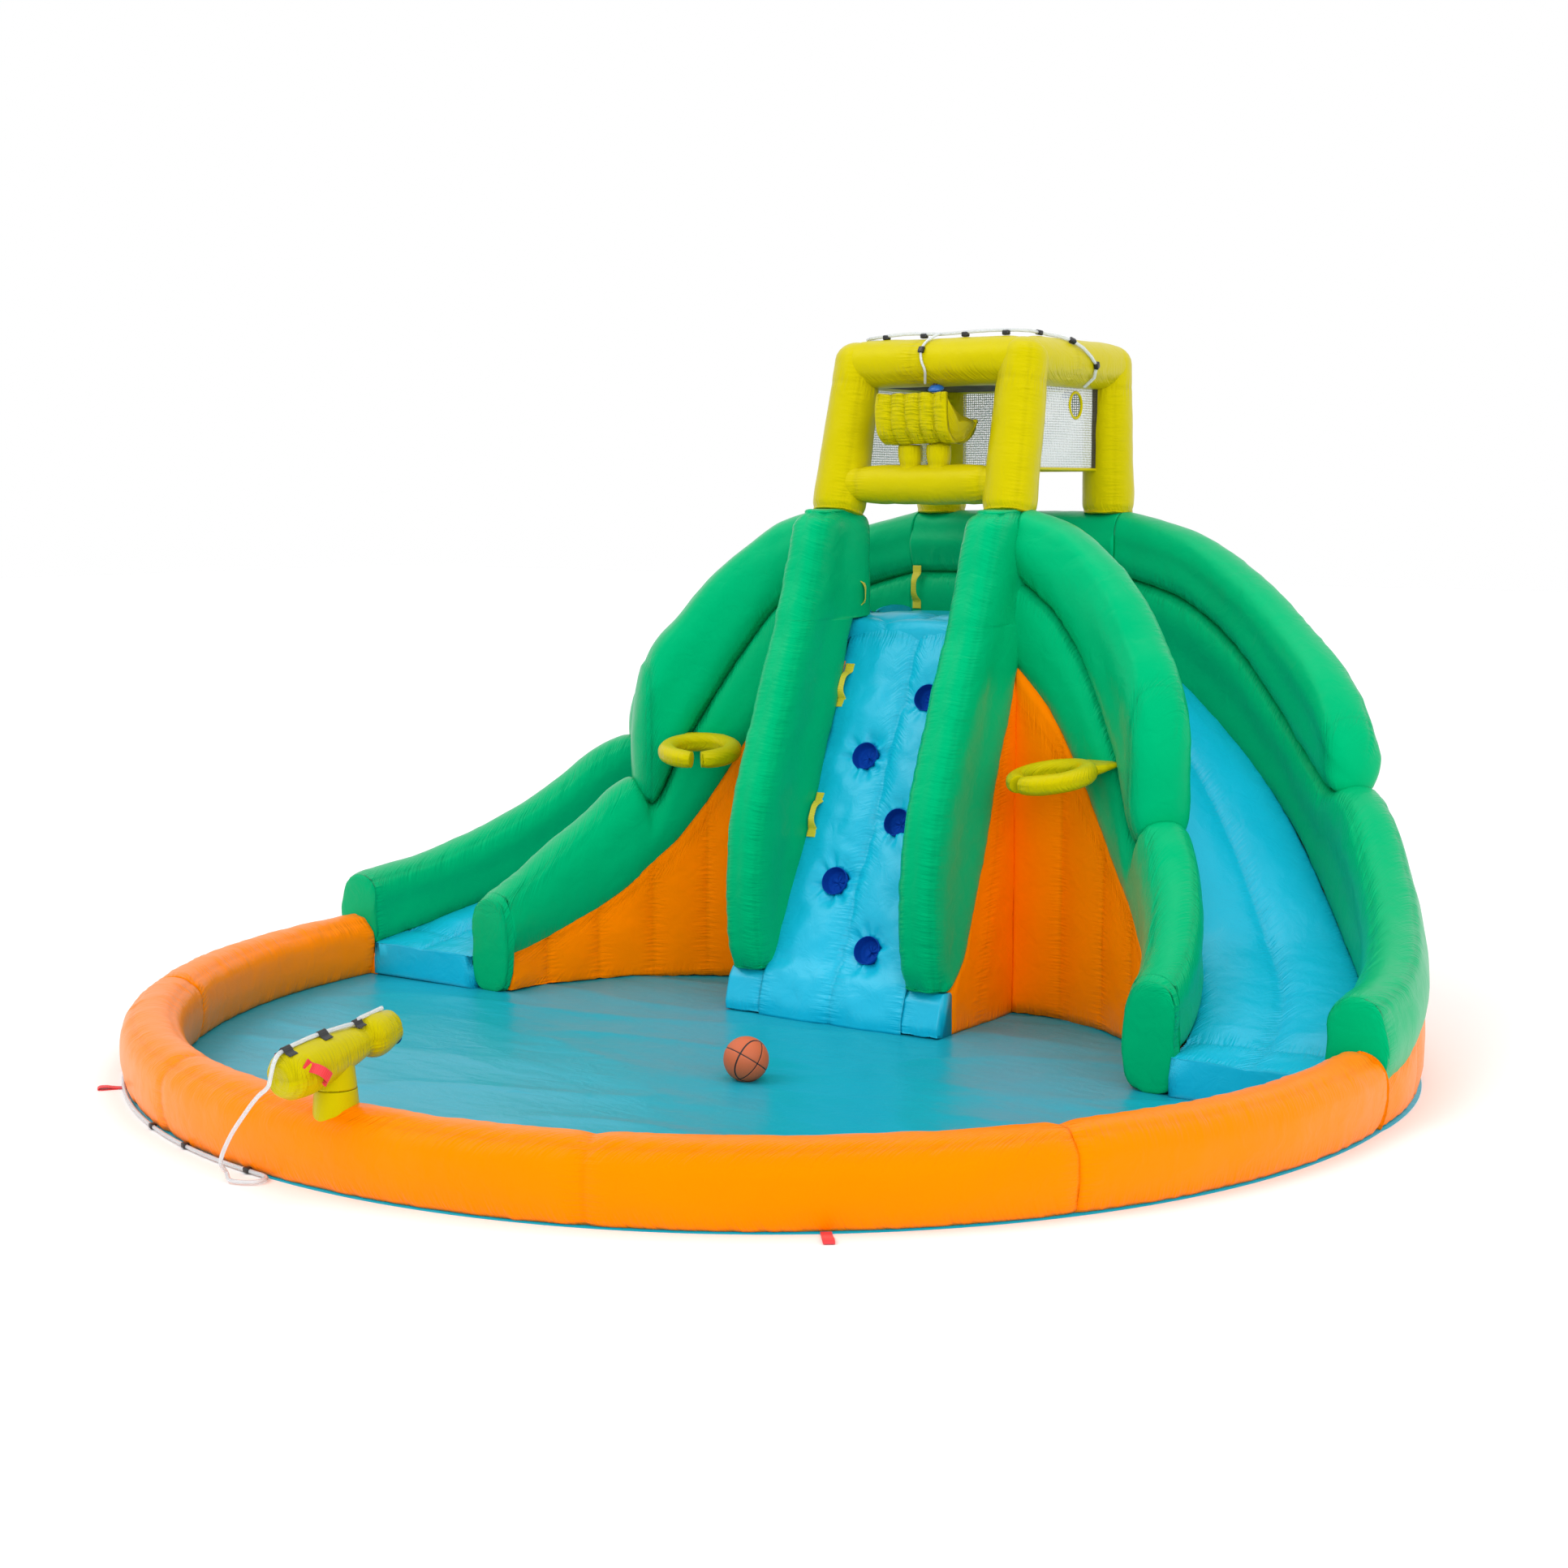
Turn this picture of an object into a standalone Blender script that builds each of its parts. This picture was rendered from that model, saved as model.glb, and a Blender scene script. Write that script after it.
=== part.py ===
"""Inflatable water slide: two curved lanes round a climbing wall, a tower and a pool ring.

Metres, +Z up, the pool in front (-Y). The left half (-X) mirrors the right half (+X).
The model is laid out from the middle of the climbing wall's foot; its last step moves the
whole part so that its origin is the middle of its footprint on the ground.
"""
import math

import bmesh
import bpy
import numpy as np
from mathutils import Matrix, Vector

# General
GAP = 0.0003                 # clearance between pieces that touch
SEAT_GAP = 0.0006            # clearance where a piece is cut to sit on a round neighbour
SHEET_T = 0.003              # base sheet
SHEET_HEM = 0.012            # base sheet beyond the walls that stand on it
FLOOR = SHEET_T + GAP        # height that everything stands at
SKIN_T = 0.003               # walls of the hollow air chambers
AIR_HOLE_R = 0.030           # opening in a chamber's underside

# Pool ring
RING_WIDTH = 0.20
RING_HEIGHT = 0.21
RING_SETBACK = 0.384         # ring centre in front of the climbing wall's foot
RING_FOOT_SHARE = 0.79       # flat foot, share of the width
RING_TOP_SHARE = 0.62        # flat top between the two long seams
RING_SEAM_DEG = (21.7, 56.7)  # panel seams, each side of the front
RING_STEP_DEG = 7.0
RING_SEAM_SHARE = 0.04       # each side of a seam, share of the panel
RING_PINCH = 0.006           # drawn in at a panel seam

# Climbing wall
LANE_HALF = 0.283            # half the climbing lane
FOOT_HEIGHT = 0.155          # blue foot across the front
FOOT_DEPTH = 0.055
FOOT_OUT = 0.006             # foot in front of the slope
FOOT_LIFT = 0.001            # its underside above the slope block's
DECK_HEIGHT = 1.40
LANE_TOP = 1.345             # where the slope meets the rounded top edge
DECK_FRONT = 0.545           # slope's top edge in plan
DECK_BACK = 1.22
TOP_ROUND = 0.044            # the slope starts to round this far below that
LANE_BULGE = 0.018           # crown of each of the two channels
LANE_CROWN_SHARES = (0.5, 1.0, 0.4)   # of the crown: at the foot, half way and at the top
LANE_COLUMNS = 8
HOLD_R = 0.047               # foothold pockets
HOLD_DEPTH = 0.045
HOLD_X = 0.10
HOLD_FIRST_Z = 0.264
HOLD_PITCH = 0.2155
HOLD_COUNT = 5

WALL_TOP = 1.80              # crest of the green walls at the tower
WALL_BACK = 0.655            # back of the side tubes at deck height
WALL_RIM = 0.045             # rounding of the side tubes' section
# side tube outline from the side: height share of WALL_TOP, front and back share of WALL_BACK
CLIMB_WALL_SHARES = (
    (0.0830, -0.055, 0.085), (0.140, -0.110, 0.200), (0.250, -0.135, 0.315),
    (0.333, -0.115, 0.400), (0.417, -0.070, 0.470), (0.528, 0.045, 0.570),
    (0.594, 0.120, 0.650), (0.694, 0.235, 0.745), (0.762, 0.320, 0.810),
    (0.800, 0.355, 1.000), (0.861, 0.420, 1.000), (0.944, 0.495, 1.000),
    (0.980, 0.540, 0.985), (1.000, 0.610, 0.930))

# Curved slides
SLIDE_X = 0.445              # arc centre, and half the climbing wall with its side tubes
SLIDE_Y = -0.30              # arc centre, and the plane of the lane's end
STATION_DEG = 5.0
WALL_IN_EXIT = 0.830         # radius of the inner wall's pool face at the lane's end
WALL_IN_TOWER = 0.770
WALL_THICK_EXIT = 0.170
WALL_THICK_TOWER = 0.190
LANE_WIDTH_EXIT = 0.486
LANE_WIDTH_TOWER = 0.560
OUTER_THICK_EXIT = 0.184
OUTER_THICK_TOWER = 0.200
RING_OUT = 0.012             # ring's centreline outside the middle of the outer walls' ends
RING_R = SLIDE_X + WALL_IN_EXIT + WALL_THICK_EXIT + LANE_WIDTH_EXIT + OUTER_THICK_EXIT / 2 + RING_OUT
LANE_CROWN = 0.014
TUBE_BULGE = 0.016           # crown of a wall tube's free side
TUBE_CORNER_SHARE = 0.24     # rounding where tubes are stacked, share of the thickness
TUBE_CREST_SHARE = 0.42      # rounding of a free crest
END_INSET = 0.010            # rounding of a wall's end face
PANEL_INSET = 0.006          # ribbed panels stand back from the tubes above
RIB_BULGE = 0.016
RIB_STATIONS = 3             # stations from one rib seam to the next
IN_KINK_DEG = 42.5           # where the upper tubes turn down
IN_STOP_DEG = 40.0           # where they end
OUT_KINK_DEG = 47.5
OUT_STOP_DEG = 45.0
PANEL_STOP_DEG = 2.5         # the inner walls' ends come down to the floor in front of the panels
END_DEG = 1.0                # where a wall's end face starts to round
# heights along the slide as shares of WALL_TOP: angle (90 at the tower, 0 at the lane's end)
LANE_SHARES = ((90, .778), (85, .716), (80, .662), (70, .556), (60, .439), (52, .339), (45, .258),
               (38, .194), (30, .156), (20, .122), (10, .092), (0, .072))
IN_PANEL_SHARES = ((90, .678), (80, .600), (70, .483), (60, .367), (52, .286), (45, .235),
                   (38, .183), (30, .144), (20, .106), (10, .078), (0, .061))
IN_MID_SHARES = ((90, .861), (80, .800), (70, .706), (60, .583), (52, .472), (46, .378), (45, .372),
                 (42.5, .410), (40, .428), (35, .405), (30, .364), (20, .300), (10, .239), (0, .197))
IN_CREST_SHARES = ((90, 1.0), (80, .975), (70, .922), (60, .850), (52, .772), (45, .694),
                   (42.5, .620), (40, .470))
OUT_PANEL_SHARES = ((90, .678), (80, .611), (70, .517), (60, .417), (52, .333), (45, .278),
                    (38, .217), (30, .172), (20, .133), (10, .100), (0, .072))
OUT_MID_SHARES = ((90, .861), (80, .817), (70, .728), (60, .600), (52, .506), (47.5, .470),
                  (45, .480), (42.5, .470), (40, .450), (35, .392), (30, .341), (20, .272),
                  (10, .233), (0, .217))
OUT_CREST_SHARES = ((90, .994), (80, .956), (70, .878), (60, .775), (52, .690), (47.5, .615),
                    (45, .530))

# Tower
POST_R = 0.100
POST_TOP_R = 0.088
POST_SINK = 0.045            # posts wrap this far down over the walls
POST_GAP = 0.0008            # clearance of the posts' shaped ends
FRONT_POST_FOOT = (0.362, 0.563)
FRONT_POST_HEAD = (0.351, 0.683)
REAR_POST_FOOT = (0.368, 1.320)
REAR_POST_HEAD = (0.360, 1.320)
RING_TUBE_R = 0.0875
RING_TUBE_Z = 2.330
RING_CORNER_R = 0.046        # bend of its crest in plan
RING_CORNER_SHARE = 0.50     # how much rounder the outer side is than the crest
RING_SIDES = 16
BAR_R = 0.0725
BAR_Z = 1.888
STAND_R = 0.047
STAND_X = 0.060
STAND_TOP_Z = 2.032          # flat tops that the bucket rests on
NET_T = 0.003
ROOF_NET_SHARE = 0.92        # drop of the roof mesh below the top ring's middle
NET_BOTTOM = 1.945
NET_HOLE_R = 0.045

# Bucket
BUCKET_HALF = 0.148
BUCKET_DEPTH = 0.247
BUCKET_HEIGHT = 0.184
BUCKET_WALL = 0.020
BUCKET_AXIS_SET = 0.003      # tipping axis in front of the stands
# side outline from the front rim down and back to the rear lip, measured from the tipping axis:
# shares of BUCKET_DEPTH and of BUCKET_HEIGHT
BUCKET_SHARES = ((-0.235, 1.0), (-0.235, 0.70), (-0.215, 0.42), (-0.130, 0.13), (0.012, 0.0),
                 (0.385, 0.0), (0.500, 0.065), (0.630, 0.20), (0.765, 0.43))
BUCKET_CHANNELS = 4
BUCKET_PUCKER = 0.006

# Sprinklers and hoses
HOSE_R = 0.006
SPRINKLER_HALF = 0.034
SPRINKLER_H = 0.018
SPRINKLER_X = 0.005
SPRINKLER_LEAN_DEG = 20.0    # front head set forward under its tube
SPRINKLER_SIDE_Y = 1.060
HOSE_STAND_OFF = 0.0080      # hose beside the foot of the walls
HOSE_CLIP_DEG = 6.6          # last clip, left of the front
HOSE_THIN_SHARE = 0.80       # the sprinkler's own hose
HOSE_CLEAR = 0.002           # between clips, above the top ring
HOSE_BEND = 0.060
HOSE_STEP_DEG = 4.5          # turn from one point of the feed hose to the next
HOSE_WAVE = 0.012            # slack between clips

# Cannon
CANNON_PITCH_DEG = 9.0
CANNON_BULB_R = 0.068
CANNON_LENGTH = 0.435
CANNON_BACK = 0.212          # rear end behind the stump's axis
CANNON_AXIS_Z = 0.365        # barrel axis above the stump
STUMP_OUTSET = 0.016         # stump outside the ring's centreline
STUMP_SINK = 0.040           # stump wraps this far down over the ring
STUMP_R = 0.070
STUMP_TOP_R = 0.058
NECK_TOP_R = 0.050
STUMP_JOINT_Z = 0.272
# barrel outline: place share of CANNON_LENGTH, radius share of CANNON_BULB_R
BARREL_SHARES = ((0.0, 0.0), (0.0, 0.62), (0.05, 0.90), (0.14, 1.0), (0.30, 0.99), (0.45, 0.90),
                 (0.66, 0.74), (0.72, 0.72), (0.75, 0.83), (0.93, 0.82), (1.0, 0.68), (1.0, 0.0))
NOZZLE_R = 0.020
NOZZLE_LENGTH = 0.030

# Small pieces
HOOP_AT_DEG = 59.6           # place along the slide
HOOP_REACH = 0.583           # radius of the hoop's centre about the slide's centre
HOOP_TILT_DEG = 10.0
HOOP_Z = 0.904
HOOP_MAJOR = 0.120
HOOP_TUBE_R = 0.038
HOOP_SLIT_DEG = 16.0
FLAP_WIDTH = 0.170
FLAP_T = 0.020
FLAP_SINK = 0.020            # flap follows the wall's hollows this deep
HANDLE_LOW_Z = 0.693
HANDLE_MID_Z = 0.915
HANDLE_HIGH_Z = 1.152
HANDLE_SIDE_Y = 0.580
HANDLE_LENGTH = 0.170
HANDLE_WIDTH = 0.028
HANDLE_T = 0.003
HANDLE_RISE = 0.026
TAB_SHARE = 0.18             # sewn tab at each end, share of the length
CANNON_HANDLE_LENGTH = 0.105
CANNON_HANDLE_AT = 0.085     # from the barrel's rear end
BALL_R = 0.0725
BALL_PLACE = (0.242, -0.879)
ANCHOR_DEG = 38.5
STRAP_WIDTH = 0.030
STRAP_LENGTH = 0.085
STRAP_T = 0.003
SLEEVE_R = 0.090
SLEEVE_LENGTH = 0.110
SLEEVE_WALL = 0.004
SLEEVE_Z = 0.200

COLOURS = {
    "green": (0.0, 0.45, 0.20, 1), "blue": (0.03, 0.42, 0.62, 1), "orange": (0.95, 0.27, 0.0, 1),
    "yellow": (0.72, 0.62, 0.02, 1), "sheet": (0.08, 0.45, 0.55, 1), "mesh": (0.12, 0.12, 0.11, 1),
    "navy": (0.01, 0.05, 0.30, 1), "hose": (0.80, 0.82, 0.84, 1), "red": (0.72, 0.02, 0.03, 1),
    "webbing": (0.75, 0.68, 0.05, 1), "ball": (0.56, 0.13, 0.05, 1)}

PARTS = "inflatable_water_slide"
CUTTERS = "cutters"


# Helpers
def collection(name):
    """The named collection, made once."""
    found = bpy.data.collections.get(name)
    if found is None:
        found = bpy.data.collections.new(name)
        bpy.context.scene.collection.children.link(found)
    return found


def material(name, colour, roughness=0.45):
    """A Principled material of its own for one piece."""
    mat = bpy.data.materials.new(name)
    mat.use_nodes = True
    bsdf = mat.node_tree.nodes["Principled BSDF"]
    bsdf.inputs["Base Color"].default_value = COLOURS[colour]
    bsdf.inputs["Roughness"].default_value = roughness
    return mat


def piece(name, data, colour, roughness=0.45):
    """One named object of the part from a mesh or curve."""
    obj = bpy.data.objects.new(name, data)
    obj.data.materials.append(material(name, colour, roughness))
    collection(PARTS).objects.link(obj)
    return obj


def closed_mesh(name, bm):
    """A mesh with its faces pointing out and its round surfaces smooth."""
    bmesh.ops.remove_doubles(bm, verts=bm.verts, dist=1e-6)
    bmesh.ops.recalc_face_normals(bm, faces=bm.faces)
    mesh = bpy.data.meshes.new(name)
    bm.to_mesh(mesh)
    bm.free()
    mesh.shade_smooth()
    mesh.set_sharp_from_angle(angle=math.radians(50))
    return mesh


def loft(name, sections, colour, closed=False):
    """A solid through unlike sections that have the same number of points each.

    A twisted side is split along its shorter diagonal, so stacked pieces match face to face.
    """
    bm = bmesh.new()
    rings = [[bm.verts.new(p) for p in section] for section in sections]
    pairs = list(zip(rings, rings[1:])) + ([(rings[-1], rings[0])] if closed else [])
    for a, b in pairs:
        for i in range(len(a)):
            j = (i + 1) % len(a)
            one, two = (a[i].co - b[j].co).length, (a[j].co - b[i].co).length
            if one <= two:
                bm.faces.new((a[i], a[j], b[j]))
                bm.faces.new((a[i], b[j], b[i]))
            else:
                bm.faces.new((a[i], a[j], b[i]))
                bm.faces.new((a[j], b[j], b[i]))
    if not closed:
        bm.faces.new(rings[0])
        bm.faces.new(rings[-1])
    return piece(name, closed_mesh(name, bm), colour)


def cone(name, foot, head, r_foot, r_head, colour, sides=16):
    """A straight, possibly tapered tube between two points."""
    foot, head = Vector(foot), Vector(head)
    bm = bmesh.new()
    bmesh.ops.create_cone(bm, cap_ends=True, segments=sides, radius1=r_foot, radius2=r_head,
                          depth=(head - foot).length)
    obj = piece(name, closed_mesh(name, bm), colour)
    obj.location = (foot + head) / 2
    obj.rotation_euler = (head - foot).to_track_quat("Z", "Y").to_euler()
    return obj


def tube(name, points, radius, colour, sides_step=2, cyclic=False):
    """A tube with filled caps along a route."""
    curve = bpy.data.curves.new(name, "CURVE")
    curve.dimensions = "3D"
    curve.bevel_depth = radius
    curve.bevel_resolution = sides_step
    curve.use_fill_caps = not cyclic
    spline = curve.splines.new("POLY")
    spline.points.add(len(points) - 1)
    for point, co in zip(spline.points, points):
        point.co = (*co, 1.0)
    spline.use_cyclic_u = cyclic
    return piece(name, curve, colour)


def to_mesh(obj):
    """The same piece as a welded mesh, for pieces that are cut or joined."""
    graph = bpy.context.evaluated_depsgraph_get()
    mesh = bpy.data.meshes.new_from_object(obj.evaluated_get(graph))
    bm = bmesh.new()
    bm.from_mesh(mesh)
    name, mats, place = obj.name, list(obj.data.materials), obj.matrix_world.copy()
    bpy.data.objects.remove(obj)
    new = bpy.data.objects.new(name, closed_mesh(name, bm))
    new.data.materials.clear()
    for mat in mats:
        new.data.materials.append(mat)
    new.matrix_world = place
    collection(PARTS).objects.link(new)
    return new


def cutter(obj, name):
    """Moves a shape to the cutters."""
    obj.name = name
    collection(PARTS).objects.unlink(obj)
    collection(CUTTERS).objects.link(obj)
    obj.hide_render = True
    obj.display_type = "WIRE"
    return obj


def grown(source, name, by):
    """A cutter that is a neighbour's own shape with a clearance round it."""
    graph = bpy.context.evaluated_depsgraph_get()
    mesh = bpy.data.meshes.new_from_object(source.evaluated_get(graph))
    bm = bmesh.new()
    bm.from_mesh(mesh)
    bmesh.ops.remove_doubles(bm, verts=bm.verts, dist=1e-6)
    bm.transform(source.matrix_world)
    bm.normal_update()
    for vert in bm.verts:
        vert.co += vert.normal * by * vert.calc_shell_factor()
    new = bpy.data.objects.new(name, closed_mesh(name, bm))
    collection(CUTTERS).objects.link(new)
    new.hide_render = True
    new.display_type = "WIRE"
    return new


def boolean(obj, other, operation="DIFFERENCE"):
    """Adds a Boolean with an exact solver."""
    mod = obj.modifiers.new(operation.lower(), "BOOLEAN")
    mod.operation = operation
    mod.solver = "EXACT"
    mod.object = other
    return obj


def seat(obj, *neighbours, by=SEAT_GAP):
    """Cuts a piece to the shape of the neighbours that it sits against."""
    bpy.context.view_layer.update()
    for n, other in enumerate(neighbours):
        boolean(obj, grown(other, "cut_%s_%s" % (obj.name, other.name), by))
    bpy.context.view_layer.update()
    return obj


def join(obj, *others):
    """Joins shapes into one solid."""
    for other in others:
        boolean(obj, cutter(other, other.name), "UNION")
    bpy.context.view_layer.update()
    return obj


def share_at(table, angle):
    """A height share read from a table of angles and shares."""
    pairs = sorted(table)
    return float(np.interp(angle, [a for a, _ in pairs], [s for _, s in pairs]))


def between(exit_value, tower_value, angle):
    """A size that changes evenly from the lane's end to the tower."""
    return exit_value + (tower_value - exit_value) * angle / 90.0


def curve_through(points):
    """Closely spaced points on a smooth curve through the route's own points."""
    pts = [Vector(p) for p in points]
    ext = [pts[0] * 2 - pts[1]] + pts + [pts[-1] * 2 - pts[-2]]
    fine = []
    for a, b, c, d in zip(ext, ext[1:], ext[2:], ext[3:]):
        for k in range(16):
            t = k / 16
            fine.append(0.5 * ((2 * b) + (c - a) * t + (2 * a - 5 * b + 4 * c - d) * t * t
                               + (3 * b - a - 3 * c + d) * t ** 3))
    return fine + [pts[-1]]


def smooth_route(points, count):
    """Evenly spaced points on that curve."""
    fine = curve_through(points)
    dist = np.concatenate([[0], np.cumsum([(q - p).length for p, q in zip(fine, fine[1:])])])
    return [tuple(np.interp(s, dist, [p[k] for p in fine]) for k in range(3))
            for s in np.linspace(0, dist[-1], count)]


def bend_route(points, turn_deg):
    """Points on that curve, closer together where it bends."""
    fine = curve_through(points)
    kept = [0]
    for k in range(1, len(fine) - 1):
        before = fine[kept[-1] + 1] - fine[kept[-1]]
        if before.angle(fine[k + 1] - fine[k]) > math.radians(turn_deg):
            kept.append(k)
    return [tuple(fine[k]) for k in kept] + [tuple(fine[-1])]


# Base sheet and pool ring
def ring_section(angle_deg, pinch=0.0):
    """Section of the pool ring at an angle from the front, as (radius, height)."""
    half, high = RING_WIDTH / 2 - pinch, RING_HEIGHT - pinch
    foot, top = half * RING_FOOT_SHARE, half * RING_TOP_SHARE
    mid = FLOOR + high / 2
    near = half * (1 + RING_TOP_SHARE) / 2 + (half - top) * 0.25
    low, up = FLOOR + high * 0.17, FLOOR + high * 0.83
    crest = FLOOR + high
    out = [(foot, FLOOR), (near, low), (half, mid), (near, up), (top, crest)]
    ring = [(RING_R + a, z) for a, z in out] + [(RING_R - a, z) for a, z in reversed(out)]
    ang = math.radians(angle_deg)
    end = SLIDE_Y - GAP + RING_SETBACK
    points = []
    for radius, z in ring:
        x, y = radius * math.sin(ang), -radius * math.cos(ang)
        if y >= end - 1e-9:
            y = end
            x = math.copysign(math.sqrt(radius ** 2 - y ** 2), x)
        points.append((x, y - RING_SETBACK, z))
    return points


def build_ring():
    """Three lengths of ring that meet at panel seams, drawn in at every seam."""
    end = 90 + math.degrees(math.asin((SLIDE_Y - GAP + RING_SETBACK) / (RING_R - RING_WIDTH)))
    inner, outer = RING_SEAM_DEG
    seams = (-outer, -inner, inner, outer)
    split = math.degrees(GAP / 2 / RING_R)
    made = []
    for name, a0, a1 in (("ring_left", -end, -outer), ("ring_front", -outer, outer),
                         ("ring_right", outer, end)):
        stops = [a0] + [s for s in seams if a0 < s < a1] + [a1]
        angles = []
        for p, q in zip(stops, stops[1:]):
            count = max(2, round((q - p) / RING_STEP_DEG))
            angles += list(np.linspace(p, q, count, endpoint=False))
            angles += [p + RING_SEAM_SHARE * (q - p)] if p in seams else []
            angles += [q - RING_SEAM_SHARE * (q - p)] if q in seams else []
        angles = sorted(angles + [a1])
        sections = []
        for a in angles:
            a_in = min(max(a, a0 + (split if a0 != -end else 0)), a1 - (split if a1 != end else 0))
            sections.append(ring_section(a_in, RING_PINCH if a in seams else 0.0))
        made.append(loft(name, sections, "orange"))
    return made


def build_sheet():
    """The flat base sheet under everything, a little larger than what stands on it."""
    reach = RING_R + RING_WIDTH / 2 * RING_FOOT_SHARE + SHEET_HEM
    outline = []
    turn = math.degrees(math.asin((SLIDE_Y + RING_SETBACK) / reach))
    for a in np.linspace(-90 - turn, 90 + turn, 91):
        outline.append((reach * math.sin(math.radians(a)),
                        -reach * math.cos(math.radians(a)) - RING_SETBACK))
    for a in np.linspace(0, 90, 19)[1:]:
        r = between(radius_out(0, 3), radius_out(90, 3), a) + SHEET_HEM
        outline.append((SLIDE_X + r * math.cos(math.radians(a)),
                        SLIDE_Y + r * math.sin(math.radians(a))))
    back = [(-x, y) for x, y in reversed(outline[-18:])]
    outline += back
    curve = bpy.data.curves.new("ground_sheet", "CURVE")
    curve.dimensions = "2D"
    curve.fill_mode = "BOTH"
    curve.extrude = SHEET_T / 2
    spline = curve.splines.new("POLY")
    spline.points.add(len(outline) - 1)
    for point, (x, y) in zip(spline.points, outline):
        point.co = (x, y, 0, 1)
    spline.use_cyclic_u = True
    obj = piece("ground_sheet", curve, "sheet", 0.35)
    obj.location.z = SHEET_T / 2
    bpy.context.view_layer.update()
    return to_mesh(obj)


# Climbing wall and deck
def lane_y(z):
    """Depth of the flat of the climbing slope at a height."""
    return DECK_FRONT * (z - FOOT_HEIGHT) / (LANE_TOP - FOOT_HEIGHT)


def lane_normal():
    """Unit normal of the slope, pointing at the climber."""
    run, rise = DECK_FRONT, LANE_TOP - FOOT_HEIGHT
    return Vector((0, -rise, run)).normalized()


def lane_crown(x, z):
    """Crown of the slope's two channels at a place."""
    middle = (FOOT_HEIGHT + LANE_TOP) / 2
    fade = float(np.interp(z, (FOOT_HEIGHT, middle, LANE_TOP), LANE_CROWN_SHARES))
    return LANE_BULGE * fade * abs(math.sin(math.pi * (x + LANE_HALF) / LANE_HALF))


def wall_profile(share_index, z):
    """Front (1) or back (2) of the side tubes at a height."""
    heights = [row[0] * WALL_TOP for row in CLIMB_WALL_SHARES]
    return float(np.interp(z, heights, [row[share_index] * WALL_BACK for row in CLIMB_WALL_SHARES]))


def build_climb_block():
    """The blue climbing wall: two crowned channels, a foot and five pockets."""
    n = lane_normal()
    sections = []
    for k in range(LANE_COLUMNS + 1):
        x = -LANE_HALF + GAP + (2 * LANE_HALF - 2 * GAP) * k / LANE_COLUMNS
        line = [Vector((x, lane_y(z), z)) + n * lane_crown(x, z)
                for z in (FOOT_HEIGHT, (FOOT_HEIGHT + LANE_TOP) / 2, LANE_TOP - TOP_ROUND)]
        sections.append([(x, 0.0, FLOOR)] + [tuple(p) for p in line] + [
                         (x, DECK_FRONT - GAP, DECK_HEIGHT + lane_crown(x, LANE_TOP)),
                         (x, DECK_FRONT - GAP, FLOOR)])
    block = loft("climb_block", sections, "blue")
    bm = bmesh.new()
    bmesh.ops.create_cube(bm, size=1.0)
    bmesh.ops.scale(bm, vec=(2 * (SLIDE_X - GAP), FOOT_DEPTH + FOOT_OUT,
                             FOOT_HEIGHT - FLOOR - FOOT_LIFT), verts=bm.verts)
    foot = piece("climb_foot", closed_mesh("climb_foot", bm), "blue")
    foot.location = (0, (FOOT_DEPTH - FOOT_OUT) / 2, (FOOT_HEIGHT + FLOOR + FOOT_LIFT) / 2)
    join(block, foot)
    for k in range(HOLD_COUNT):
        z = HOLD_FIRST_Z + HOLD_PITCH * k
        centre = Vector((HOLD_X if k % 2 == 0 else -HOLD_X, lane_y(z), z))
        hold = cone("hold_%d" % k, centre - n * HOLD_DEPTH, centre + n * HOLD_DEPTH,
                    HOLD_R, HOLD_R, "navy", 14)
        boolean(block, cutter(hold, "cut_hold_%d" % k))
    return block


def build_climb_side(side, name):
    """One green side tube of the climbing wall, standing on the blue foot and on the deck."""
    x0, x1 = LANE_HALF + GAP, SLIDE_X - GAP
    rows = [(max(h * WALL_TOP, FOOT_HEIGHT + GAP), f * WALL_BACK, b * WALL_BACK)
            for h, f, b in CLIMB_WALL_SHARES]
    step = DECK_HEIGHT + GAP
    front = wall_profile(1, step)
    rows += [(step, front, DECK_FRONT - GAP), (step + GAP, front, WALL_BACK)]
    rows.sort()
    last = len(rows) - 1
    sections = []
    for k, (z, y0, y1) in enumerate(rows):
        tuck = {last: WALL_RIM, last - 1: WALL_RIM * 0.45, 0: WALL_RIM * 0.5}.get(k, 0)
        a, b = x0 + tuck, x1 - tuck
        rim = min(WALL_RIM, (y1 - y0) / 3, (b - a) / 3)
        sections.append([(side * x, y, z) for x, y in (
            (a + rim, y0), (b - rim, y0), (b - rim * 0.3, y0 + rim * 0.45), (b, y0 + rim * 1.4),
            (b, y1), (a, y1), (a, y0 + rim * 1.4), (a + rim * 0.3, y0 + rim * 0.45))])
    return loft(name, sections, "green")


def build_climb_panel(side, name):
    """The orange side of the climbing wall, from the side tube back to the corner."""
    heights = [FOOT_HEIGHT + GAP] + [h * WALL_TOP for h, _, b in CLIMB_WALL_SHARES[1:]
                                     if b * WALL_BACK < DECK_FRONT and h * WALL_TOP < DECK_HEIGHT]
    edge = [(wall_profile(2, z) + GAP, z) for z in heights]
    start = FOOT_DEPTH + GAP
    line = [(start, FLOOR)] + [(max(y, start), z) for y, z in edge]
    back = DECK_FRONT - GAP
    line += [(back, line[-1][1]), (back, FLOOR)]
    sections = [[(side * x, y, z) for y, z in line] for x in (LANE_HALF + GAP, SLIDE_X - GAP)]
    return loft(name, sections, "orange")


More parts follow.
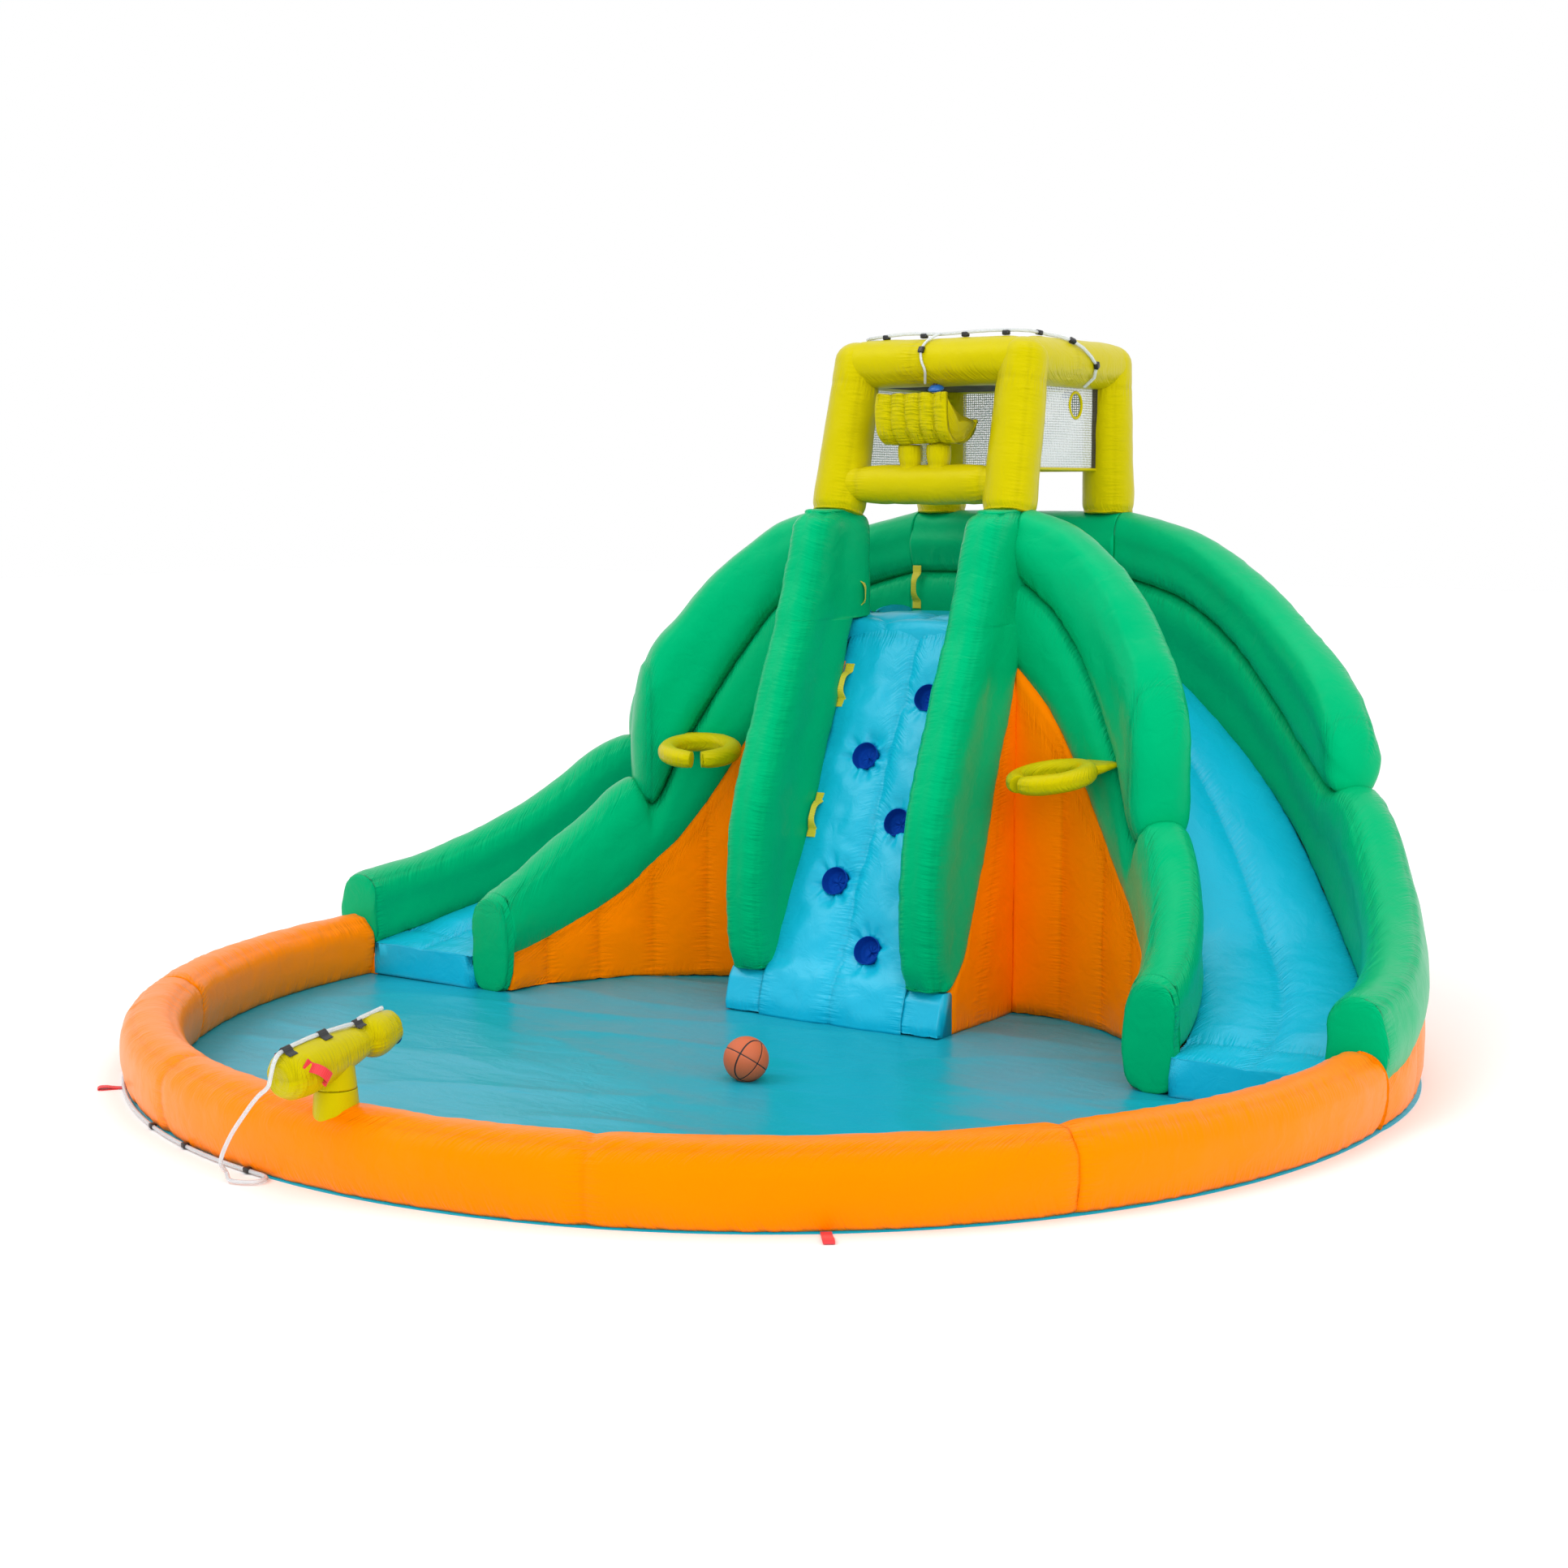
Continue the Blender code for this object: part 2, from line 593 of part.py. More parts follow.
def build_deck():
    """The block under the deck."""
    bm = bmesh.new()
    bmesh.ops.create_cube(bm, size=1.0)
    depth = DECK_BACK - DECK_FRONT - GAP
    bmesh.ops.scale(bm, vec=(2 * (SLIDE_X - GAP), depth, DECK_HEIGHT - FLOOR), verts=bm.verts)
    deck = piece("deck_block", closed_mesh("deck_block", bm), "blue")
    deck.location = (0, (DECK_FRONT + DECK_BACK - GAP) / 2, (DECK_HEIGHT + FLOOR) / 2)
    return deck


# Curved slides
def radius_out(angle, line):
    """Radii across the slide: 0 and 1 the inner wall, 2 and 3 the outer wall."""
    sizes = [between(WALL_IN_EXIT, WALL_IN_TOWER, angle),
             between(WALL_THICK_EXIT, WALL_THICK_TOWER, angle),
             between(LANE_WIDTH_EXIT, LANE_WIDTH_TOWER, angle),
             between(OUTER_THICK_EXIT, OUTER_THICK_TOWER, angle)]
    return sum(sizes[:line + 1])


def stations():
    """Angles of the sections, from the tower to the lane's end."""
    angles = list(np.arange(90.0, -0.1, -STATION_DEG))
    angles += [IN_KINK_DEG, OUT_KINK_DEG, PANEL_STOP_DEG, END_DEG]
    return sorted(angles, reverse=True)


def on_arc(side, angle, radius, z):
    """A point of the slide from its angle, radius and height."""
    a = math.radians(angle)
    return (side * (SLIDE_X + radius * math.cos(a)), SLIDE_Y + radius * math.sin(a), z)


def tube_section(r0, r1, z0, z1, free_in, free_out, crest):
    """Section of a wall tube as (radius, height): rounded, with crowned free sides."""
    w, h = r1 - r0, z1 - z0
    c = TUBE_CORNER_SHARE * w
    t = TUBE_CREST_SHARE * w if crest else c
    cv, tv = min(c, h * 0.4), min(t, h * 0.45)
    mid = (z0 + z1) / 2
    bulge_in = TUBE_BULGE if free_in else 0.0
    bulge_out = TUBE_BULGE if free_out else 0.0
    return [(r0 + c, z0), (r1 - c, z0), (r1 - c * 0.3, z0 + cv * 0.3), (r1, z0 + cv),
            (r1 + bulge_out, mid), (r1, z1 - tv), (r1 - t * 0.3, z1 - tv * 0.3), (r1 - t, z1),
            (r0 + t, z1), (r0 + t * 0.3, z1 - tv * 0.3), (r0, z1 - tv), (r0 - bulge_in, mid),
            (r0, z0 + cv), (r0 + c * 0.3, z0 + cv * 0.3)]


def build_wall_tube(name, side, inner, upper):
    """One tube of a slide wall: the lower runs to the lane's end, the upper stops at the kink."""
    if inner:
        low, high = (IN_MID_SHARES, IN_CREST_SHARES) if upper else (IN_PANEL_SHARES, IN_MID_SHARES)
    else:
        low, high = (OUT_MID_SHARES, OUT_CREST_SHARES) if upper else (OUT_PANEL_SHARES, OUT_MID_SHARES)
    first = 0 if inner else 2
    turn = IN_STOP_DEG if inner else OUT_STOP_DEG
    stop = turn if upper else 0.0
    sections = []
    angles = [a for a in stations() if a >= stop]
    if inner and not upper:
        past = PANEL_STOP_DEG - math.degrees(GAP / WALL_IN_EXIT) * 2
        angles.insert(angles.index(PANEL_STOP_DEG) + 1, past)
    for angle in angles:
        z0 = share_at(low, angle) * WALL_TOP + GAP / 2
        if inner and not upper and angle < PANEL_STOP_DEG:
            z0 = FLOOR
        z1 = share_at(high, angle) * WALL_TOP - GAP / 2
        r0 = radius_out(angle, first) + (0 if inner else GAP)
        r1 = radius_out(angle, first + 1) - (GAP if inner else 0)
        draw = END_INSET if angle == stop else 0.0
        crest = upper or angle < turn
        lift = draw if stop == 0 and not inner else 0.0
        section = tube_section(r0 + draw, r1 - draw, z0 + lift, z1 - draw, inner, upper or not inner, crest)
        sections.append([on_arc(side, angle, r, z) for r, z in section])
    return loft(name, sections, "green")


def build_panel(name, side, inner):
    """The ribbed orange panel under a slide wall."""
    first = 0 if inner else 2
    table = IN_PANEL_SHARES if inner else OUT_PANEL_SHARES
    sections = []
    for angle in [a for a in stations() if a >= (PANEL_STOP_DEG if inner else 0.0)]:
        phase = (90.0 - angle) / (STATION_DEG * RIB_STATIONS)
        rib = RIB_BULGE * abs(math.sin(math.pi * phase))
        top = share_at(table, angle) * WALL_TOP - GAP / 2
        r0, r1 = radius_out(angle, first), radius_out(angle, first + 1)
        mid = (FLOOR + top) / 2
        corner = TUBE_CORNER_SHARE * (r1 - r0 - GAP)
        if inner:
            face, back = r0 + PANEL_INSET, r1 - GAP
            near, far = r0 + corner, r1 - GAP - corner
            rib = -rib
        else:
            face, back = r1 - PANEL_INSET, r0 + GAP
            near, far = r1 - corner, r0 + GAP + corner
        line = [(face, FLOOR), (face + rib, mid), (face, top), (near, top), (far, top),
                (back, top), (back, FLOOR)]
        sections.append([on_arc(side, angle, r, z) for r, z in line])
    return loft(name, sections, "orange")


def build_bed(name, side):
    """The blue lane between the walls, two crowned channels, solid down to the sheet."""
    sections = []
    for angle in stations():
        r0, r1 = radius_out(angle, 1), radius_out(angle, 2)
        z = share_at(LANE_SHARES, angle) * WALL_TOP
        w = r1 - r0
        line = [(r0, FLOOR), (r1, FLOOR), (r1, z), (r1 - w / 4, z + LANE_CROWN), (r0 + w / 2, z),
                (r0 + w / 4, z + LANE_CROWN), (r0, z)]
        sections.append([on_arc(side, angle, r, zz) for r, zz in line])
    return loft(name, sections, "blue")


def build_back():
    """The straight back wall behind the deck: two tubes on an orange panel."""
    y0, y1 = SLIDE_Y + radius_out(90, 2), SLIDE_Y + radius_out(90, 3)
    mid, crest = OUT_MID_SHARES[0][1] * WALL_TOP, OUT_CREST_SHARES[0][1] * WALL_TOP
    foot = OUT_PANEL_SHARES[0][1] * WALL_TOP
    half = SLIDE_X - GAP
    made = []
    for name, z0, z1, colour in (("back_low", foot, mid, "green"), ("back_high", mid, crest, "green")):
        sections = []
        for x, pinch in ((-half, 0), (-half / 2, 0), (0, RING_PINCH), (half / 2, 0), (half, 0)):
            line = tube_section(y0 + GAP + pinch, y1, z0 + GAP / 2, z1 - GAP / 2, name == "back_high",
                                True, name == "back_high")
            sections.append([(x, y, z) for y, z in line])
        made.append(loft(name, sections, colour))
    bm = bmesh.new()
    bmesh.ops.create_cube(bm, size=1.0)
    depth = y1 - y0 - GAP - PANEL_INSET
    bmesh.ops.scale(bm, vec=(2 * half, depth, foot - GAP / 2 - FLOOR), verts=bm.verts)
    panel = piece("back_panel", closed_mesh("back_panel", bm), "orange")
    panel.location = (0, y0 + GAP + depth / 2, (foot - GAP / 2 + FLOOR) / 2)
    return made + [panel]


def build_sleeve():
    """The fabric sleeve at the back that the air comes in by, open at its end."""
    y = SLIDE_Y + radius_out(90, 3) - PANEL_INSET
    sleeve = cone("inflation_sleeve", (0, y, SLEEVE_Z), (0, y + SLEEVE_LENGTH, SLEEVE_Z),
                  SLEEVE_R, SLEEVE_R, "orange", 20)
    bore = cone("cut_sleeve", (0, y + SLEEVE_WALL, SLEEVE_Z), (0, y + 2 * SLEEVE_LENGTH, SLEEVE_Z),
                SLEEVE_R - SLEEVE_WALL, SLEEVE_R - SLEEVE_WALL, "orange", 20)
    sleeve.location.y += GAP
    bpy.context.view_layer.update()
    return boolean(sleeve, cutter(bore, "cut_sleeve"))


# Tower
def front_bar_y():
    """Depth of the front bar, on the leaning front posts."""
    lean = (BAR_Z - WALL_TOP) / (RING_TUBE_Z - WALL_TOP)
    return FRONT_POST_FOOT[1] + (FRONT_POST_HEAD[1] - FRONT_POST_FOOT[1]) * lean


def build_tower(walls):
    """Four posts, the top ring, the front bar with the bucket's stands, nets and roof."""
    corners = [(FRONT_POST_HEAD, -1), (FRONT_POST_HEAD, 1), (REAR_POST_HEAD, 1), (REAR_POST_HEAD, -1)]
    centres = [(s * x, y) for (x, y), s in corners]
    inward = [(1, 1), (-1, 1), (-1, -1), (1, -1)]
    sections = []
    for (x, y), (ix, iy), start in zip(centres, inward, (180, 270, 0, 90)):
        for turn in (0, 45, 90):
            a = math.radians(start + turn)
            section = []
            for k in range(RING_SIDES):
                around = 2 * math.pi * k / RING_SIDES
                wide = RING_TUBE_R * math.cos(around)
                bend = RING_CORNER_R + wide * RING_CORNER_SHARE
                section.append((x - ix * wide + ix * bend + bend * math.cos(a),
                                y - iy * wide + iy * bend + bend * math.sin(a),
                                RING_TUBE_Z + RING_TUBE_R * math.sin(around)))
            sections.append(section)
    ring = loft("tower_ring", sections, "yellow", closed=True)

    posts = []
    for name, side, foot, head in (("post_front_left", -1, FRONT_POST_FOOT, FRONT_POST_HEAD),
                                   ("post_front_right", 1, FRONT_POST_FOOT, FRONT_POST_HEAD),
                                   ("post_rear_left", -1, REAR_POST_FOOT, REAR_POST_HEAD),
                                   ("post_rear_right", 1, REAR_POST_FOOT, REAR_POST_HEAD)):
        post = cone(name, (side * foot[0], foot[1], WALL_TOP - POST_SINK),
                    (side * head[0], head[1], RING_TUBE_Z - RING_TUBE_R * 0.7),
                    POST_R, POST_TOP_R, "yellow")
        hand = "left" if side < 0 else "right"
        near = ("climb_wall_" + hand, "inner_high_" + hand) if "front" in name \
            else ("back_high", "outer_high_" + hand)
        posts.append(seat(post, ring, *(walls[n] for n in near), by=POST_GAP))

    bar_y = front_bar_y()
    bar = cone("front_bar", (-FRONT_POST_FOOT[0], bar_y, BAR_Z), (FRONT_POST_FOOT[0], bar_y, BAR_Z),
               BAR_R, BAR_R, "yellow")
    stands = []
    for side in (-1, 1):
        stands.append(cone("stand_%d" % (side + 1), (side * STAND_X, bar_y, BAR_Z),
                           (side * STAND_X, bar_y, STAND_TOP_Z), STAND_R, STAND_R, "yellow", 14))
    join(bar, *stands)
    seat(bar, *posts[:2])
    return ring, posts, bar


def build_nets(posts, ring):
    """The flat safety nets and the roof mesh, cut to the tubes that hold them."""
    made = []
    head_y, back_y = FRONT_POST_HEAD[1], REAR_POST_HEAD[1]
    x = REAR_POST_HEAD[0]
    specs = (("net_rear", (2 * x, NET_T, RING_TUBE_Z - NET_BOTTOM), (0, back_y, 0)),
             ("net_left", (NET_T, back_y - head_y, RING_TUBE_Z - NET_BOTTOM),
              (-x, (head_y + back_y) / 2, 0)),
             ("net_right", (NET_T, back_y - head_y, RING_TUBE_Z - NET_BOTTOM),
              (x, (head_y + back_y) / 2, 0)),
             ("net_roof", (2 * x, back_y - head_y, NET_T),
              (0, (head_y + back_y) / 2, RING_TUBE_Z - RING_TUBE_R * ROOF_NET_SHARE)))
    for name, size, place in specs:
        bm = bmesh.new()
        bmesh.ops.create_cube(bm, size=1.0)
        bmesh.ops.scale(bm, vec=size, verts=bm.verts)
        net = piece(name, closed_mesh(name, bm), "mesh", 0.8)
        z = place[2] or (RING_TUBE_Z + NET_BOTTOM) / 2
        net.location = (place[0], place[1], z)
        bpy.context.view_layer.update()
        if name == "net_right":
            hole_z = RING_TUBE_Z - RING_TUBE_R - NET_HOLE_R * 1.4
            hole = cone("cut_net_hole", (x - NET_HOLE_R, SPRINKLER_SIDE_Y, hole_z),
                        (x + NET_HOLE_R, SPRINKLER_SIDE_Y, hole_z), NET_HOLE_R, NET_HOLE_R, "mesh", 16)
            boolean(net, cutter(hole, "cut_net_hole"))
        holders = {"net_rear": posts[2:], "net_left": (posts[0], posts[2]),
                   "net_right": (posts[1], posts[3]), "net_roof": posts}[name]
        made.append(seat(net, ring, *holders))
    return made


def build_bucket():
    """The quilted bucket, open up and to the rear; its origin is on its tipping axis."""
    line = [(y * BUCKET_DEPTH, z * BUCKET_HEIGHT) for y, z in BUCKET_SHARES]
    centre = (BUCKET_DEPTH * 0.25, BUCKET_HEIGHT * 0.5)
    sections = []
    steps = BUCKET_CHANNELS * 2
    for k in range(steps + 1):
        x = -BUCKET_HALF + 2 * BUCKET_HALF * k / steps
        section = []
        for y, z in line:
            draw = BUCKET_PUCKER if k % 2 == 0 and z > 0 else 0.0
            away = math.hypot(centre[0] - y, centre[1] - z)
            section.append((x, y + (centre[0] - y) * draw / away, z + (centre[1] - z) * draw / away))
        sections.append(section)
    bucket = loft("bucket", sections, "yellow")

    inside = []
    for k, (y, z) in enumerate(line):
        y0, z0 = line[max(k - 1, 0)]
        y1, z1 = line[min(k + 1, len(line) - 1)]
        size = math.hypot(y1 - y0, z1 - z0)
        inside.append((y - (z1 - z0) / size * BUCKET_WALL, z + (y1 - y0) / size * BUCKET_WALL))
    inside[0] = (inside[0][0], inside[0][1] + BUCKET_WALL)
    inside[-1] = (inside[-1][0] + BUCKET_WALL, inside[-1][1] + BUCKET_WALL * 2)
    half = BUCKET_HALF - BUCKET_WALL
    hollow = loft("cut_bucket", [[(x, y, z) for y, z in inside] for x in (-half, half)], "yellow")
    for obj in (bucket, hollow):
        obj.location = (0, front_bar_y() - STAND_R - BUCKET_AXIS_SET, STAND_TOP_Z + GAP)
    return boolean(bucket, cutter(hollow, "cut_bucket"))


def sprinkler_places():
    """Centres of the two spray heads: under the front tube and under the right tube."""
    reach = RING_TUBE_R + SPRINKLER_H * 0.6
    lean = math.radians(SPRINKLER_LEAN_DEG)
    front = (SPRINKLER_X, FRONT_POST_HEAD[1] - reach * math.sin(lean),
             RING_TUBE_Z - reach * math.cos(lean))
    side = (FRONT_POST_HEAD[0] - NET_T - SPRINKLER_HALF * 0.6, SPRINKLER_SIDE_Y, RING_TUBE_Z - reach)
    return front, side


def build_sprinklers(ring, roof):
    """Two spray heads that hang from the top ring, clear of the roof mesh."""
    front, side = sprinkler_places()
    for name, place, turn in (("sprinkler_front", front, 0.0), ("sprinkler_side", side, math.pi / 2)):
        bm = bmesh.new()
        bmesh.ops.create_uvsphere(bm, u_segments=10, v_segments=7, radius=1.0)
        bmesh.ops.scale(bm, vec=(SPRINKLER_HALF, SPRINKLER_HALF * 0.6, SPRINKLER_H), verts=bm.verts)
        head = piece(name, closed_mesh(name, bm), "navy", 0.35)
        head.location = place
        head.rotation_euler.z = turn
        seat(head, ring, roof)


# Cannon
def cannon_frame():
    """Foot of the stump's axis, the barrel's rear end and the barrel's direction."""
    y = -RING_SETBACK - RING_R - STUMP_OUTSET
    pitch = math.radians(CANNON_PITCH_DEG)
    axis = Vector((0, math.cos(pitch), math.sin(pitch)))
    return Vector((0, y, 0)), Vector((0, y, CANNON_AXIS_Z)) - axis * CANNON_BACK, axis


def build_cannon(ring_front):
    """Stump on the ring, barrel with its neck, nozzle and two webbing handles."""
    foot, rear, axis = cannon_frame()
    up = Vector((0, 0, 1))
    stump = cone("cannon_stump", foot + up * (RING_HEIGHT + FLOOR - STUMP_SINK),
                 foot + up * (STUMP_JOINT_Z - GAP), STUMP_R, STUMP_TOP_R, "yellow")
    seat(stump, ring_front)

    mesh = bpy.data.meshes.new("cannon_barrel")
    bm = bmesh.new()
    verts = [bm.verts.new((CANNON_BULB_R * r, 0, -CANNON_LENGTH * s)) for s, r in BARREL_SHARES]
    for a, b in zip(verts, verts[1:]):
        bm.edges.new((a, b))
    bm.to_mesh(mesh)
    bm.free()
    barrel = piece("cannon_barrel", mesh, "yellow")
    screw = barrel.modifiers.new("turn", "SCREW")
    screw.steps = screw.render_steps = 16
    screw.use_merge_vertices = True
    screw.merge_threshold = 0.0001
    barrel.rotation_euler.x = math.pi / 2 + math.radians(CANNON_PITCH_DEG)
    barrel.location = rear
    bpy.context.view_layer.update()
    barrel = to_mesh(barrel)
    neck = cone("neck", foot + up * (STUMP_JOINT_Z + GAP), foot + up * CANNON_AXIS_Z,
                STUMP_TOP_R, NECK_TOP_R, "yellow")
    join(barrel, neck)

    start = rear + axis * (CANNON_LENGTH - NOZZLE_LENGTH * 0.6) - up * NOZZLE_R
    nozzle = cone("cannon_nozzle", start, start + (axis * 3 - up).normalized() * NOZZLE_LENGTH,
                  NOZZLE_R, NOZZLE_R * 1.3, "navy", 12)
    seat(nozzle, barrel)

    slope = (axis - up).normalized()
    for side, name in ((-1, "cannon_handle_left"), (1, "cannon_handle_right")):
        mid = rear + axis * CANNON_HANDLE_AT + Vector((side * CANNON_BULB_R, 0, 0))
        strap = build_strap(name, mid, slope, Vector((side, 0, 0)), CANNON_HANDLE_LENGTH, "red",
                            CANNON_BULB_R / 2)
        seat(strap, barrel)
    return barrel


def build_strap(name, centre, along, out, length, colour, sink=0.0, width=HANDLE_WIDTH):
    """A webbing handle: two tabs on the surface and a raised grip between them."""
    along = along.normalized()
    out = (out - along * out.dot(along)).normalized()
    across = along.cross(out)
    half, tab = length / 2, length * TAB_SHARE
    line = [(-half, 0), (-half + tab, 0), (-half + tab * 1.6, HANDLE_RISE), (0, HANDLE_RISE * 1.15),
            (half - tab * 1.6, HANDLE_RISE), (half - tab, 0), (half, 0)]
    sections = []
    for s, h in line:
        low = h - sink if h == 0 else h
        base = centre + along * s + out * (low if h == 0 else h)
        lift = out * (HANDLE_T + (sink if h == 0 else 0))
        sections.append([tuple(base - across * width / 2), tuple(base + across * width / 2),
                         tuple(base + across * width / 2 + lift), tuple(base - across * width / 2 + lift)])
    return loft(name, sections, colour)


# Small pieces
def build_handles(block, wall_left):
    """Five webbing handles: three on the slope, one on a side tube and one on the back wall."""
    n = lane_normal()
    up = Vector((0, DECK_FRONT, LANE_TOP - FOOT_HEIGHT)).normalized()
    inset = LANE_HALF - HANDLE_WIDTH
    for name, x, z in (("handle_low", -inset * 0.94, HANDLE_LOW_Z), ("handle_mid", inset * 0.63,
                       HANDLE_MID_Z), ("handle_high", -inset, HANDLE_HIGH_Z)):
        strap = build_strap(name, Vector((x, lane_y(z), z)) + n * lane_crown(x, z), up, n,
                            HANDLE_LENGTH, "webbing", LANE_BULGE)
        seat(strap, block)
    stand = DECK_HEIGHT + HANDLE_LENGTH / 2 + HANDLE_T
    side = build_strap("handle_side", Vector((-LANE_HALF, HANDLE_SIDE_Y, stand)), Vector((0, 0, 1)),
                       Vector((1, 0, 0)), HANDLE_LENGTH, "webbing")
    seat(side, wall_left)
    back_y = SLIDE_Y + radius_out(90, 2)
    build_strap("handle_back", Vector((-SLIDE_X + HANDLE_WIDTH, back_y, stand)), Vector((0, 0, 1)),
                Vector((0, -1, 0)), HANDLE_LENGTH, "webbing")


def build_hoop(side, name, *walls):
    """An inflated hoop with a slit, on a flap from the wall, tipped a little forward."""
    tilt = math.radians(HOOP_TILT_DEG)
    turn = math.radians(HOOP_AT_DEG)
    out = Vector((side * math.cos(turn), math.sin(turn), 0)) * math.cos(tilt) \
        + Vector((0, 0, math.sin(tilt)))
    across = Vector((-side * math.sin(turn), math.cos(turn), 0))
    centre = Vector(on_arc(side, HOOP_AT_DEG, HOOP_REACH, HOOP_Z))
    slit = math.radians(HOOP_SLIT_DEG / 2)
    points = []
    for a in np.linspace(math.pi + slit, 3 * math.pi - slit, 21):
        points.append(tuple(centre + out * HOOP_MAJOR * math.cos(a) + across * HOOP_MAJOR * math.sin(a)))
    hoop = tube(name, points, HOOP_TUBE_R, "yellow", 3)
    bpy.context.view_layer.update()
    hoop = to_mesh(hoop)
    normal = out.cross(across).normalized()
    far = radius_out(HOOP_AT_DEG, 0) + FLAP_SINK - HOOP_REACH
    sections = []
    for along in (HOOP_MAJOR, far):
        base = centre + out * along
        sections.append([tuple(base + across * a * FLAP_WIDTH / 2 + normal * b * FLAP_T / 2)
                         for a, b in ((-1, -1), (1, -1), (1, 1), (-1, 1))])
    flap = loft(name + "_flap", sections, "yellow")
    join(hoop, flap)
    return seat(hoop, *walls)


def build_anchors():
    """Two stake straps that lie on the ground at the base sheet's edge."""
    start = RING_R + RING_WIDTH / 2 * RING_FOOT_SHARE + SHEET_HEM + GAP
    for side, name in ((-1, "anchor_left"), (1, "anchor_right")):
        turn = math.radians(ANCHOR_DEG) * side
        out = Vector((math.sin(turn), -math.cos(turn), 0))
        across = Vector((math.cos(turn), math.sin(turn), 0))
        centre = Vector((0, -RING_SETBACK, 0))
        sections = []
        for reach in (start, start + STRAP_LENGTH):
            sections.append([tuple(centre + out * reach + across * a * STRAP_WIDTH / 2
                                   + Vector((0, 0, b * STRAP_T))) for a, b in
                             ((-1, 0), (1, 0), (1, 1), (-1, 1))])
        loft(name, sections, "red")


def build_ball():
    """The toy ball on the pool floor."""
    bm = bmesh.new()
    bmesh.ops.create_uvsphere(bm, u_segments=16, v_segments=10, radius=BALL_R)
    ball = piece("ball", closed_mesh("ball", bm), "ball", 0.6)
    ball.location = (*BALL_PLACE, FLOOR + BALL_R)
    return ball


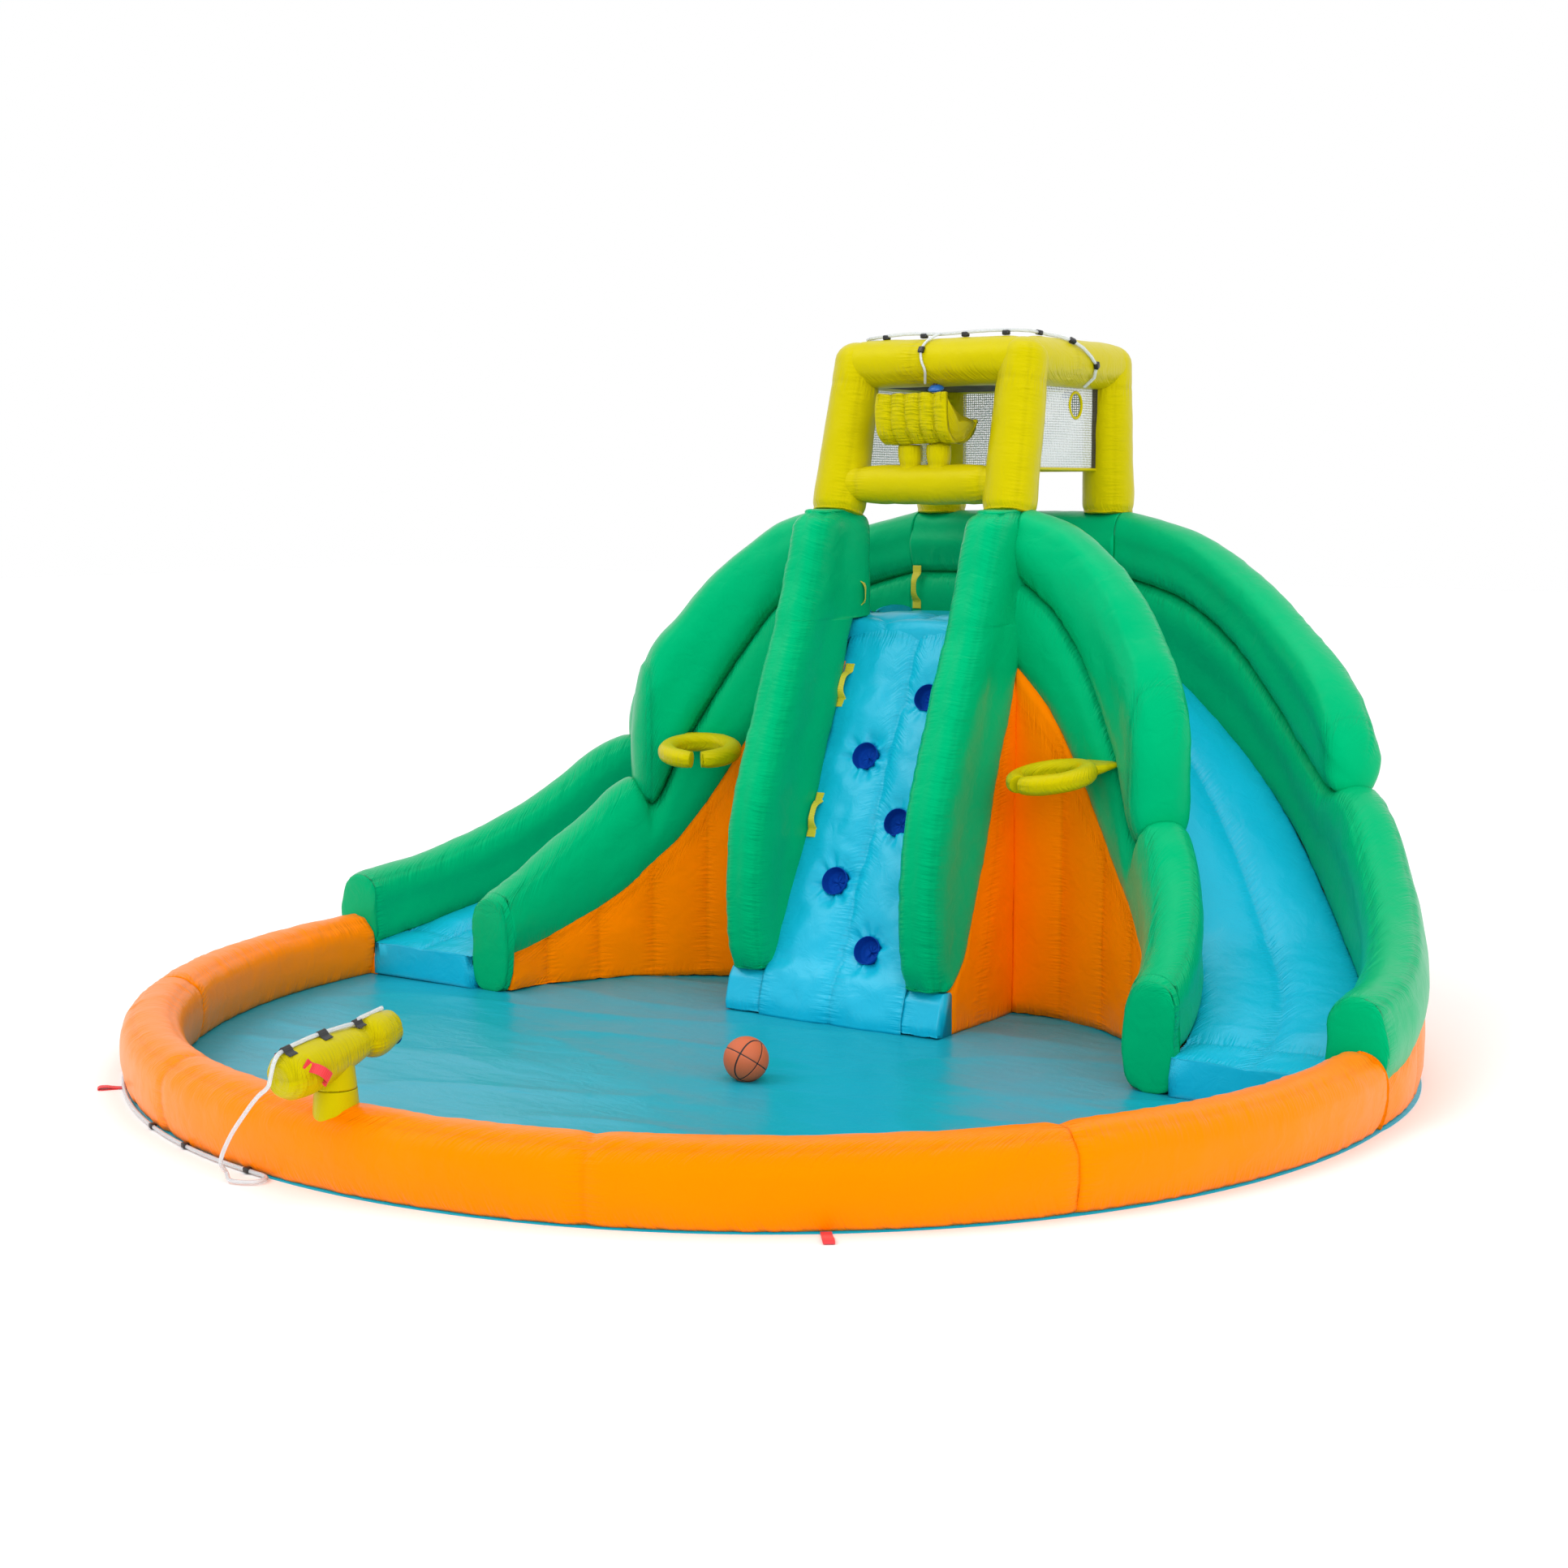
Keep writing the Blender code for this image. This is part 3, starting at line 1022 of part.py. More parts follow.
def build_hoses():
    """Clear hoses: along the ring's foot and up the tower, along the cannon, and the free stretch."""
    foot = RING_R + RING_WIDTH / 2 * RING_FOOT_SHARE + HOSE_R + HOSE_STAND_OFF
    low = SHEET_T + HOSE_R + GAP
    route = []
    for a in np.linspace(HOSE_CLIP_DEG, 86, 22):
        t = math.radians(a)
        route.append((-foot * math.sin(t), -foot * math.cos(t) - RING_SETBACK, low))
    for a in np.linspace(4, 90, 15):
        r = radius_out(a, 3) + HOSE_R + HOSE_STAND_OFF
        route.append(on_arc(-1, a, r, low))
    back = SLIDE_Y + radius_out(90, 3) + HOSE_R + HOSE_STAND_OFF + TUBE_BULGE
    px, py = REAR_POST_HEAD
    over = HOSE_R + HOSE_CLEAR
    route += [(-px - HOSE_BEND * 0.5, back, low + HOSE_BEND * 0.06),
              (-px - HOSE_BEND * 0.12, back, low + HOSE_BEND * 0.45),
              (-px, back, low + HOSE_BEND * 1.3), (-px, back, WALL_TOP * 0.35), (-px, back, WALL_TOP * 0.7),
              (-px, back, WALL_TOP * 0.97), (-px, py + POST_R + over * 2, WALL_TOP + POST_R),
              (-px, py + POST_TOP_R + over * 2, RING_TUBE_Z - RING_TUBE_R * 1.4)]
    reach = RING_TUBE_R + over
    for a in (-8, 15, 40, 65, 90):
        t = math.radians(a)
        route.append((-px, py + reach * math.cos(t), RING_TUBE_Z + reach * math.sin(t)))
    top = RING_TUBE_Z + reach
    fx, fy = FRONT_POST_HEAD
    span = fx - RING_TUBE_R
    route += [(-px, (py + fy) / 2, top), (-fx, fy + RING_TUBE_R, top),
              (-fx + RING_CORNER_R * 0.5, fy + RING_CORNER_R * 0.5, top), (-span, fy, top + HOSE_WAVE * 0.3),
              (-span * 0.5, fy, top + HOSE_WAVE), (SPRINKLER_X, fy, top + HOSE_WAVE * 0.5),
              (span * 0.4, fy, top + HOSE_WAVE * 0.8), (span * 0.8, fy, top + HOSE_WAVE),
              (fx - RING_CORNER_R * 0.3, fy + RING_CORNER_R, top + HOSE_WAVE * 0.8)]
    for k, a in enumerate((85, 60, 35, 10, -15, -40, -62)):
        t = math.radians(a)
        wide = reach + HOSE_WAVE * 0.5 * math.sin(math.pi * k / 6)
        y = fy + (SPRINKLER_SIDE_Y - fy) * min(1.0, 0.45 + 0.14 * k)
        route.append((fx + wide * math.cos(t), y, RING_TUBE_Z + wide * math.sin(t)))
    tube("feed_hose", bend_route(route, HOSE_STEP_DEG), HOSE_R, "hose", 1)

    front, _ = sprinkler_places()
    thin = HOSE_R * HOSE_THIN_SHARE
    reach = RING_TUBE_R + thin + GAP * 3
    tee = fy - HOSE_R - GAP * 2
    drop = [(SPRINKLER_X, tee, top + HOSE_WAVE * 0.5), (SPRINKLER_X, tee - thin * 2, top + HOSE_WAVE * 0.4)]
    for a in np.linspace(30, 105, 8):
        t = math.radians(a)
        drop.append((SPRINKLER_X - HOSE_BEND * 0.55 * math.sin(math.pi * a / 125),
                     fy - reach * math.sin(t), RING_TUBE_Z + reach * math.cos(t)))
    drop.append((front[0] - SPRINKLER_HALF * 0.8, front[1] - SPRINKLER_HALF * 0.9,
                 front[2] + SPRINKLER_H * 0.9))
    tube("sprinkler_hose", smooth_route(drop, 24), thin, "hose", 1)

    _, rear, axis = cannon_frame()
    up = Vector((0, 0, 1))
    lift = HOSE_R + GAP * 2
    line = []
    square = (up - axis * axis.dot(up)).normalized()
    for s in (0.93, 0.84, 0.76, 0.73, 0.68, 0.60, 0.52, 0.45, 0.37, 0.30, 0.22, 0.14, 0.09, 0.04):
        r = CANNON_BULB_R * max(float(np.interp(s + side, [p for p, _ in BARREL_SHARES[1:-1]],
                                                [q for _, q in BARREL_SHARES[1:-1]]))
                                for side in (-0.02, 0.0, 0.02))
        line.append(tuple(rear + axis * CANNON_LENGTH * s + square * (r + lift)))
    turn = rear - axis * lift * 1.5 + square * CANNON_BULB_R * 0.60
    away = (square * -2.0 - axis).normalized()
    end = turn + away * HOSE_R * 4
    line += [tuple(turn), tuple(turn + away * HOSE_R * 2), tuple(end)]
    tube("cannon_hose", smooth_route(line, 30), HOSE_R, "hose", 1)

    t = math.radians(HOSE_CLIP_DEG)
    last = Vector((-foot * math.sin(t), -foot * math.cos(t) - RING_SETBACK, low))
    back_along = Vector((math.cos(t), -math.sin(t), 0))
    start = end + away * GAP * 2
    free = [start, start + away * 0.010, start + away * 0.020, start + Vector((-0.020, -0.020, -0.060)),
            start + Vector((-0.080, -0.006, -0.120)), start + Vector((-0.155, 0.012, -0.200)),
            start + Vector((-0.222, 0.030, -0.262)), last + Vector((-0.045, -0.052, 0.012)),
            last + Vector((-0.026, -0.074, 0)), last + Vector((0.008, -0.070, 0)),
            last + Vector((0.034, -0.042, 0)), last + Vector((0.034, -0.016, 0)),
            last + back_along * 0.020, last + back_along * GAP * 3]
    tube("free_hose", smooth_route(free, 60), HOSE_R, "hose", 2)


def air_chamber(name, x, y, z):
    """Hollows a piece out to its skin, with an opening in its underside at a place."""
    obj = collection(PARTS).objects[name]
    bpy.context.view_layer.update()
    boolean(obj, grown(obj, "air_" + name, -SKIN_T))
    hole = cone("hole_" + name, (x, y, z - SKIN_T * 2), (x, y, z + SKIN_T * 3), AIR_HOLE_R, AIR_HOLE_R,
                "green", 4)
    boolean(obj, cutter(hole, hole.name))


def build_air_chambers():
    """The largest chambers are skins round air, each open below to the one that feeds it."""
    back = SLIDE_Y + (radius_out(90, 2) + radius_out(90, 3)) / 2
    air_chamber("deck_block", 0, (DECK_FRONT + DECK_BACK) / 2, FLOOR)
    air_chamber("climb_block", 0, DECK_FRONT / 2, FLOOR)
    air_chamber("back_panel", 0, back, FLOOR)
    air_chamber("back_low", SLIDE_X / 4, back, OUT_PANEL_SHARES[0][1] * WALL_TOP)
    air_chamber("ring_front", 0, -RING_SETBACK - RING_R, FLOOR)
    for side, hand in ((-1, "left"), (1, "right")):
        turn = math.radians((RING_SEAM_DEG[1] + 90) / 2)
        air_chamber("ring_" + hand, side * RING_R * math.sin(turn),
                    -RING_SETBACK - RING_R * math.cos(turn), FLOOR)
        air_chamber("climb_panel_" + hand, side * (LANE_HALF + SLIDE_X) / 2, DECK_FRONT / 2, FLOOR)
        for name, line in (("inner_panel_", 0), ("slide_bed_", 1), ("outer_panel_", 2)):
            radius = (radius_out(45, line) + radius_out(45, line + 1)) / 2
            air_chamber(name + hand, *on_arc(side, 45, radius, FLOOR))


def put_origin():
    """Moves everything so that the origin is the middle of the footprint, on the ground."""
    bpy.context.view_layer.update()
    graph = bpy.context.evaluated_depsgraph_get()
    low, high = Vector((1e9,) * 3), Vector((-1e9,) * 3)
    for obj in collection(PARTS).objects:
        if obj.name == "free_hose":
            continue
        made = obj.evaluated_get(graph)
        for vert in made.to_mesh().vertices:
            p = obj.matrix_world @ vert.co
            low = Vector(map(min, low, p))
            high = Vector(map(max, high, p))
        made.to_mesh_clear()
    shift = Vector(((low.x + high.x) / 2, (low.y + high.y) / 2, low.z))
    for obj in list(collection(PARTS).objects) + list(collection(CUTTERS).objects):
        obj.location -= shift
    bpy.context.view_layer.update()
    print("footprint centre", tuple(round(v, 5) for v in shift))


def main():
    for obj in list(bpy.data.objects):
        bpy.data.objects.remove(obj)
    collection(PARTS)
    collection(CUTTERS)

    build_sheet()
    _, ring_front, _ = build_ring()
    block = build_climb_block()
    build_deck()
    walls = {}
    for side, hand in ((-1, "left"), (1, "right")):
        walls["climb_wall_" + hand] = build_climb_side(side, "climb_wall_" + hand)
        build_climb_panel(side, "climb_panel_" + hand)
        build_bed("slide_bed_" + hand, side)
        for row, inner in (("inner", True), ("outer", False)):
            build_panel("%s_panel_%s" % (row, hand), side, inner)
            for level, upper in (("low", False), ("high", True)):
                name = "%s_%s_%s" % (row, level, hand)
                walls[name] = build_wall_tube(name, side, inner, upper)
    _, walls["back_high"], _ = build_back()
    build_sleeve()

    ring, posts, _ = build_tower(walls)
    roof = build_nets(posts, ring)[-1]
    build_bucket()
    build_sprinklers(ring, roof)
    build_cannon(ring_front)
    build_handles(block, walls["climb_wall_left"])
    for side, hand in ((-1, "left"), (1, "right")):
        build_hoop(side, "hoop_" + hand, walls["inner_low_" + hand], walls["inner_high_" + hand])
    build_hoses()
    build_anchors()
    build_ball()
    build_air_chambers()
    put_origin()


main()
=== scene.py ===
"""Finish of an inflatable water slide: sewn nylon skins, nets, hoses, straps and the studio.

Metres, +Z up, the pool in front (-Y). Every skin is laid over the solid that it stands for.
"""
import math

import bmesh
import bpy
import numpy as np
from mathutils import Matrix, Vector, noise

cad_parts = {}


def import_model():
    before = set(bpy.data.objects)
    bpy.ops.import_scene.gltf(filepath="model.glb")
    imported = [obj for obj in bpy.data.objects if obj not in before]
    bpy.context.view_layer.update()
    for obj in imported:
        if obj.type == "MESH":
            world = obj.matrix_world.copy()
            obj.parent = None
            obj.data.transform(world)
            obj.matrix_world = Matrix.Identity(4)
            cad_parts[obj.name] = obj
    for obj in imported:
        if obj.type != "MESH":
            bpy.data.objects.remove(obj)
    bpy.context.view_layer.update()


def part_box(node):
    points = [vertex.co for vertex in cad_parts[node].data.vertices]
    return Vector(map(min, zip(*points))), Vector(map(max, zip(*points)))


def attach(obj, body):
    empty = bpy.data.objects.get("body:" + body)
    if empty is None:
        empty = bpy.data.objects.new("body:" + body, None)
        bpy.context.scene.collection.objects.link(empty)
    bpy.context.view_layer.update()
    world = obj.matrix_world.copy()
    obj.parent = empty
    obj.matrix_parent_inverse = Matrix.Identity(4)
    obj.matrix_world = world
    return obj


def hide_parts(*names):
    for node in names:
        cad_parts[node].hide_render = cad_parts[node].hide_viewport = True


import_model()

bl_info = {
    "name": "Inflatable water slide",
    "version": (1, 0, 0),
    "blender": (4, 5, 0),
    "location": "View3D > Sidebar > Water slide",
    "description": "Builds the finished skins of an inflatable water slide round its frame",
    "category": "Object",
}

# General
GAP = 0.0003                 # between pieces that touch
SHEET_T = 0.003              # base sheet
FLOOR = SHEET_T + GAP        # height that everything stands at
SEAM_LAP = 0.030             # how far one cloth runs in behind the next
STEP = 0.009                 # from one row of a skin to the next
TUBE_STEP = 0.008            # the same along the tower's tubes
STITCH_REACH = 0.010         # how far a seam's own groove runs
CURVE_FINE = 8               # points read between two points of an outline
TUBE_POINTS = 84             # points round a wall tube
BOX_RIM = 0.018              # rounding, swell and channels of a sewn block
BOX_BULGE = 0.010
BOX_CHANNELS = 3

# Pool ring, from the middle of the climbing wall's foot
RING_R = 2.035
RING_WIDTH = 0.20
RING_HEIGHT = 0.21
RING_SETBACK = 0.384
RING_FOOT_SHARE = 0.79
RING_TOP_SHARE = 0.62
RING_SEAM_DEG = (21.7, 56.7)
RING_PINCH = 0.005
SHEET_HEM = 0.012
SHEET_STEP = 0.022           # from one line of the base sheet's grid to the next

# Climbing wall
LANE_HALF = 0.283
FOOT_HEIGHT = 0.155
FOOT_DEPTH = 0.055
FOOT_OUT = 0.006
FOOT_SPREAD = 0.046          # how far the foot's cloth runs out over the pool floor
DECK_HEIGHT = 1.40
LANE_TOP = 1.345
DECK_FRONT = 0.545
DECK_BACK = 1.22
LANE_BULGE = 0.018
LANE_CROWN_SHARES = (0.5, 1.0, 0.4)
HOLD_R = 0.050
HOLD_X = 0.10
HOLD_FIRST_Z = 0.264
HOLD_PITCH = 0.2155
HOLD_COUNT = 5
WALL_TOP = 1.80
WALL_BACK = 0.655
WALL_RIM = 0.045
CLIMB_WALL_SHARES = (
    (0.0830, -0.055, 0.085), (0.140, -0.110, 0.200), (0.250, -0.135, 0.315),
    (0.333, -0.115, 0.400), (0.417, -0.070, 0.470), (0.528, 0.045, 0.570),
    (0.594, 0.120, 0.650), (0.694, 0.235, 0.745), (0.762, 0.320, 0.810),
    (0.800, 0.355, 1.000), (0.861, 0.420, 1.000), (0.944, 0.495, 1.000),
    (0.980, 0.540, 0.985), (1.000, 0.610, 0.930))

# Curved slides
SLIDE_X = 0.445
SLIDE_Y = -0.30
EXIT_WIDTHS = (0.830, 0.170, 0.486, 0.184)    # radius of the inner wall, then each width outwards
TOWER_WIDTHS = (0.770, 0.190, 0.560, 0.200)
LANE_CROWN = 0.014
TUBE_BULGE = 0.016
TUBE_CORNER_SHARE = 0.24
TUBE_CREST_SHARE = 0.42
END_INSET = 0.010
NOSE_RISE = 0.075            # rounding of an upper tube's end
PANEL_INSET = 0.006
RIB_BULGE = 0.016
RIB_DEG = 15.0               # from one rib seam to the next
IN_STOP_DEG = 40.0
OUT_STOP_DEG = 45.0
PANEL_STOP_DEG = 2.5
LANE_SHARES = ((90, .778), (85, .716), (80, .662), (70, .556), (60, .439), (52, .339), (45, .258),
               (38, .194), (30, .156), (20, .122), (10, .092), (0, .072))
IN_PANEL_SHARES = ((90, .678), (80, .600), (70, .483), (60, .367), (52, .286), (45, .235),
                   (38, .183), (30, .144), (20, .106), (10, .078), (0, .061))
IN_MID_SHARES = ((90, .861), (80, .800), (70, .706), (60, .583), (52, .472), (46, .378), (45, .372),
                 (42.5, .410), (40, .428), (35, .405), (30, .364), (20, .300), (10, .239), (0, .197))
IN_CREST_SHARES = ((90, 1.0), (80, .975), (70, .922), (60, .850), (52, .772), (45, .694),
                   (42.5, .620), (40, .470))
OUT_PANEL_SHARES = ((90, .678), (80, .611), (70, .517), (60, .417), (52, .333), (45, .278),
                    (38, .217), (30, .172), (20, .133), (10, .100), (0, .072))
OUT_MID_SHARES = ((90, .861), (80, .817), (70, .728), (60, .600), (52, .506), (47.5, .470),
                  (45, .480), (42.5, .470), (40, .450), (35, .392), (30, .341), (20, .272),
                  (10, .233), (0, .217))
OUT_CREST_SHARES = ((90, .994), (80, .956), (70, .878), (60, .775), (52, .690), (47.5, .615),
                    (45, .530))

# Tower
POST_R = 0.100
POST_TOP_R = 0.088
POST_SINK = 0.045
FRONT_POST_FOOT = (0.362, 0.563)
FRONT_POST_HEAD = (0.351, 0.683)
REAR_POST_FOOT = (0.368, 1.320)
REAR_POST_HEAD = (0.360, 1.320)
RING_TUBE_R = 0.0875
RING_TUBE_Z = 2.330
RING_CORNER_R = 0.046
RING_CORNER_SHARE = 0.50
BAR_R = 0.0725
BAR_Z = 1.888
STAND_R = 0.047
STAND_X = 0.060
STAND_TOP_Z = 2.032
NET_BOTTOM = 1.945
NET_STEP = 0.012             # from one line of a net's grid to the next
BORDER_WIDTH = 0.05
BORDER_LIFT = 0.0022         # the border's mesh stands this far off the net
PIPING_R = 0.006
ROOF_NET_SHARE = 0.92        # drop of the roof mesh below the top ring's middle
NET_HOLE_R = 0.045
BUCKET_HALF = 0.148
BUCKET_DEPTH = 0.247
BUCKET_HEIGHT = 0.184
BUCKET_WALL = 0.020
BUCKET_AXIS_SET = 0.003
BUCKET_SHARES = ((-0.235, 1.0), (-0.235, 0.70), (-0.215, 0.42), (-0.130, 0.13), (0.012, 0.0),
                 (0.385, 0.0), (0.500, 0.065), (0.630, 0.20), (0.765, 0.43))
BUCKET_CHANNELS = 5
BUCKET_QUILT = 0.007         # swell of the quilting between two channels

# Hoses, cannon and small pieces
HOSE_R = 0.006
SPRINKLER_HALF = 0.034
SPRINKLER_H = 0.018
SPRINKLER_X = 0.005
SPRINKLER_LEAN_DEG = 20.0
SPRINKLER_SIDE_Y = 1.060
HOSE_STAND_OFF = 0.0080
HOSE_CLIP_DEG = 6.6
HOSE_THIN_SHARE = 0.80
HOSE_CLEAR = 0.002
HOSE_BEND = 0.060
HOSE_WAVE = 0.012
CLIP_SIZE = (0.026, 0.022, 0.018)
CLIP_ROUND = 0.005
TOP_CLIPS_X = (-0.228, -0.066, 0.108, 0.276)
SIDE_CLIPS = ((0.80, 80.0), (0.95, 45.0), (1.03, -5.0))           # depth, and angle round the tube
FOOT_CLIPS_DEG = (HOSE_CLIP_DEG + 1.2, 17.0, 24.0, 45.0, 66.0, 84.0)
CANNON_PITCH_DEG = 9.0
CANNON_BULB_R = 0.068
CANNON_LENGTH = 0.435
CANNON_BACK = 0.212
CANNON_AXIS_Z = 0.365
STUMP_OUTSET = 0.016
STUMP_SINK = 0.040
STUMP_R = 0.070
STUMP_TOP_R = 0.058
NECK_TOP_R = 0.050
STUMP_JOINT_Z = 0.272
BARREL_SHARES = ((0.0, 0.0), (0.0, 0.62), (0.05, 0.90), (0.14, 1.0), (0.30, 0.99), (0.45, 0.90),
                 (0.66, 0.74), (0.72, 0.72), (0.75, 0.83), (0.93, 0.82), (1.0, 0.68), (1.0, 0.0))
NOZZLE_R = 0.020
NOZZLE_LENGTH = 0.030
HOOP_AT_DEG = 59.6
HOOP_REACH = 0.583
HOOP_TILT_DEG = 10.0
HOOP_Z = 0.904
HOOP_MAJOR = 0.120
HOOP_TUBE_R = 0.038
HOOP_SLIT_DEG = 16.0
FLAP_WIDTH = 0.170
FLAP_HALF_T = (0.022, 0.010)                  # at the hoop, and at the wall
HANDLE_LOW_Z = 0.693
HANDLE_MID_Z = 0.915
HANDLE_HIGH_Z = 1.152
HANDLE_SIDE_Y = 0.580
HANDLE_LENGTH = 0.170
HANDLE_WIDTH = 0.028
HANDLE_T = 0.003
HANDLE_RISE = 0.026
TAB_SHARE = 0.18
CANNON_HANDLE_LENGTH = 0.105
CANNON_HANDLE_AT = 0.085
CANNON_HANDLE_BEND = 0.012   # how far its tabs follow the barrel's curve
CANNON_LOOP_WIDTH = 0.030
BALL_R = 0.0725
BALL_PLACE = (0.242, -0.879)
BALL_CHANNEL_WIDTH = 0.0022
BALL_CHANNEL_DEPTH = 0.0014
ANCHOR_DEG = 38.5
STRAP_WIDTH = 0.030
STRAP_T = 0.0022
STRAP_POINTS = 40
STRAP_LENGTH = 0.085
SLEEVE_R = 0.090
SLEEVE_LENGTH = 0.110
SLEEVE_Z = 0.200
SLEEVE_T = 0.003

# Camera
CAMERA_PLACE = (4.546, -6.33475, 1.848)
CAMERA_TURN_DEG = (83.116, 0.0, 34.59)
CAMERA_LENS_MM = 54.83
CAMERA_SENSOR_MM = 36.0

# the frame's origin lies this far behind the middle of the climbing wall's foot
SHIFT_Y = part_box("deck_block")[1][1] - DECK_BACK + GAP


# Settings
def linear(code):
    """Linear RGBA of an sRGB hex colour."""
    values = [int(code[k:k + 2], 16) / 255 for k in (0, 2, 4)]
    return (*(v / 12.92 if v <= 0.04045 else ((v + 0.055) / 1.055) ** 2.4 for v in values), 1.0)


def colour(name, code, description):
    """A colour property with its default."""
    return bpy.props.FloatVectorProperty(name=name, description=description, size=4, min=0, max=1,
                                         subtype="COLOR", default=linear(code))


def length(name, default, description):
    """A length property with its default."""
    return bpy.props.FloatProperty(name=name, description=description, default=default, min=0,
                                   unit="LENGTH", subtype="DISTANCE")


class WaterSlideColours(bpy.types.PropertyGroup):
    """Colours of the fabrics and fittings."""
    green: colour("Walls", "00A66A", "Nylon of the slide walls")
    blue: colour("Lanes", "0CB0D2", "Nylon of the lanes and the climbing wall")
    orange: colour("Ring and panels", "FF8200", "Nylon of the pool ring and the side panels")
    yellow: colour("Tower", "BCB005", "Nylon of the tower, hoops and cannon")
    navy: colour("Footholds", "0B3F9E", "Nylon of the foothold pockets")
    sheet: colour("Pool floor", "149CB2", "Laminated sheet under everything")
    net: colour("Nets", "D6D9DB", "Knitted safety nets")
    roof: colour("Roof mesh", "2E2A1C", "Shade mesh over the tower")
    strap: colour("Handles", "CDC022", "Webbing of the handles")
    red: colour("Red webbing", "DE2A33", "Webbing of the anchors and the cannon's handles")
    black: colour("Clips", "1B1C1E", "Moulded clips and stitched patches")
    plastic: colour("Sprinklers", "1F63B4", "Moulded sprinkler heads")
    ball: colour("Ball", "C5623B", "Rubber skin of the ball")


class WaterSlideSizes(bpy.types.PropertyGroup):
    """Sizes of the sewn surface."""
    pucker: length("Pucker depth", 0.0060, "How deep the cloth is drawn in at a seam")
    reach: length("Pucker reach", 0.036, "How far a pucker runs from its seam")
    spacing: length("Pucker spacing", 0.026, "From one pucker to the next along a seam")
    sag: length("Slackness", 0.0045, "Height of the soft unevenness of a panel")
    fold: length("Floor folds", 0.0075, "Height of the folds in the pool floor")


# Outlines and skins
HANDS = ((-1, "left"), (1, "right"))
UP = np.array((0.0, 0.0, 1.0))
# roughness of each cloth's coating, and the slot that it goes by
CLOTHS = {"green": (0.33, "green_vinyl"), "blue": (0.31, "blue_vinyl"), "orange": (0.34, "orange_vinyl"),
          "yellow": (0.34, "yellow_vinyl"), "navy": (0.42, "blue_vinyl")}
NET = ("net", 0.009, 0.28, "net_mesh")           # colour, pitch, threads' share, slot
ROOF = ("roof", 0.006, 0.80, "roof_mesh")
# rows that close a tube's end, as shares of its section and of its rise: a full nose where the rise is
# above that lift, else a rounded edge
NOSE_LIFT = 0.03
NOSE_SHARES = tuple((math.cos(math.radians(a)), math.sin(math.radians(a)))
                    for a in (14, 28, 42, 55, 66, 76, 84, 89.5))
DOME_SHARES = ((0.990, 0.30), (0.965, 0.58), (0.92, 0.78), (0.84, 0.90), (0.66, 0.97), (0.40, 1.0),
               (0.12, 1.0), (0.01, 1.0))


def unit(v):
    """Vectors made one long."""
    return v / (np.linalg.norm(v, axis=-1, keepdims=True) + 1e-12)


def round_angles(count):
    """Even angles round a circle."""
    return np.linspace(0, 2 * math.pi, count, endpoint=False)


def run_length(line):
    """How far along a line each of its points lies."""
    return np.concatenate([[0.0], np.cumsum(np.linalg.norm(np.diff(line, axis=0), axis=1))])


def resample(line, count, closed):
    """Evenly spaced points on a line of straight runs, and how far along its own points lie."""
    far = run_length(line)
    at = np.linspace(0, far[-1], count, endpoint=not closed)
    return np.stack([np.interp(at, far, line[:, k]) for k in range(line.shape[1])], axis=1), far


def smooth_at(table, x):
    """A value read from a table of places and values on a smooth curve that never overshoots."""
    rows = sorted(table)
    xs, ys = np.array([r[0] for r in rows], float), np.array([r[1] for r in rows], float)
    h, slope = np.diff(xs), np.diff(ys) / np.diff(xs)
    lean = np.zeros(len(xs))
    same = slope[:-1] * slope[1:] > 0
    w1, w2 = 2 * h[1:] + h[:-1], h[1:] + 2 * h[:-1]
    lean[1:-1][same] = ((w1 + w2)[same] / (w1[same] / slope[:-1][same] + w2[same] / slope[1:][same]))
    lean[0], lean[-1] = slope[0], slope[-1]
    k = np.clip(np.searchsorted(xs, x) - 1, 0, len(h) - 1)
    t = (np.clip(x, xs[0], xs[-1]) - xs[k]) / h[k]
    return ((2 * t**3 - 3 * t**2 + 1) * ys[k] + (t**3 - 2 * t**2 + t) * h[k] * lean[k]
            + (3 * t**2 - 2 * t**3) * ys[k + 1] + (t**3 - t**2) * h[k] * lean[k + 1])


def spaced(points, count, closed=True):
    """Evenly spaced points on a smooth curve through an outline's points.

    The second result is how far round each of the outline's own points lies, as a share.
    """
    own = np.array(points, float)
    if closed:
        before, after = np.roll(own, 1, 0), np.roll(own, -1, 0)
    else:
        before = np.vstack([2 * own[:1] - own[1:2], own[:-1]])
        after = np.vstack([own[1:], 2 * own[-1:] - own[-2:-1]])
    back = np.linalg.norm(own - before, axis=1)[:, None] + 1e-9
    on = np.linalg.norm(after - own, axis=1)[:, None] + 1e-9
    slope = ((own - before) / back * on + (after - own) / on * back) / (back + on)
    t = np.linspace(0, 1, CURVE_FINE, endpoint=False)[None, :, None]
    a, b, size = own[:, None], after[:, None], on[:, None]
    line = (a * (2 * t**3 - 3 * t**2 + 1) + slope[:, None] * size * (t**3 - 2 * t**2 + t)
            + b * (3 * t**2 - 2 * t**3) + np.roll(slope, -1, 0)[:, None] * size * (t**3 - t**2))
    line = line.reshape(-1, own.shape[1])
    line = np.vstack([line, own[:1]] if closed else [line[:-CURVE_FINE], own[-1:]])
    made, far = resample(line, count, closed)
    return made, (far / far[-1])[::CURVE_FINE]


def even(points, count):
    """Evenly spaced points on an outline's straight sides."""
    return resample(np.array([*points, points[0]], float), count, True)[0]


def ripple(at, seed):
    """Smooth uneven values from 0 to 1, about one new value for each unit."""
    values = np.random.default_rng(seed).random(997)
    low = np.floor(at).astype(int)
    part = at - low
    part = part * part * (3 - 2 * part)
    return values[low % 997] * (1 - part) + values[(low + 1) % 997] * part


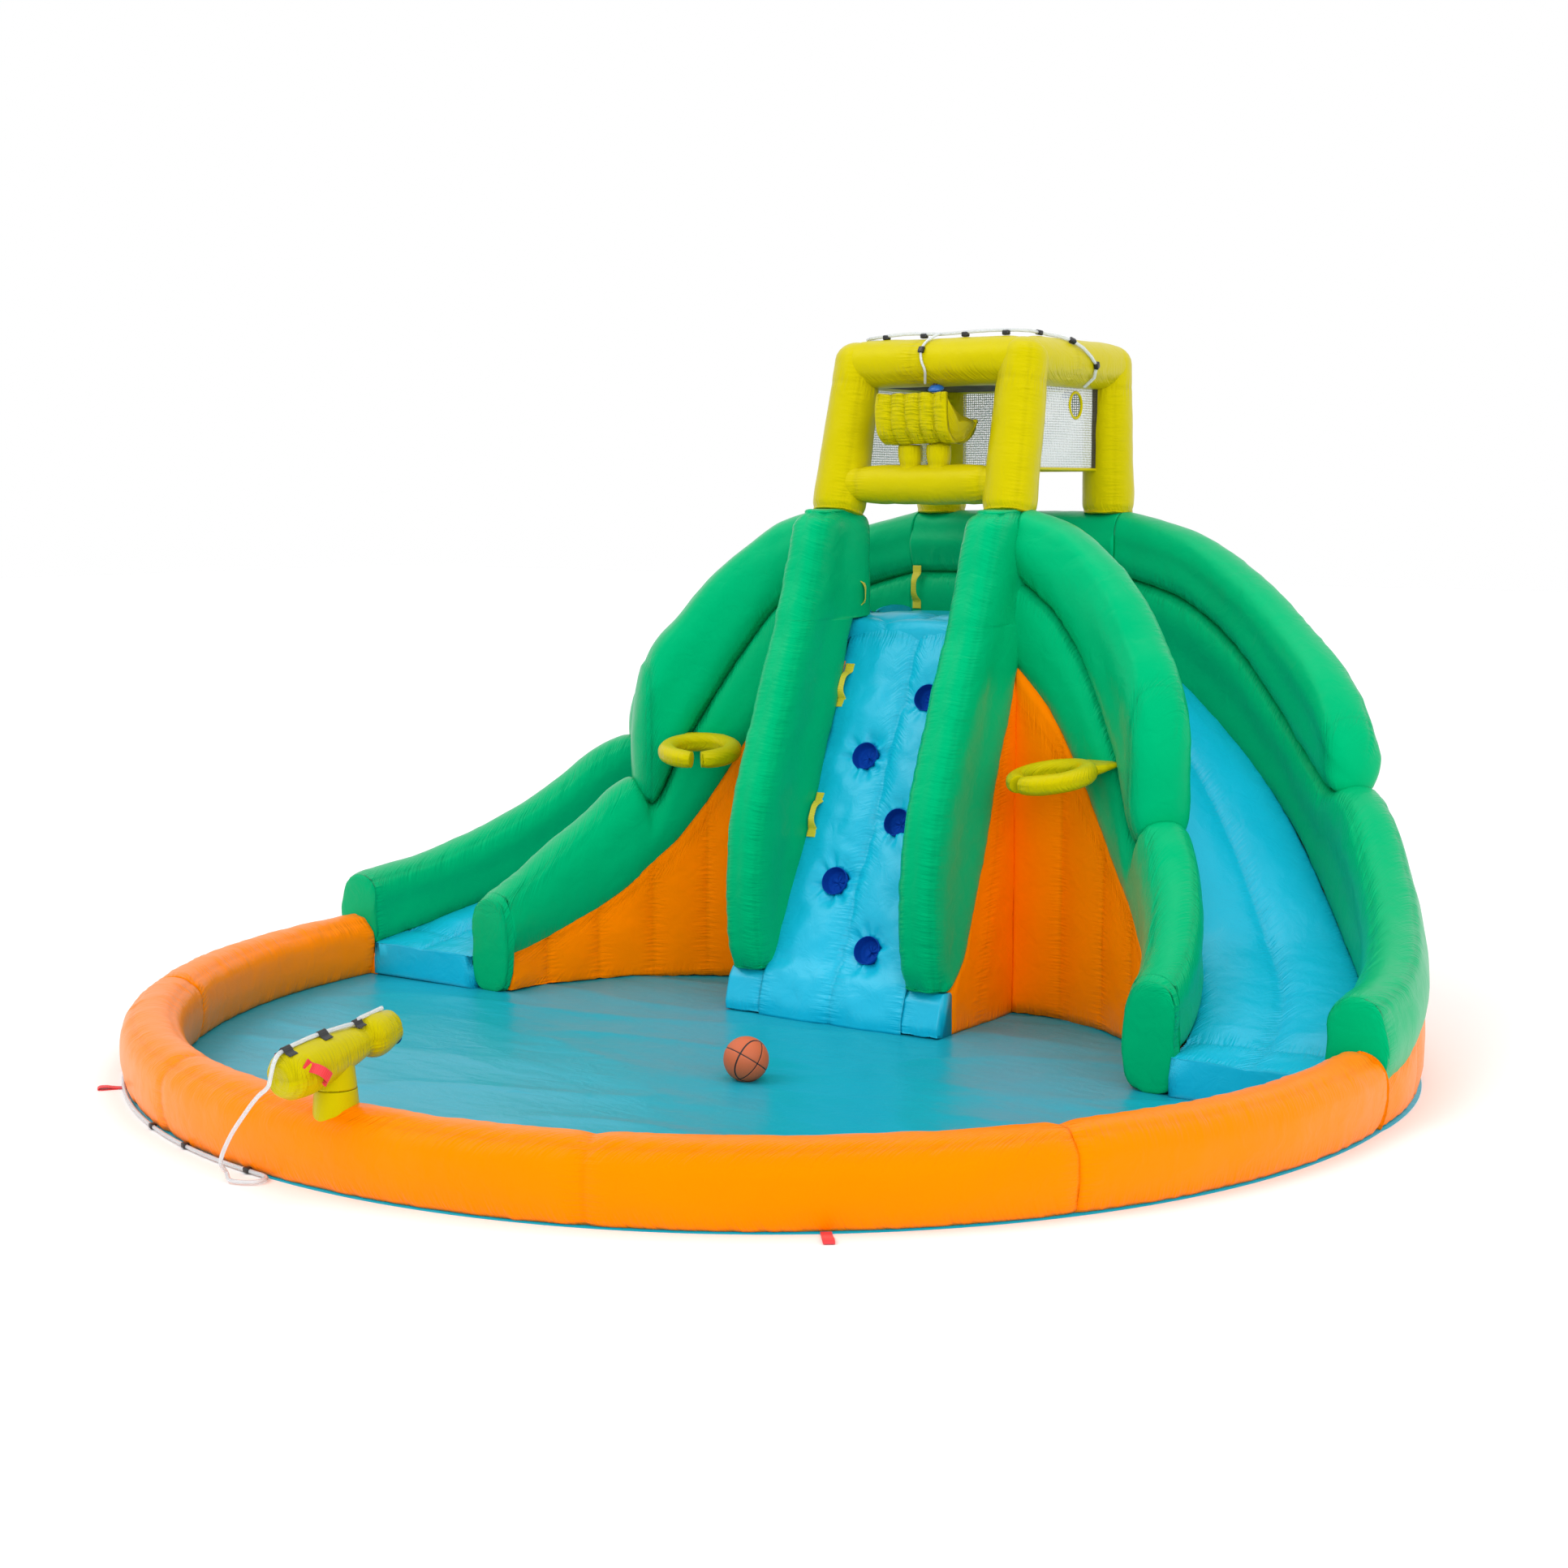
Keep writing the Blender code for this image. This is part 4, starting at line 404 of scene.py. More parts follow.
def unevenness(points, size, seed=0):
    """Soft unevenness of about one swell in that size, from -1 to 1."""
    flat = points.reshape(-1, 3) / size + seed * 7.31
    return np.array([noise.noise(Vector(p)) for p in flat]).reshape(points.shape[:-1])


def skin(rows, seams=(), cross=(), wrap=True, loop=False, seed=1, up=None, soft=1.0, ends=(0, 0)):
    """Rows of points as sewn cloth: drawn in and puckered at its seams, slack between them.

    A seam along the rows is (share of the way round, depth), one across is (row, depth), with the
    depth a share of a pucker's. The ends are how many rows close each end, where the seams run out.
    """
    sizes = bpy.context.scene.water_slide_sizes
    rows = np.asarray(rows, float)
    after = np.roll(rows, -1, 1)
    chord = np.linalg.norm(after - rows, axis=2)
    if not wrap:
        chord[:, -1] = 0.0
    total = chord.sum(1)[:, None]
    around = np.cumsum(chord, axis=1) - chord
    along = np.vstack([np.zeros(rows.shape[1]),
                       np.cumsum(np.linalg.norm(np.diff(rows, axis=0), axis=2), axis=0)])
    run = np.gradient(rows, axis=0)
    if loop:
        run[0] = run[-1] = (rows[1] - rows[-2]) / 2
    side = (after - np.roll(rows, 1, 1)) if wrap else np.gradient(rows, axis=1)
    normal = unit(np.cross(run, side))
    toward = rows - rows.mean(1, keepdims=True) if wrap else np.array(up, float)
    if (normal * toward).sum() < 0:
        normal = -normal
    lines = []
    for k, (place, depth) in enumerate(seams):
        gap = np.abs(around / (total + 1e-12) - np.asarray(place, float).reshape(-1, 1))
        gap = (np.minimum(gap, 1 - gap) if wrap else gap) * total
        lines.append((0, depth, gap, along / sizes.spacing + 13.7 * k, seed * 31 + k))
    for k, (row, depth) in enumerate(cross):
        gap = np.abs(along - along[row])
        if loop:
            gap = np.minimum(gap, along[-1] - gap)
        lines.append((1, depth, gap, around / sizes.spacing + 5.1 * k, seed * 57 + k))
    dent, near = np.zeros(rows.shape[:2]), np.zeros((2, *rows.shape[:2]))
    for kind, depth, gap, at, draw in lines:
        weight = np.exp(-(gap / sizes.reach) ** 2) * (0.15 + 0.85 * ripple(at, draw))
        dent += depth * sizes.pucker * (weight + 0.5 * np.exp(-(gap / STITCH_REACH) ** 2))
        near[kind] = np.maximum(near[kind], np.exp(-(gap / (sizes.reach * 1.3)) ** 2))
    fade = np.ones((len(rows), 1))
    closing = np.clip((np.array([share for share, _ in DOME_SHARES]) - 0.80) / 0.16, 0, 1)[:, None]
    if ends[0]:
        fade[:ends[0]] = closing[::-1]
    if ends[1]:
        fade[-ends[1]:] = closing
    slack = (unevenness(rows, 0.16, seed) * 0.7 + unevenness(rows, 0.06, seed + 3) * 0.3) * sizes.sag
    rows = rows + normal * (slack * soft - dent * fade)[..., None]
    rows[..., 2] = np.maximum(rows[..., 2], FLOOR)
    marks = [rows, np.dstack([along, around]), *(near * fade)]
    if wrap:
        marks = [np.concatenate([m, m[:, :1]], axis=1) for m in marks]
        marks[1][:, -1, 1] = total[:, 0]
    if loop:
        marks[0][-1] = marks[0][0]
    return marks


def mesh_of(bm, name, mesh=None):
    """A smooth mesh with its faces outwards, from the bmesh that it uses up."""
    mesh = mesh or bpy.data.meshes.new(name)
    bmesh.ops.recalc_face_normals(bm, faces=bm.faces)
    bm.to_mesh(mesh)
    bm.free()
    mesh.shade_smooth()
    return mesh


def bmesh_of(mesh):
    """A bmesh with a mesh's faces."""
    bm = bmesh.new()
    bm.from_mesh(mesh)
    return bm


def cloth_mesh(name, marks, caps=True):
    """A mesh from a grid whose points are moved to the rows of a skin, closed at its ends."""
    rows, uv, near, near_cross = marks
    bm = bmesh.new()
    bmesh.ops.create_grid(bm, x_segments=rows.shape[1] - 1, y_segments=rows.shape[0] - 1, size=1)
    mesh = bpy.data.meshes.new(name)
    bm.to_mesh(mesh)
    bm.free()
    mesh.vertices.foreach_set("co", rows.reshape(-1))
    index = np.zeros(len(mesh.loops), int)
    mesh.loops.foreach_get("vertex_index", index)
    layer = mesh.uv_layers.new(name="UVMap")
    layer.data.foreach_set("uv", uv.reshape(-1, 2)[index].reshape(-1))
    for key, values in (("seam", near), ("cross", near_cross)):
        mesh.attributes.new(key, "FLOAT", "POINT").data.foreach_set("value", values.reshape(-1))
    bm = bmesh_of(mesh)
    bmesh.ops.remove_doubles(bm, verts=[v for v in bm.verts if v.is_boundary], dist=1e-5)
    if caps:
        bmesh.ops.holes_fill(bm, edges=[e for e in bm.edges if e.is_boundary], sides=0)
    return mesh_of(bm, name, mesh)


def domed(rows, lifts, sink):
    """Adds the rows that close a tube's ends with a rounded edge, or a full nose where the rise is large."""
    parts = [rows]
    for lift, k, before in ((lifts[0], 0, 1), (lifts[1], -1, -2)):
        if not lift:
            continue
        ring = rows[k]
        centre = ring.mean(0)
        out = unit(centre - rows[before].mean(0)) * lift
        extra = np.array([centre + (ring - centre) * share + (out - UP * sink * rise) * rise
                          for share, rise in (NOSE_SHARES if lift > NOSE_LIFT else DOME_SHARES)])
        parts = [extra[::-1], *parts] if k == 0 else [*parts, extra]
    return np.concatenate(parts)


def stretched(places, first, last):
    """Seam places of a tube's rows, kept the same over the rows that close its ends."""
    places = np.asarray(places, float)
    return np.pad(places, (first, last), "edge") if places.ndim else places


def place_piece(name, mesh, finish, slot, node="", body="root", thick=0.0, offset=-1):
    """Puts a finished mesh in the scene, on its body and in the place of its node."""
    obj = bpy.data.objects.new(name, mesh)
    bpy.context.scene.collection.objects.link(obj)
    mesh.materials.append(finish)
    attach(obj, body)
    if node:
        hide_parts(node)
    if thick:
        wall = obj.modifiers.new("thickness", "SOLIDIFY")
        wall.thickness, wall.offset = thick, offset
    return obj


def sewn(name, rows, cloth, node="", body="root", caps=True, lifts=(0, 0), seams=(), cross=(), sink=0.0,
         satin=None, crumple=1.0, thick=0.0, **options):
    """A sewn skin as a piece, its ends closed with a rise of their own."""
    first, last = (len(DOME_SHARES) if lift else 0 for lift in lifts)
    marks = skin(domed(np.asarray(rows, float), lifts, sink),
                 [(stretched(place, first, last), depth) for place, depth in seams],
                 [(row + first, depth) for row, depth in cross], ends=(first, last), **options)
    usual, slot = CLOTHS[cloth]
    return place_piece(name, cloth_mesh(name, marks, caps), coated_nylon(cloth, satin or usual, crumple),
                       slot, node, body, thick)


def tube_rows(points, radii, sides=40):
    """Rows of a round tube along a route, turned as little as possible."""
    points = np.asarray(points, float)
    radii = np.broadcast_to(np.asarray(radii, float), len(points))
    run = unit(np.gradient(points, axis=0))
    side = np.cross(run[0], (0, 0, 1) if abs(run[0][2]) < 0.9 else (1, 0, 0))
    rows = []
    for p, d, r in zip(points, run, radii):
        side = unit(side - d * side.dot(d))
        rows.append(circle(p, r, side, np.cross(d, side), sides))
    return np.array(rows)


def circle(centre, radius, across, other, sides, flat=1.0):
    """Points round a centre, in the plane of two directions."""
    a = round_angles(sides)
    return centre + radius * (np.outer(np.cos(a), across) + np.outer(np.sin(a) * flat, other))


def straight(a, b, step=STEP):
    """Points from one place to another."""
    a, b = np.array(a, float), np.array(b, float)
    count = max(3, int(math.ceil(np.linalg.norm(b - a) / step)) + 1)
    return a + (b - a) * np.linspace(0, 1, count)[:, None]


def share_round(rows, column):
    """How far round its row a column lies, as a share for each row."""
    chord = np.linalg.norm(np.roll(rows, -1, 1) - rows, axis=2)
    return chord[:, :column].sum(1) / chord.sum(1)


def world(x, y, z):
    """A place given from the climbing wall's foot, in the frame."""
    return np.array((x, y + SHIFT_Y, z), float)


# Materials
def tint_of(key):
    """A colour of the settings."""
    return tuple(getattr(bpy.context.scene.water_slide_colours, key))


def wire(tree, node, links):
    """Links a node's inputs to outputs, or to the first output of other nodes."""
    for key, source in links.items():
        tree.links.new(getattr(source, "outputs", [source])[0], node.inputs[key])


def add(tree, kind, settings=None, links=None):
    """Adds a node, sets its options and inputs, and links its inputs."""
    made = tree.nodes.new("ShaderNode" + kind)
    for key, value in (settings or {}).items():
        if isinstance(key, str) and key[0].islower():
            setattr(made, key, value)
        else:
            made.inputs[key].default_value = value
    wire(tree, made, links or {})
    return made


def new_finish(name, settings):
    """A material with its shader's own values set, its tree, its shader and its coordinates."""
    mat = bpy.data.materials.new(name)
    mat.use_nodes = True
    tree = mat.node_tree
    shader = tree.nodes["Principled BSDF"]
    for key, value in settings.items():
        shader.inputs[key].default_value = value
    return mat, tree, shader, add(tree, "TexCoord").outputs


def made_once(maker):
    """Keeps one material for each set of words that the maker is called with."""
    kept = {}

    def get(*words):
        if words not in kept:
            kept[words] = maker(*words)
        return kept[words]
    return get


@made_once
def coated_nylon(key, satin, crumple):
    """Polyurethane-coated nylon, calendered: soft broad highlights and puckers along the seams."""
    tint = tint_of(key)
    # the shine comes through the dyed threads, so it takes their colour; least so on the blue
    level, pale = (0.60, 0.45) if key == "blue" else (0.38, 0.0)
    mat, tree, shader, where = new_finish("coated nylon " + key, {
        "Specular IOR Level": level, "IOR": 1.50,
        "Specular Tint": (*(v + (1 - v) * pale for v in tint[:3]), 1.0)})
    masks = [add(tree, "Attribute", {"attribute_name": name}).outputs["Fac"] for name in ("seam", "cross")]
    heights = []
    # puckers 11 mm apart and 90 mm long, square to the seam that draws them
    for mask, scale in zip(masks, ((91.0, 11.0, 1.0), (11.0, 91.0, 1.0))):
        turned = add(tree, "Mapping", {"Scale": scale}, {"Vector": where["UV"]})
        folds = add(tree, "TexNoise", {"Scale": 1.0, "Detail": 2.0, "Roughness": 0.45}, {"Vector": turned})
        heights.append(add(tree, "Math", {"operation": "MULTIPLY"}, {0: folds, 1: mask}))
    # slack creases about 60 mm across, and sharper ones about 150 mm long
    for kind, scale, share in (("FBM", 15.0, 0.55), ("RIDGED_MULTIFRACTAL", 5.5, 0.22)):
        creases = add(tree, "TexNoise", {"noise_type": kind, "Scale": scale, "Detail": 3.0, "Roughness": 0.5,
                                         "Distortion": 0.8}, {"Vector": where["Object"]})
        heights.append(add(tree, "Math", {"operation": "MULTIPLY", 1: share}, {0: creases}))
    height = heights[0]
    for other in heights[1:]:
        height = add(tree, "Math", {"operation": "ADD"}, {0: height, 1: other})
    bump = add(tree, "Bump", {"Strength": 0.85, "Distance": 0.0065 * crumple}, {"Height": height})
    # the weave is 0.4 mm on the real cloth; it is drawn 5 mm wide so that it shows at all
    thread = add(tree, "TexChecker", {"Scale": 200.0}, {"Vector": where["UV"]})
    weave = add(tree, "Bump", {"Strength": 0.05, "Distance": 0.0006},
                {"Height": thread.outputs["Fac"], "Normal": bump})
    # uneven dye, and painted shade in the seam's crease, drawn darker as a stitch line
    patches = add(tree, "TexNoise", {"Scale": 3.0, "Detail": 3.0}, {"Vector": where["Object"]})
    uneven = add(tree, "MapRange", {"To Min": 0.94, "To Max": 1.06}, {"Value": patches})
    base = add(tree, "HueSaturation", {"Color": tint}, {"Value": uneven})
    deep = add(tree, "Math", {"operation": "MAXIMUM"}, {0: masks[0], 1: masks[1]})
    # painted shade: the cloth is darkened along each seam where its crease would lie in shadow, standing
    # also for the stitch line
    crease_shade_and_stitch = add(tree, "MapRange", {"From Min": 0.93, "From Max": 1.0, "To Min": 0.0, "To Max": 0.12},
                 {"Value": deep})
    shade = add(tree, "Mix", {"data_type": "RGBA", 7: (*(v * 0.45 for v in tint[:3]), 1.0)},
                {0: crease_shade_and_stitch, 6: base})
    rough = add(tree, "MapRange", {"To Min": satin - 0.05, "To Max": satin + 0.07}, {"Value": patches})
    wire(tree, shader, {"Normal": weave, "Base Color": shade.outputs[2], "Roughness": rough})
    return mat


@made_once
def laminated_sheet(key):
    """Laminated vinyl sheet, calendered: a cool sheen over long soft folds."""
    mat, tree, shader, where = new_finish("laminated vinyl sheet", {
        "Specular IOR Level": 0.30, "IOR": 1.52, "Specular Tint": linear("6FE0F0")})
    patches = add(tree, "TexNoise", {"Scale": 1.6, "Detail": 4.0, "Distortion": 0.8},
                  {"Vector": where["Object"]})
    uneven = add(tree, "MapRange", {"To Min": 0.92, "To Max": 1.08}, {"Value": patches})
    base = add(tree, "HueSaturation", {"Color": tint_of(key)}, {"Value": uneven})
    rough = add(tree, "MapRange", {"To Min": 0.26, "To Max": 0.40}, {"Value": patches})
    # creases about 50 mm across, longer along the pool
    turned = add(tree, "Mapping", {"Scale": (9.0, 20.0, 9.0)}, {"Vector": where["Object"]})
    creases = add(tree, "TexNoise", {"Scale": 1.0, "Detail": 5.0, "Roughness": 0.5, "Distortion": 0.7},
                  {"Vector": turned})
    bump = add(tree, "Bump", {"Strength": 0.42, "Distance": 0.008}, {"Height": creases})
    wire(tree, shader, {"Base Color": base, "Roughness": rough, "Normal": bump})
    return mat


@made_once
def knitted_mesh(key, pitch, solid):
    """Warp-knitted polyester mesh: a veil of threads that shows what is behind it."""
    mat, tree, shader, where = new_finish("knitted mesh " + key, {"Base Color": tint_of(key),
                                                                  "Roughness": 0.75})
    # the real holes are about 1.5 mm; they are drawn as wide as the pitch here so that they show
    turned = add(tree, "Mapping", {"Scale": (1 / pitch, 1 / pitch, 1.0)}, {"Vector": where["UV"]})
    holes = add(tree, "TexVoronoi", {"Scale": 1.0, "Randomness": 0.15}, {"Vector": turned})
    veil = add(tree, "MapRange", {"From Min": 0.30, "From Max": 0.42, "To Min": solid, "To Max": 1.0},
               {"Value": holes})
    wire(tree, shader, {"Alpha": veil})
    return mat


@made_once
def webbing(key):
    """Woven polyester webbing: matt ribs across its width and a raised edge."""
    mat, tree, shader, where = new_finish("woven webbing " + key, {"Roughness": 0.6, "Sheen Weight": 0.15})
    # ribs 3 mm apart, twice the real pitch so that they show
    ribs = add(tree, "TexWave", {"Scale": 52.0, "bands_direction": "X"}, {"Vector": where["UV"]})
    bump = add(tree, "Bump", {"Strength": 0.35, "Distance": 0.001}, {"Height": ribs.outputs["Fac"]})
    # painted shade: the colour follows the ribs' height, darker in the grooves between them
    uneven = add(tree, "MapRange", {"To Min": 0.85, "To Max": 1.05}, {"Value": ribs.outputs["Fac"]})
    base = add(tree, "HueSaturation", {"Color": tint_of(key)}, {"Value": uneven})
    wire(tree, shader, {"Normal": bump, "Base Color": base})
    return mat


@made_once
def moulded_plastic(key, code=""):
    """Injection-moulded ABS: an even gloss with the faintest orange peel."""
    mat, tree, shader, where = new_finish("moulded plastic " + key, {
        "Base Color": linear(code) if code else tint_of(key), "IOR": 1.46})
    peel = add(tree, "TexNoise", {"Scale": 260.0, "Detail": 2.0}, {"Vector": where["Object"]})
    rough = add(tree, "MapRange", {"To Min": 0.25, "To Max": 0.38}, {"Value": peel})
    bump = add(tree, "Bump", {"Strength": 0.08, "Distance": 0.0005}, {"Height": peel})
    wire(tree, shader, {"Roughness": rough, "Normal": bump})
    return mat


@made_once
def clear_pvc():
    """Extruded flexible PVC: a clear wall with a milky core and bright edges."""
    mat, tree, shader, where = new_finish("clear flexible pvc", {
        "Base Color": linear("E4EAEE"), "Transmission Weight": 0.45, "IOR": 1.53})
    haze = add(tree, "TexNoise", {"Scale": 30.0, "Detail": 2.0}, {"Vector": where["Object"]})
    rough = add(tree, "MapRange", {"To Min": 0.12, "To Max": 0.24}, {"Value": haze})
    wire(tree, shader, {"Roughness": rough})
    return mat


@made_once
def pebbled_rubber():
    """Moulded rubber with a fine pebble and black channels."""
    mat, tree, shader, where = new_finish("pebbled rubber", {"Specular IOR Level": 0.35})
    # pebbles 4 mm across, twice the real size so that they show
    pebble = add(tree, "TexVoronoi", {"Scale": 250.0}, {"Vector": where["Object"]})
    bump = add(tree, "Bump", {"Strength": 0.3, "Distance": 0.0008}, {"Height": pebble})
    channel = add(tree, "Attribute", {"attribute_name": "seam"}).outputs["Fac"]
    mask = add(tree, "MapRange", {"From Min": 0.45, "From Max": 0.60}, {"Value": channel})
    shade = add(tree, "Mix", {"data_type": "RGBA", 6: tint_of("ball"), 7: tint_of("black")}, {0: mask})
    rough = add(tree, "MapRange", {"To Min": 0.48, "To Max": 0.62}, {"Value": pebble})
    wire(tree, shader, {"Normal": bump, "Base Color": shade.outputs[2], "Roughness": rough})
    return mat


# Slide walls, panels and lanes
def radius_out(angle, line):
    """Radii across the slide: 0 and 1 the inner wall, 2 and 3 the outer wall."""
    return sum(e + (t - e) * angle / 90.0 for e, t in zip(EXIT_WIDTHS[:line + 1], TOWER_WIDTHS[:line + 1]))


def on_arc(side, angle, radius, z):
    """A place on the slide from its angle, radius and height."""
    a = math.radians(angle)
    return np.stack(np.broadcast_arrays(side * (SLIDE_X + np.asarray(radius) * math.cos(a)),
                                        SLIDE_Y + SHIFT_Y + np.asarray(radius) * math.sin(a), z), axis=-1)


def arc_angles(first, last, radius):
    """Angles of the rows along the slide, from the tower to the lane's end."""
    return np.linspace(first, last, int(math.ceil(math.radians(first - last) * radius / STEP)) + 1)


def tube_outline(r0, r1, z0, z1, free_in, free_out, crest):
    """Outline of a wall tube as (radius, height): rounded, with crowned free sides."""
    w, h = r1 - r0, z1 - z0
    c = TUBE_CORNER_SHARE * w
    t = c + (TUBE_CREST_SHARE * w - c) * crest
    cv, tv = min(c, h * 0.4), min(t, h * 0.45)
    mid = (z0 + z1) / 2
    return [(r0 + c, z0), (r1 - c, z0), (r1 - c * 0.3, z0 + cv * 0.3), (r1, z0 + cv),
            (r1 + TUBE_BULGE * free_out, mid), (r1, z1 - tv), (r1 - t * 0.3, z1 - tv * 0.3), (r1 - t, z1),
            (r0 + t, z1), (r0 + t * 0.3, z1 - tv * 0.3), (r0, z1 - tv), (r0 - TUBE_BULGE * free_in, mid),
            (r0, z0 + cv), (r0 + c * 0.3, z0 + cv * 0.3)]


def build_wall_tube(side, hand, inner, upper):
    """One tube of a slide wall, from the tower to the kink or to the lane's end."""
    shares = ((IN_PANEL_SHARES, IN_MID_SHARES, IN_CREST_SHARES) if inner
              else (OUT_PANEL_SHARES, OUT_MID_SHARES, OUT_CREST_SHARES))
    first, turn = (0, IN_STOP_DEG) if inner else (2, OUT_STOP_DEG)
    mean = radius_out(45, first)
    stop = (turn if upper else 0.0) + math.degrees((NOSE_RISE * 0.8 if upper else END_INSET) / mean)
    angles = arc_angles(90.0, stop, mean)
    if inner and not upper:
        split = np.searchsorted(-angles, -PANEL_STOP_DEG)
        angles = np.insert(angles, split, [PANEL_STOP_DEG + 0.05, PANEL_STOP_DEG - 0.05])
    rows, marks = [], []
    for angle in angles:
        z0 = smooth_at(shares[upper], angle) * WALL_TOP + GAP
        if inner and not upper and angle < PANEL_STOP_DEG:
            z0 = FLOOR
        if not inner and not upper:
            z0 = min(z0, smooth_at(LANE_SHARES, angle) * WALL_TOP - SEAM_LAP)
        z1 = smooth_at(shares[upper + 1], angle) * WALL_TOP - GAP
        crest = 1.0 if upper else min(max((turn + 2 - angle) / 5.0, 0.0), 1.0)
        section, own = spaced(tube_outline(radius_out(angle, first), radius_out(angle, first + 1), z0, z1,
                                           inner, upper or not inner, crest), TUBE_POINTS)
        rows.append(on_arc(side, angle, section[:, 0], section[:, 1]))
        marks.append(own)
    name = "%s_%s_%s" % ("inner" if inner else "outer", "high" if upper else "low", hand)
    sewn(name + "_skin", rows, "green", name, lifts=(0, NOSE_RISE if upper else END_INSET),
         seams=[(np.array(marks)[:, k], 1.0) for k in ((13, 2, 6) if upper else (13, 2, 6, 9))],
         cross=[(len(angles) - 1, 0.3 if upper else 0.8)], seed=3 + 2 * inner + upper + 5 * (side > 0),
         sink=SEAM_LAP if upper else 0.0)


def build_wall_panel(side, hand, inner):
    """The ribbed orange panel under a slide wall."""
    first = 0 if inner else 2
    angles = arc_angles(90.0, PANEL_STOP_DEG + 0.3 if inner else 0.0, radius_out(45, 0 if inner else 3))
    rows = []
    for angle in angles:
        rib = RIB_BULGE * abs(math.sin(math.pi * (90.0 - angle) / RIB_DEG)) ** 0.8
        top = smooth_at(IN_PANEL_SHARES if inner else OUT_PANEL_SHARES, angle) * WALL_TOP + SEAM_LAP
        r0, r1 = radius_out(angle, first), radius_out(angle, first + 1)
        z = np.linspace(FLOOR, top, 22)
        swell = rib * np.abs(np.sin(math.pi * (z - FLOOR) / (top - FLOOR))) ** 0.6
        face, back, out = ((r0 + PANEL_INSET, r1 - GAP, -1) if inner else (r1 - PANEL_INSET, r0 + GAP, 1))
        tuck = max(top - SEAM_LAP * 2.5, (top + FLOOR) / 2)
        rest = [(0.2, top - SEAM_LAP * 0.2), (0.5, tuck), (0.8, tuck), (1.0, tuck),
                (1.0, (tuck + FLOOR) / 2), (1.0, FLOOR), (0.5, FLOOR)]
        section = np.vstack([np.stack([face + out * swell, z], axis=1),
                             [(face + (back - face) * share, height) for share, height in rest]])
        rows.append(on_arc(side, angle, section[:, 0], section[:, 1]))
    name = "%s_panel_%s" % ("inner" if inner else "outer", hand)
    sewn(name + "_skin", rows, "orange", name,
         seams=[(0.0, 1.0), (share_round(np.array(rows), 21) * 0.9, 0.6)],
         cross=[(int(np.argmin(np.abs(angles - a))), 0.35) for a in np.arange(75, 1, -RIB_DEG)],
         seed=11 + inner + 3 * (side > 0), soft=1.3)


def build_lane(side, hand):
    """The blue lane: two soft channels with a centre seam and a flatter apron at its end."""
    angles = arc_angles(90.0, 0.0, radius_out(45, 1) + 0.25)
    t = np.linspace(0, 1, 44)
    rows = []
    for angle in angles:
        r0, r1 = radius_out(angle, 1) - SEAM_LAP / 2, radius_out(angle, 2) + SEAM_LAP / 2
        z = smooth_at(LANE_SHARES, angle) * WALL_TOP
        flat = min(max((angle - 6.0) / 6.0, 0.25), 1.0)
        top = z + LANE_CROWN * 1.6 * flat * np.abs(np.sin(2 * math.pi * t)) ** 0.65
        section = np.vstack([np.stack([r0 + (r1 - r0) * t, top], axis=1),
                             [(r1, z * 0.5), (r1, FLOOR), ((r0 + r1) / 2, FLOOR), (r0, FLOOR),
                              (r0, z * 0.5)]])
        rows.append(on_arc(side, angle, section[:, 0], section[:, 1]))
    rows = np.array(rows)
    sewn("slide_bed_%s_skin" % hand, rows, "blue", "slide_bed_" + hand,
         seams=[(share_round(rows, 22), 1.1), (0.0, 1.0), (share_round(rows, 43), 1.0)],
         cross=[(int(np.argmin(np.abs(angles - 7.0))), 0.7), (len(angles) - 1, 0.3)],
         seed=21 + (side > 0), soft=1.2, lifts=(0, 0.010))


def build_back():
    """The straight wall behind the deck: two tubes and the panel under them."""
    y0, y1 = SLIDE_Y + radius_out(90, 2), SLIDE_Y + radius_out(90, 3)
    foot, mid, crest = (table[0][1] * WALL_TOP for table in (OUT_PANEL_SHARES, OUT_MID_SHARES,
                                                             OUT_CREST_SHARES))
    line = straight((-SLIDE_X + GAP, 0, 0), (SLIDE_X - GAP, 0, 0))[:, 0]
    for name, z0, z1, free, lines in (("back_low", foot, mid, False, (13, 2, 6, 9)),
                                      ("back_high", mid, crest, True, (13, 2, 6))):
        section, own = spaced(tube_outline(y0 + GAP, y1, z0 + GAP, z1 - GAP, free, True, float(free)),
                              TUBE_POINTS)
        sewn(name + "_skin", [[world(x, y, z) for y, z in section] for x in line], "green", name,
             seams=[(own[k], 1.0) for k in lines], cross=[(len(line) // 2, 1.2)], seed=31)
    box_skin("back_panel", (y0 + GAP, y1 - PANEL_INSET), (FLOOR, foot - GAP), "orange")


def box_skin(name, depths, heights, cloth):
    """A sewn block across the slide with rounded edges and a few upright channels."""
    (y0, y1), (z0, z1), half = depths, heights, SLIDE_X - GAP
    outline = []
    for cy, cz, start, flat in ((y1 - BOX_RIM, z1 - BOX_RIM, 0, 1.0), (y0 + BOX_RIM, z1 - BOX_RIM, 90, 1.0),
                                (y0 + BOX_RIM, z0 + BOX_RIM * 0.3, 180, 0.3),
                                (y1 - BOX_RIM, z0 + BOX_RIM * 0.3, 270, 0.3)):
        outline += [(cy + BOX_RIM * math.cos(math.radians(start + a)),
                     cz + BOX_RIM * flat * math.sin(math.radians(start + a))) for a in (0, 30, 60, 90)]
    section = even(outline, 96)
    line = straight((-half, 0, 0), (half, 0, 0), 0.012)[:, 0]
    rows = []
    for x in line:
        phase = BOX_CHANNELS * (x + half) / (2 * half)
        swell = BOX_BULGE * abs(math.sin(math.pi * phase)) ** 0.6 - BOX_BULGE
        rows.append([world(x, y + swell * (y > (y0 + y1) / 2), z + swell * (z > z1 - BOX_RIM))
                     for y, z in section])
    sewn(name + "_skin", rows, cloth, name, seed=37, satin=0.34,
         cross=[(int(round(len(line) * k / BOX_CHANNELS)), 0.6) for k in range(1, BOX_CHANNELS)])


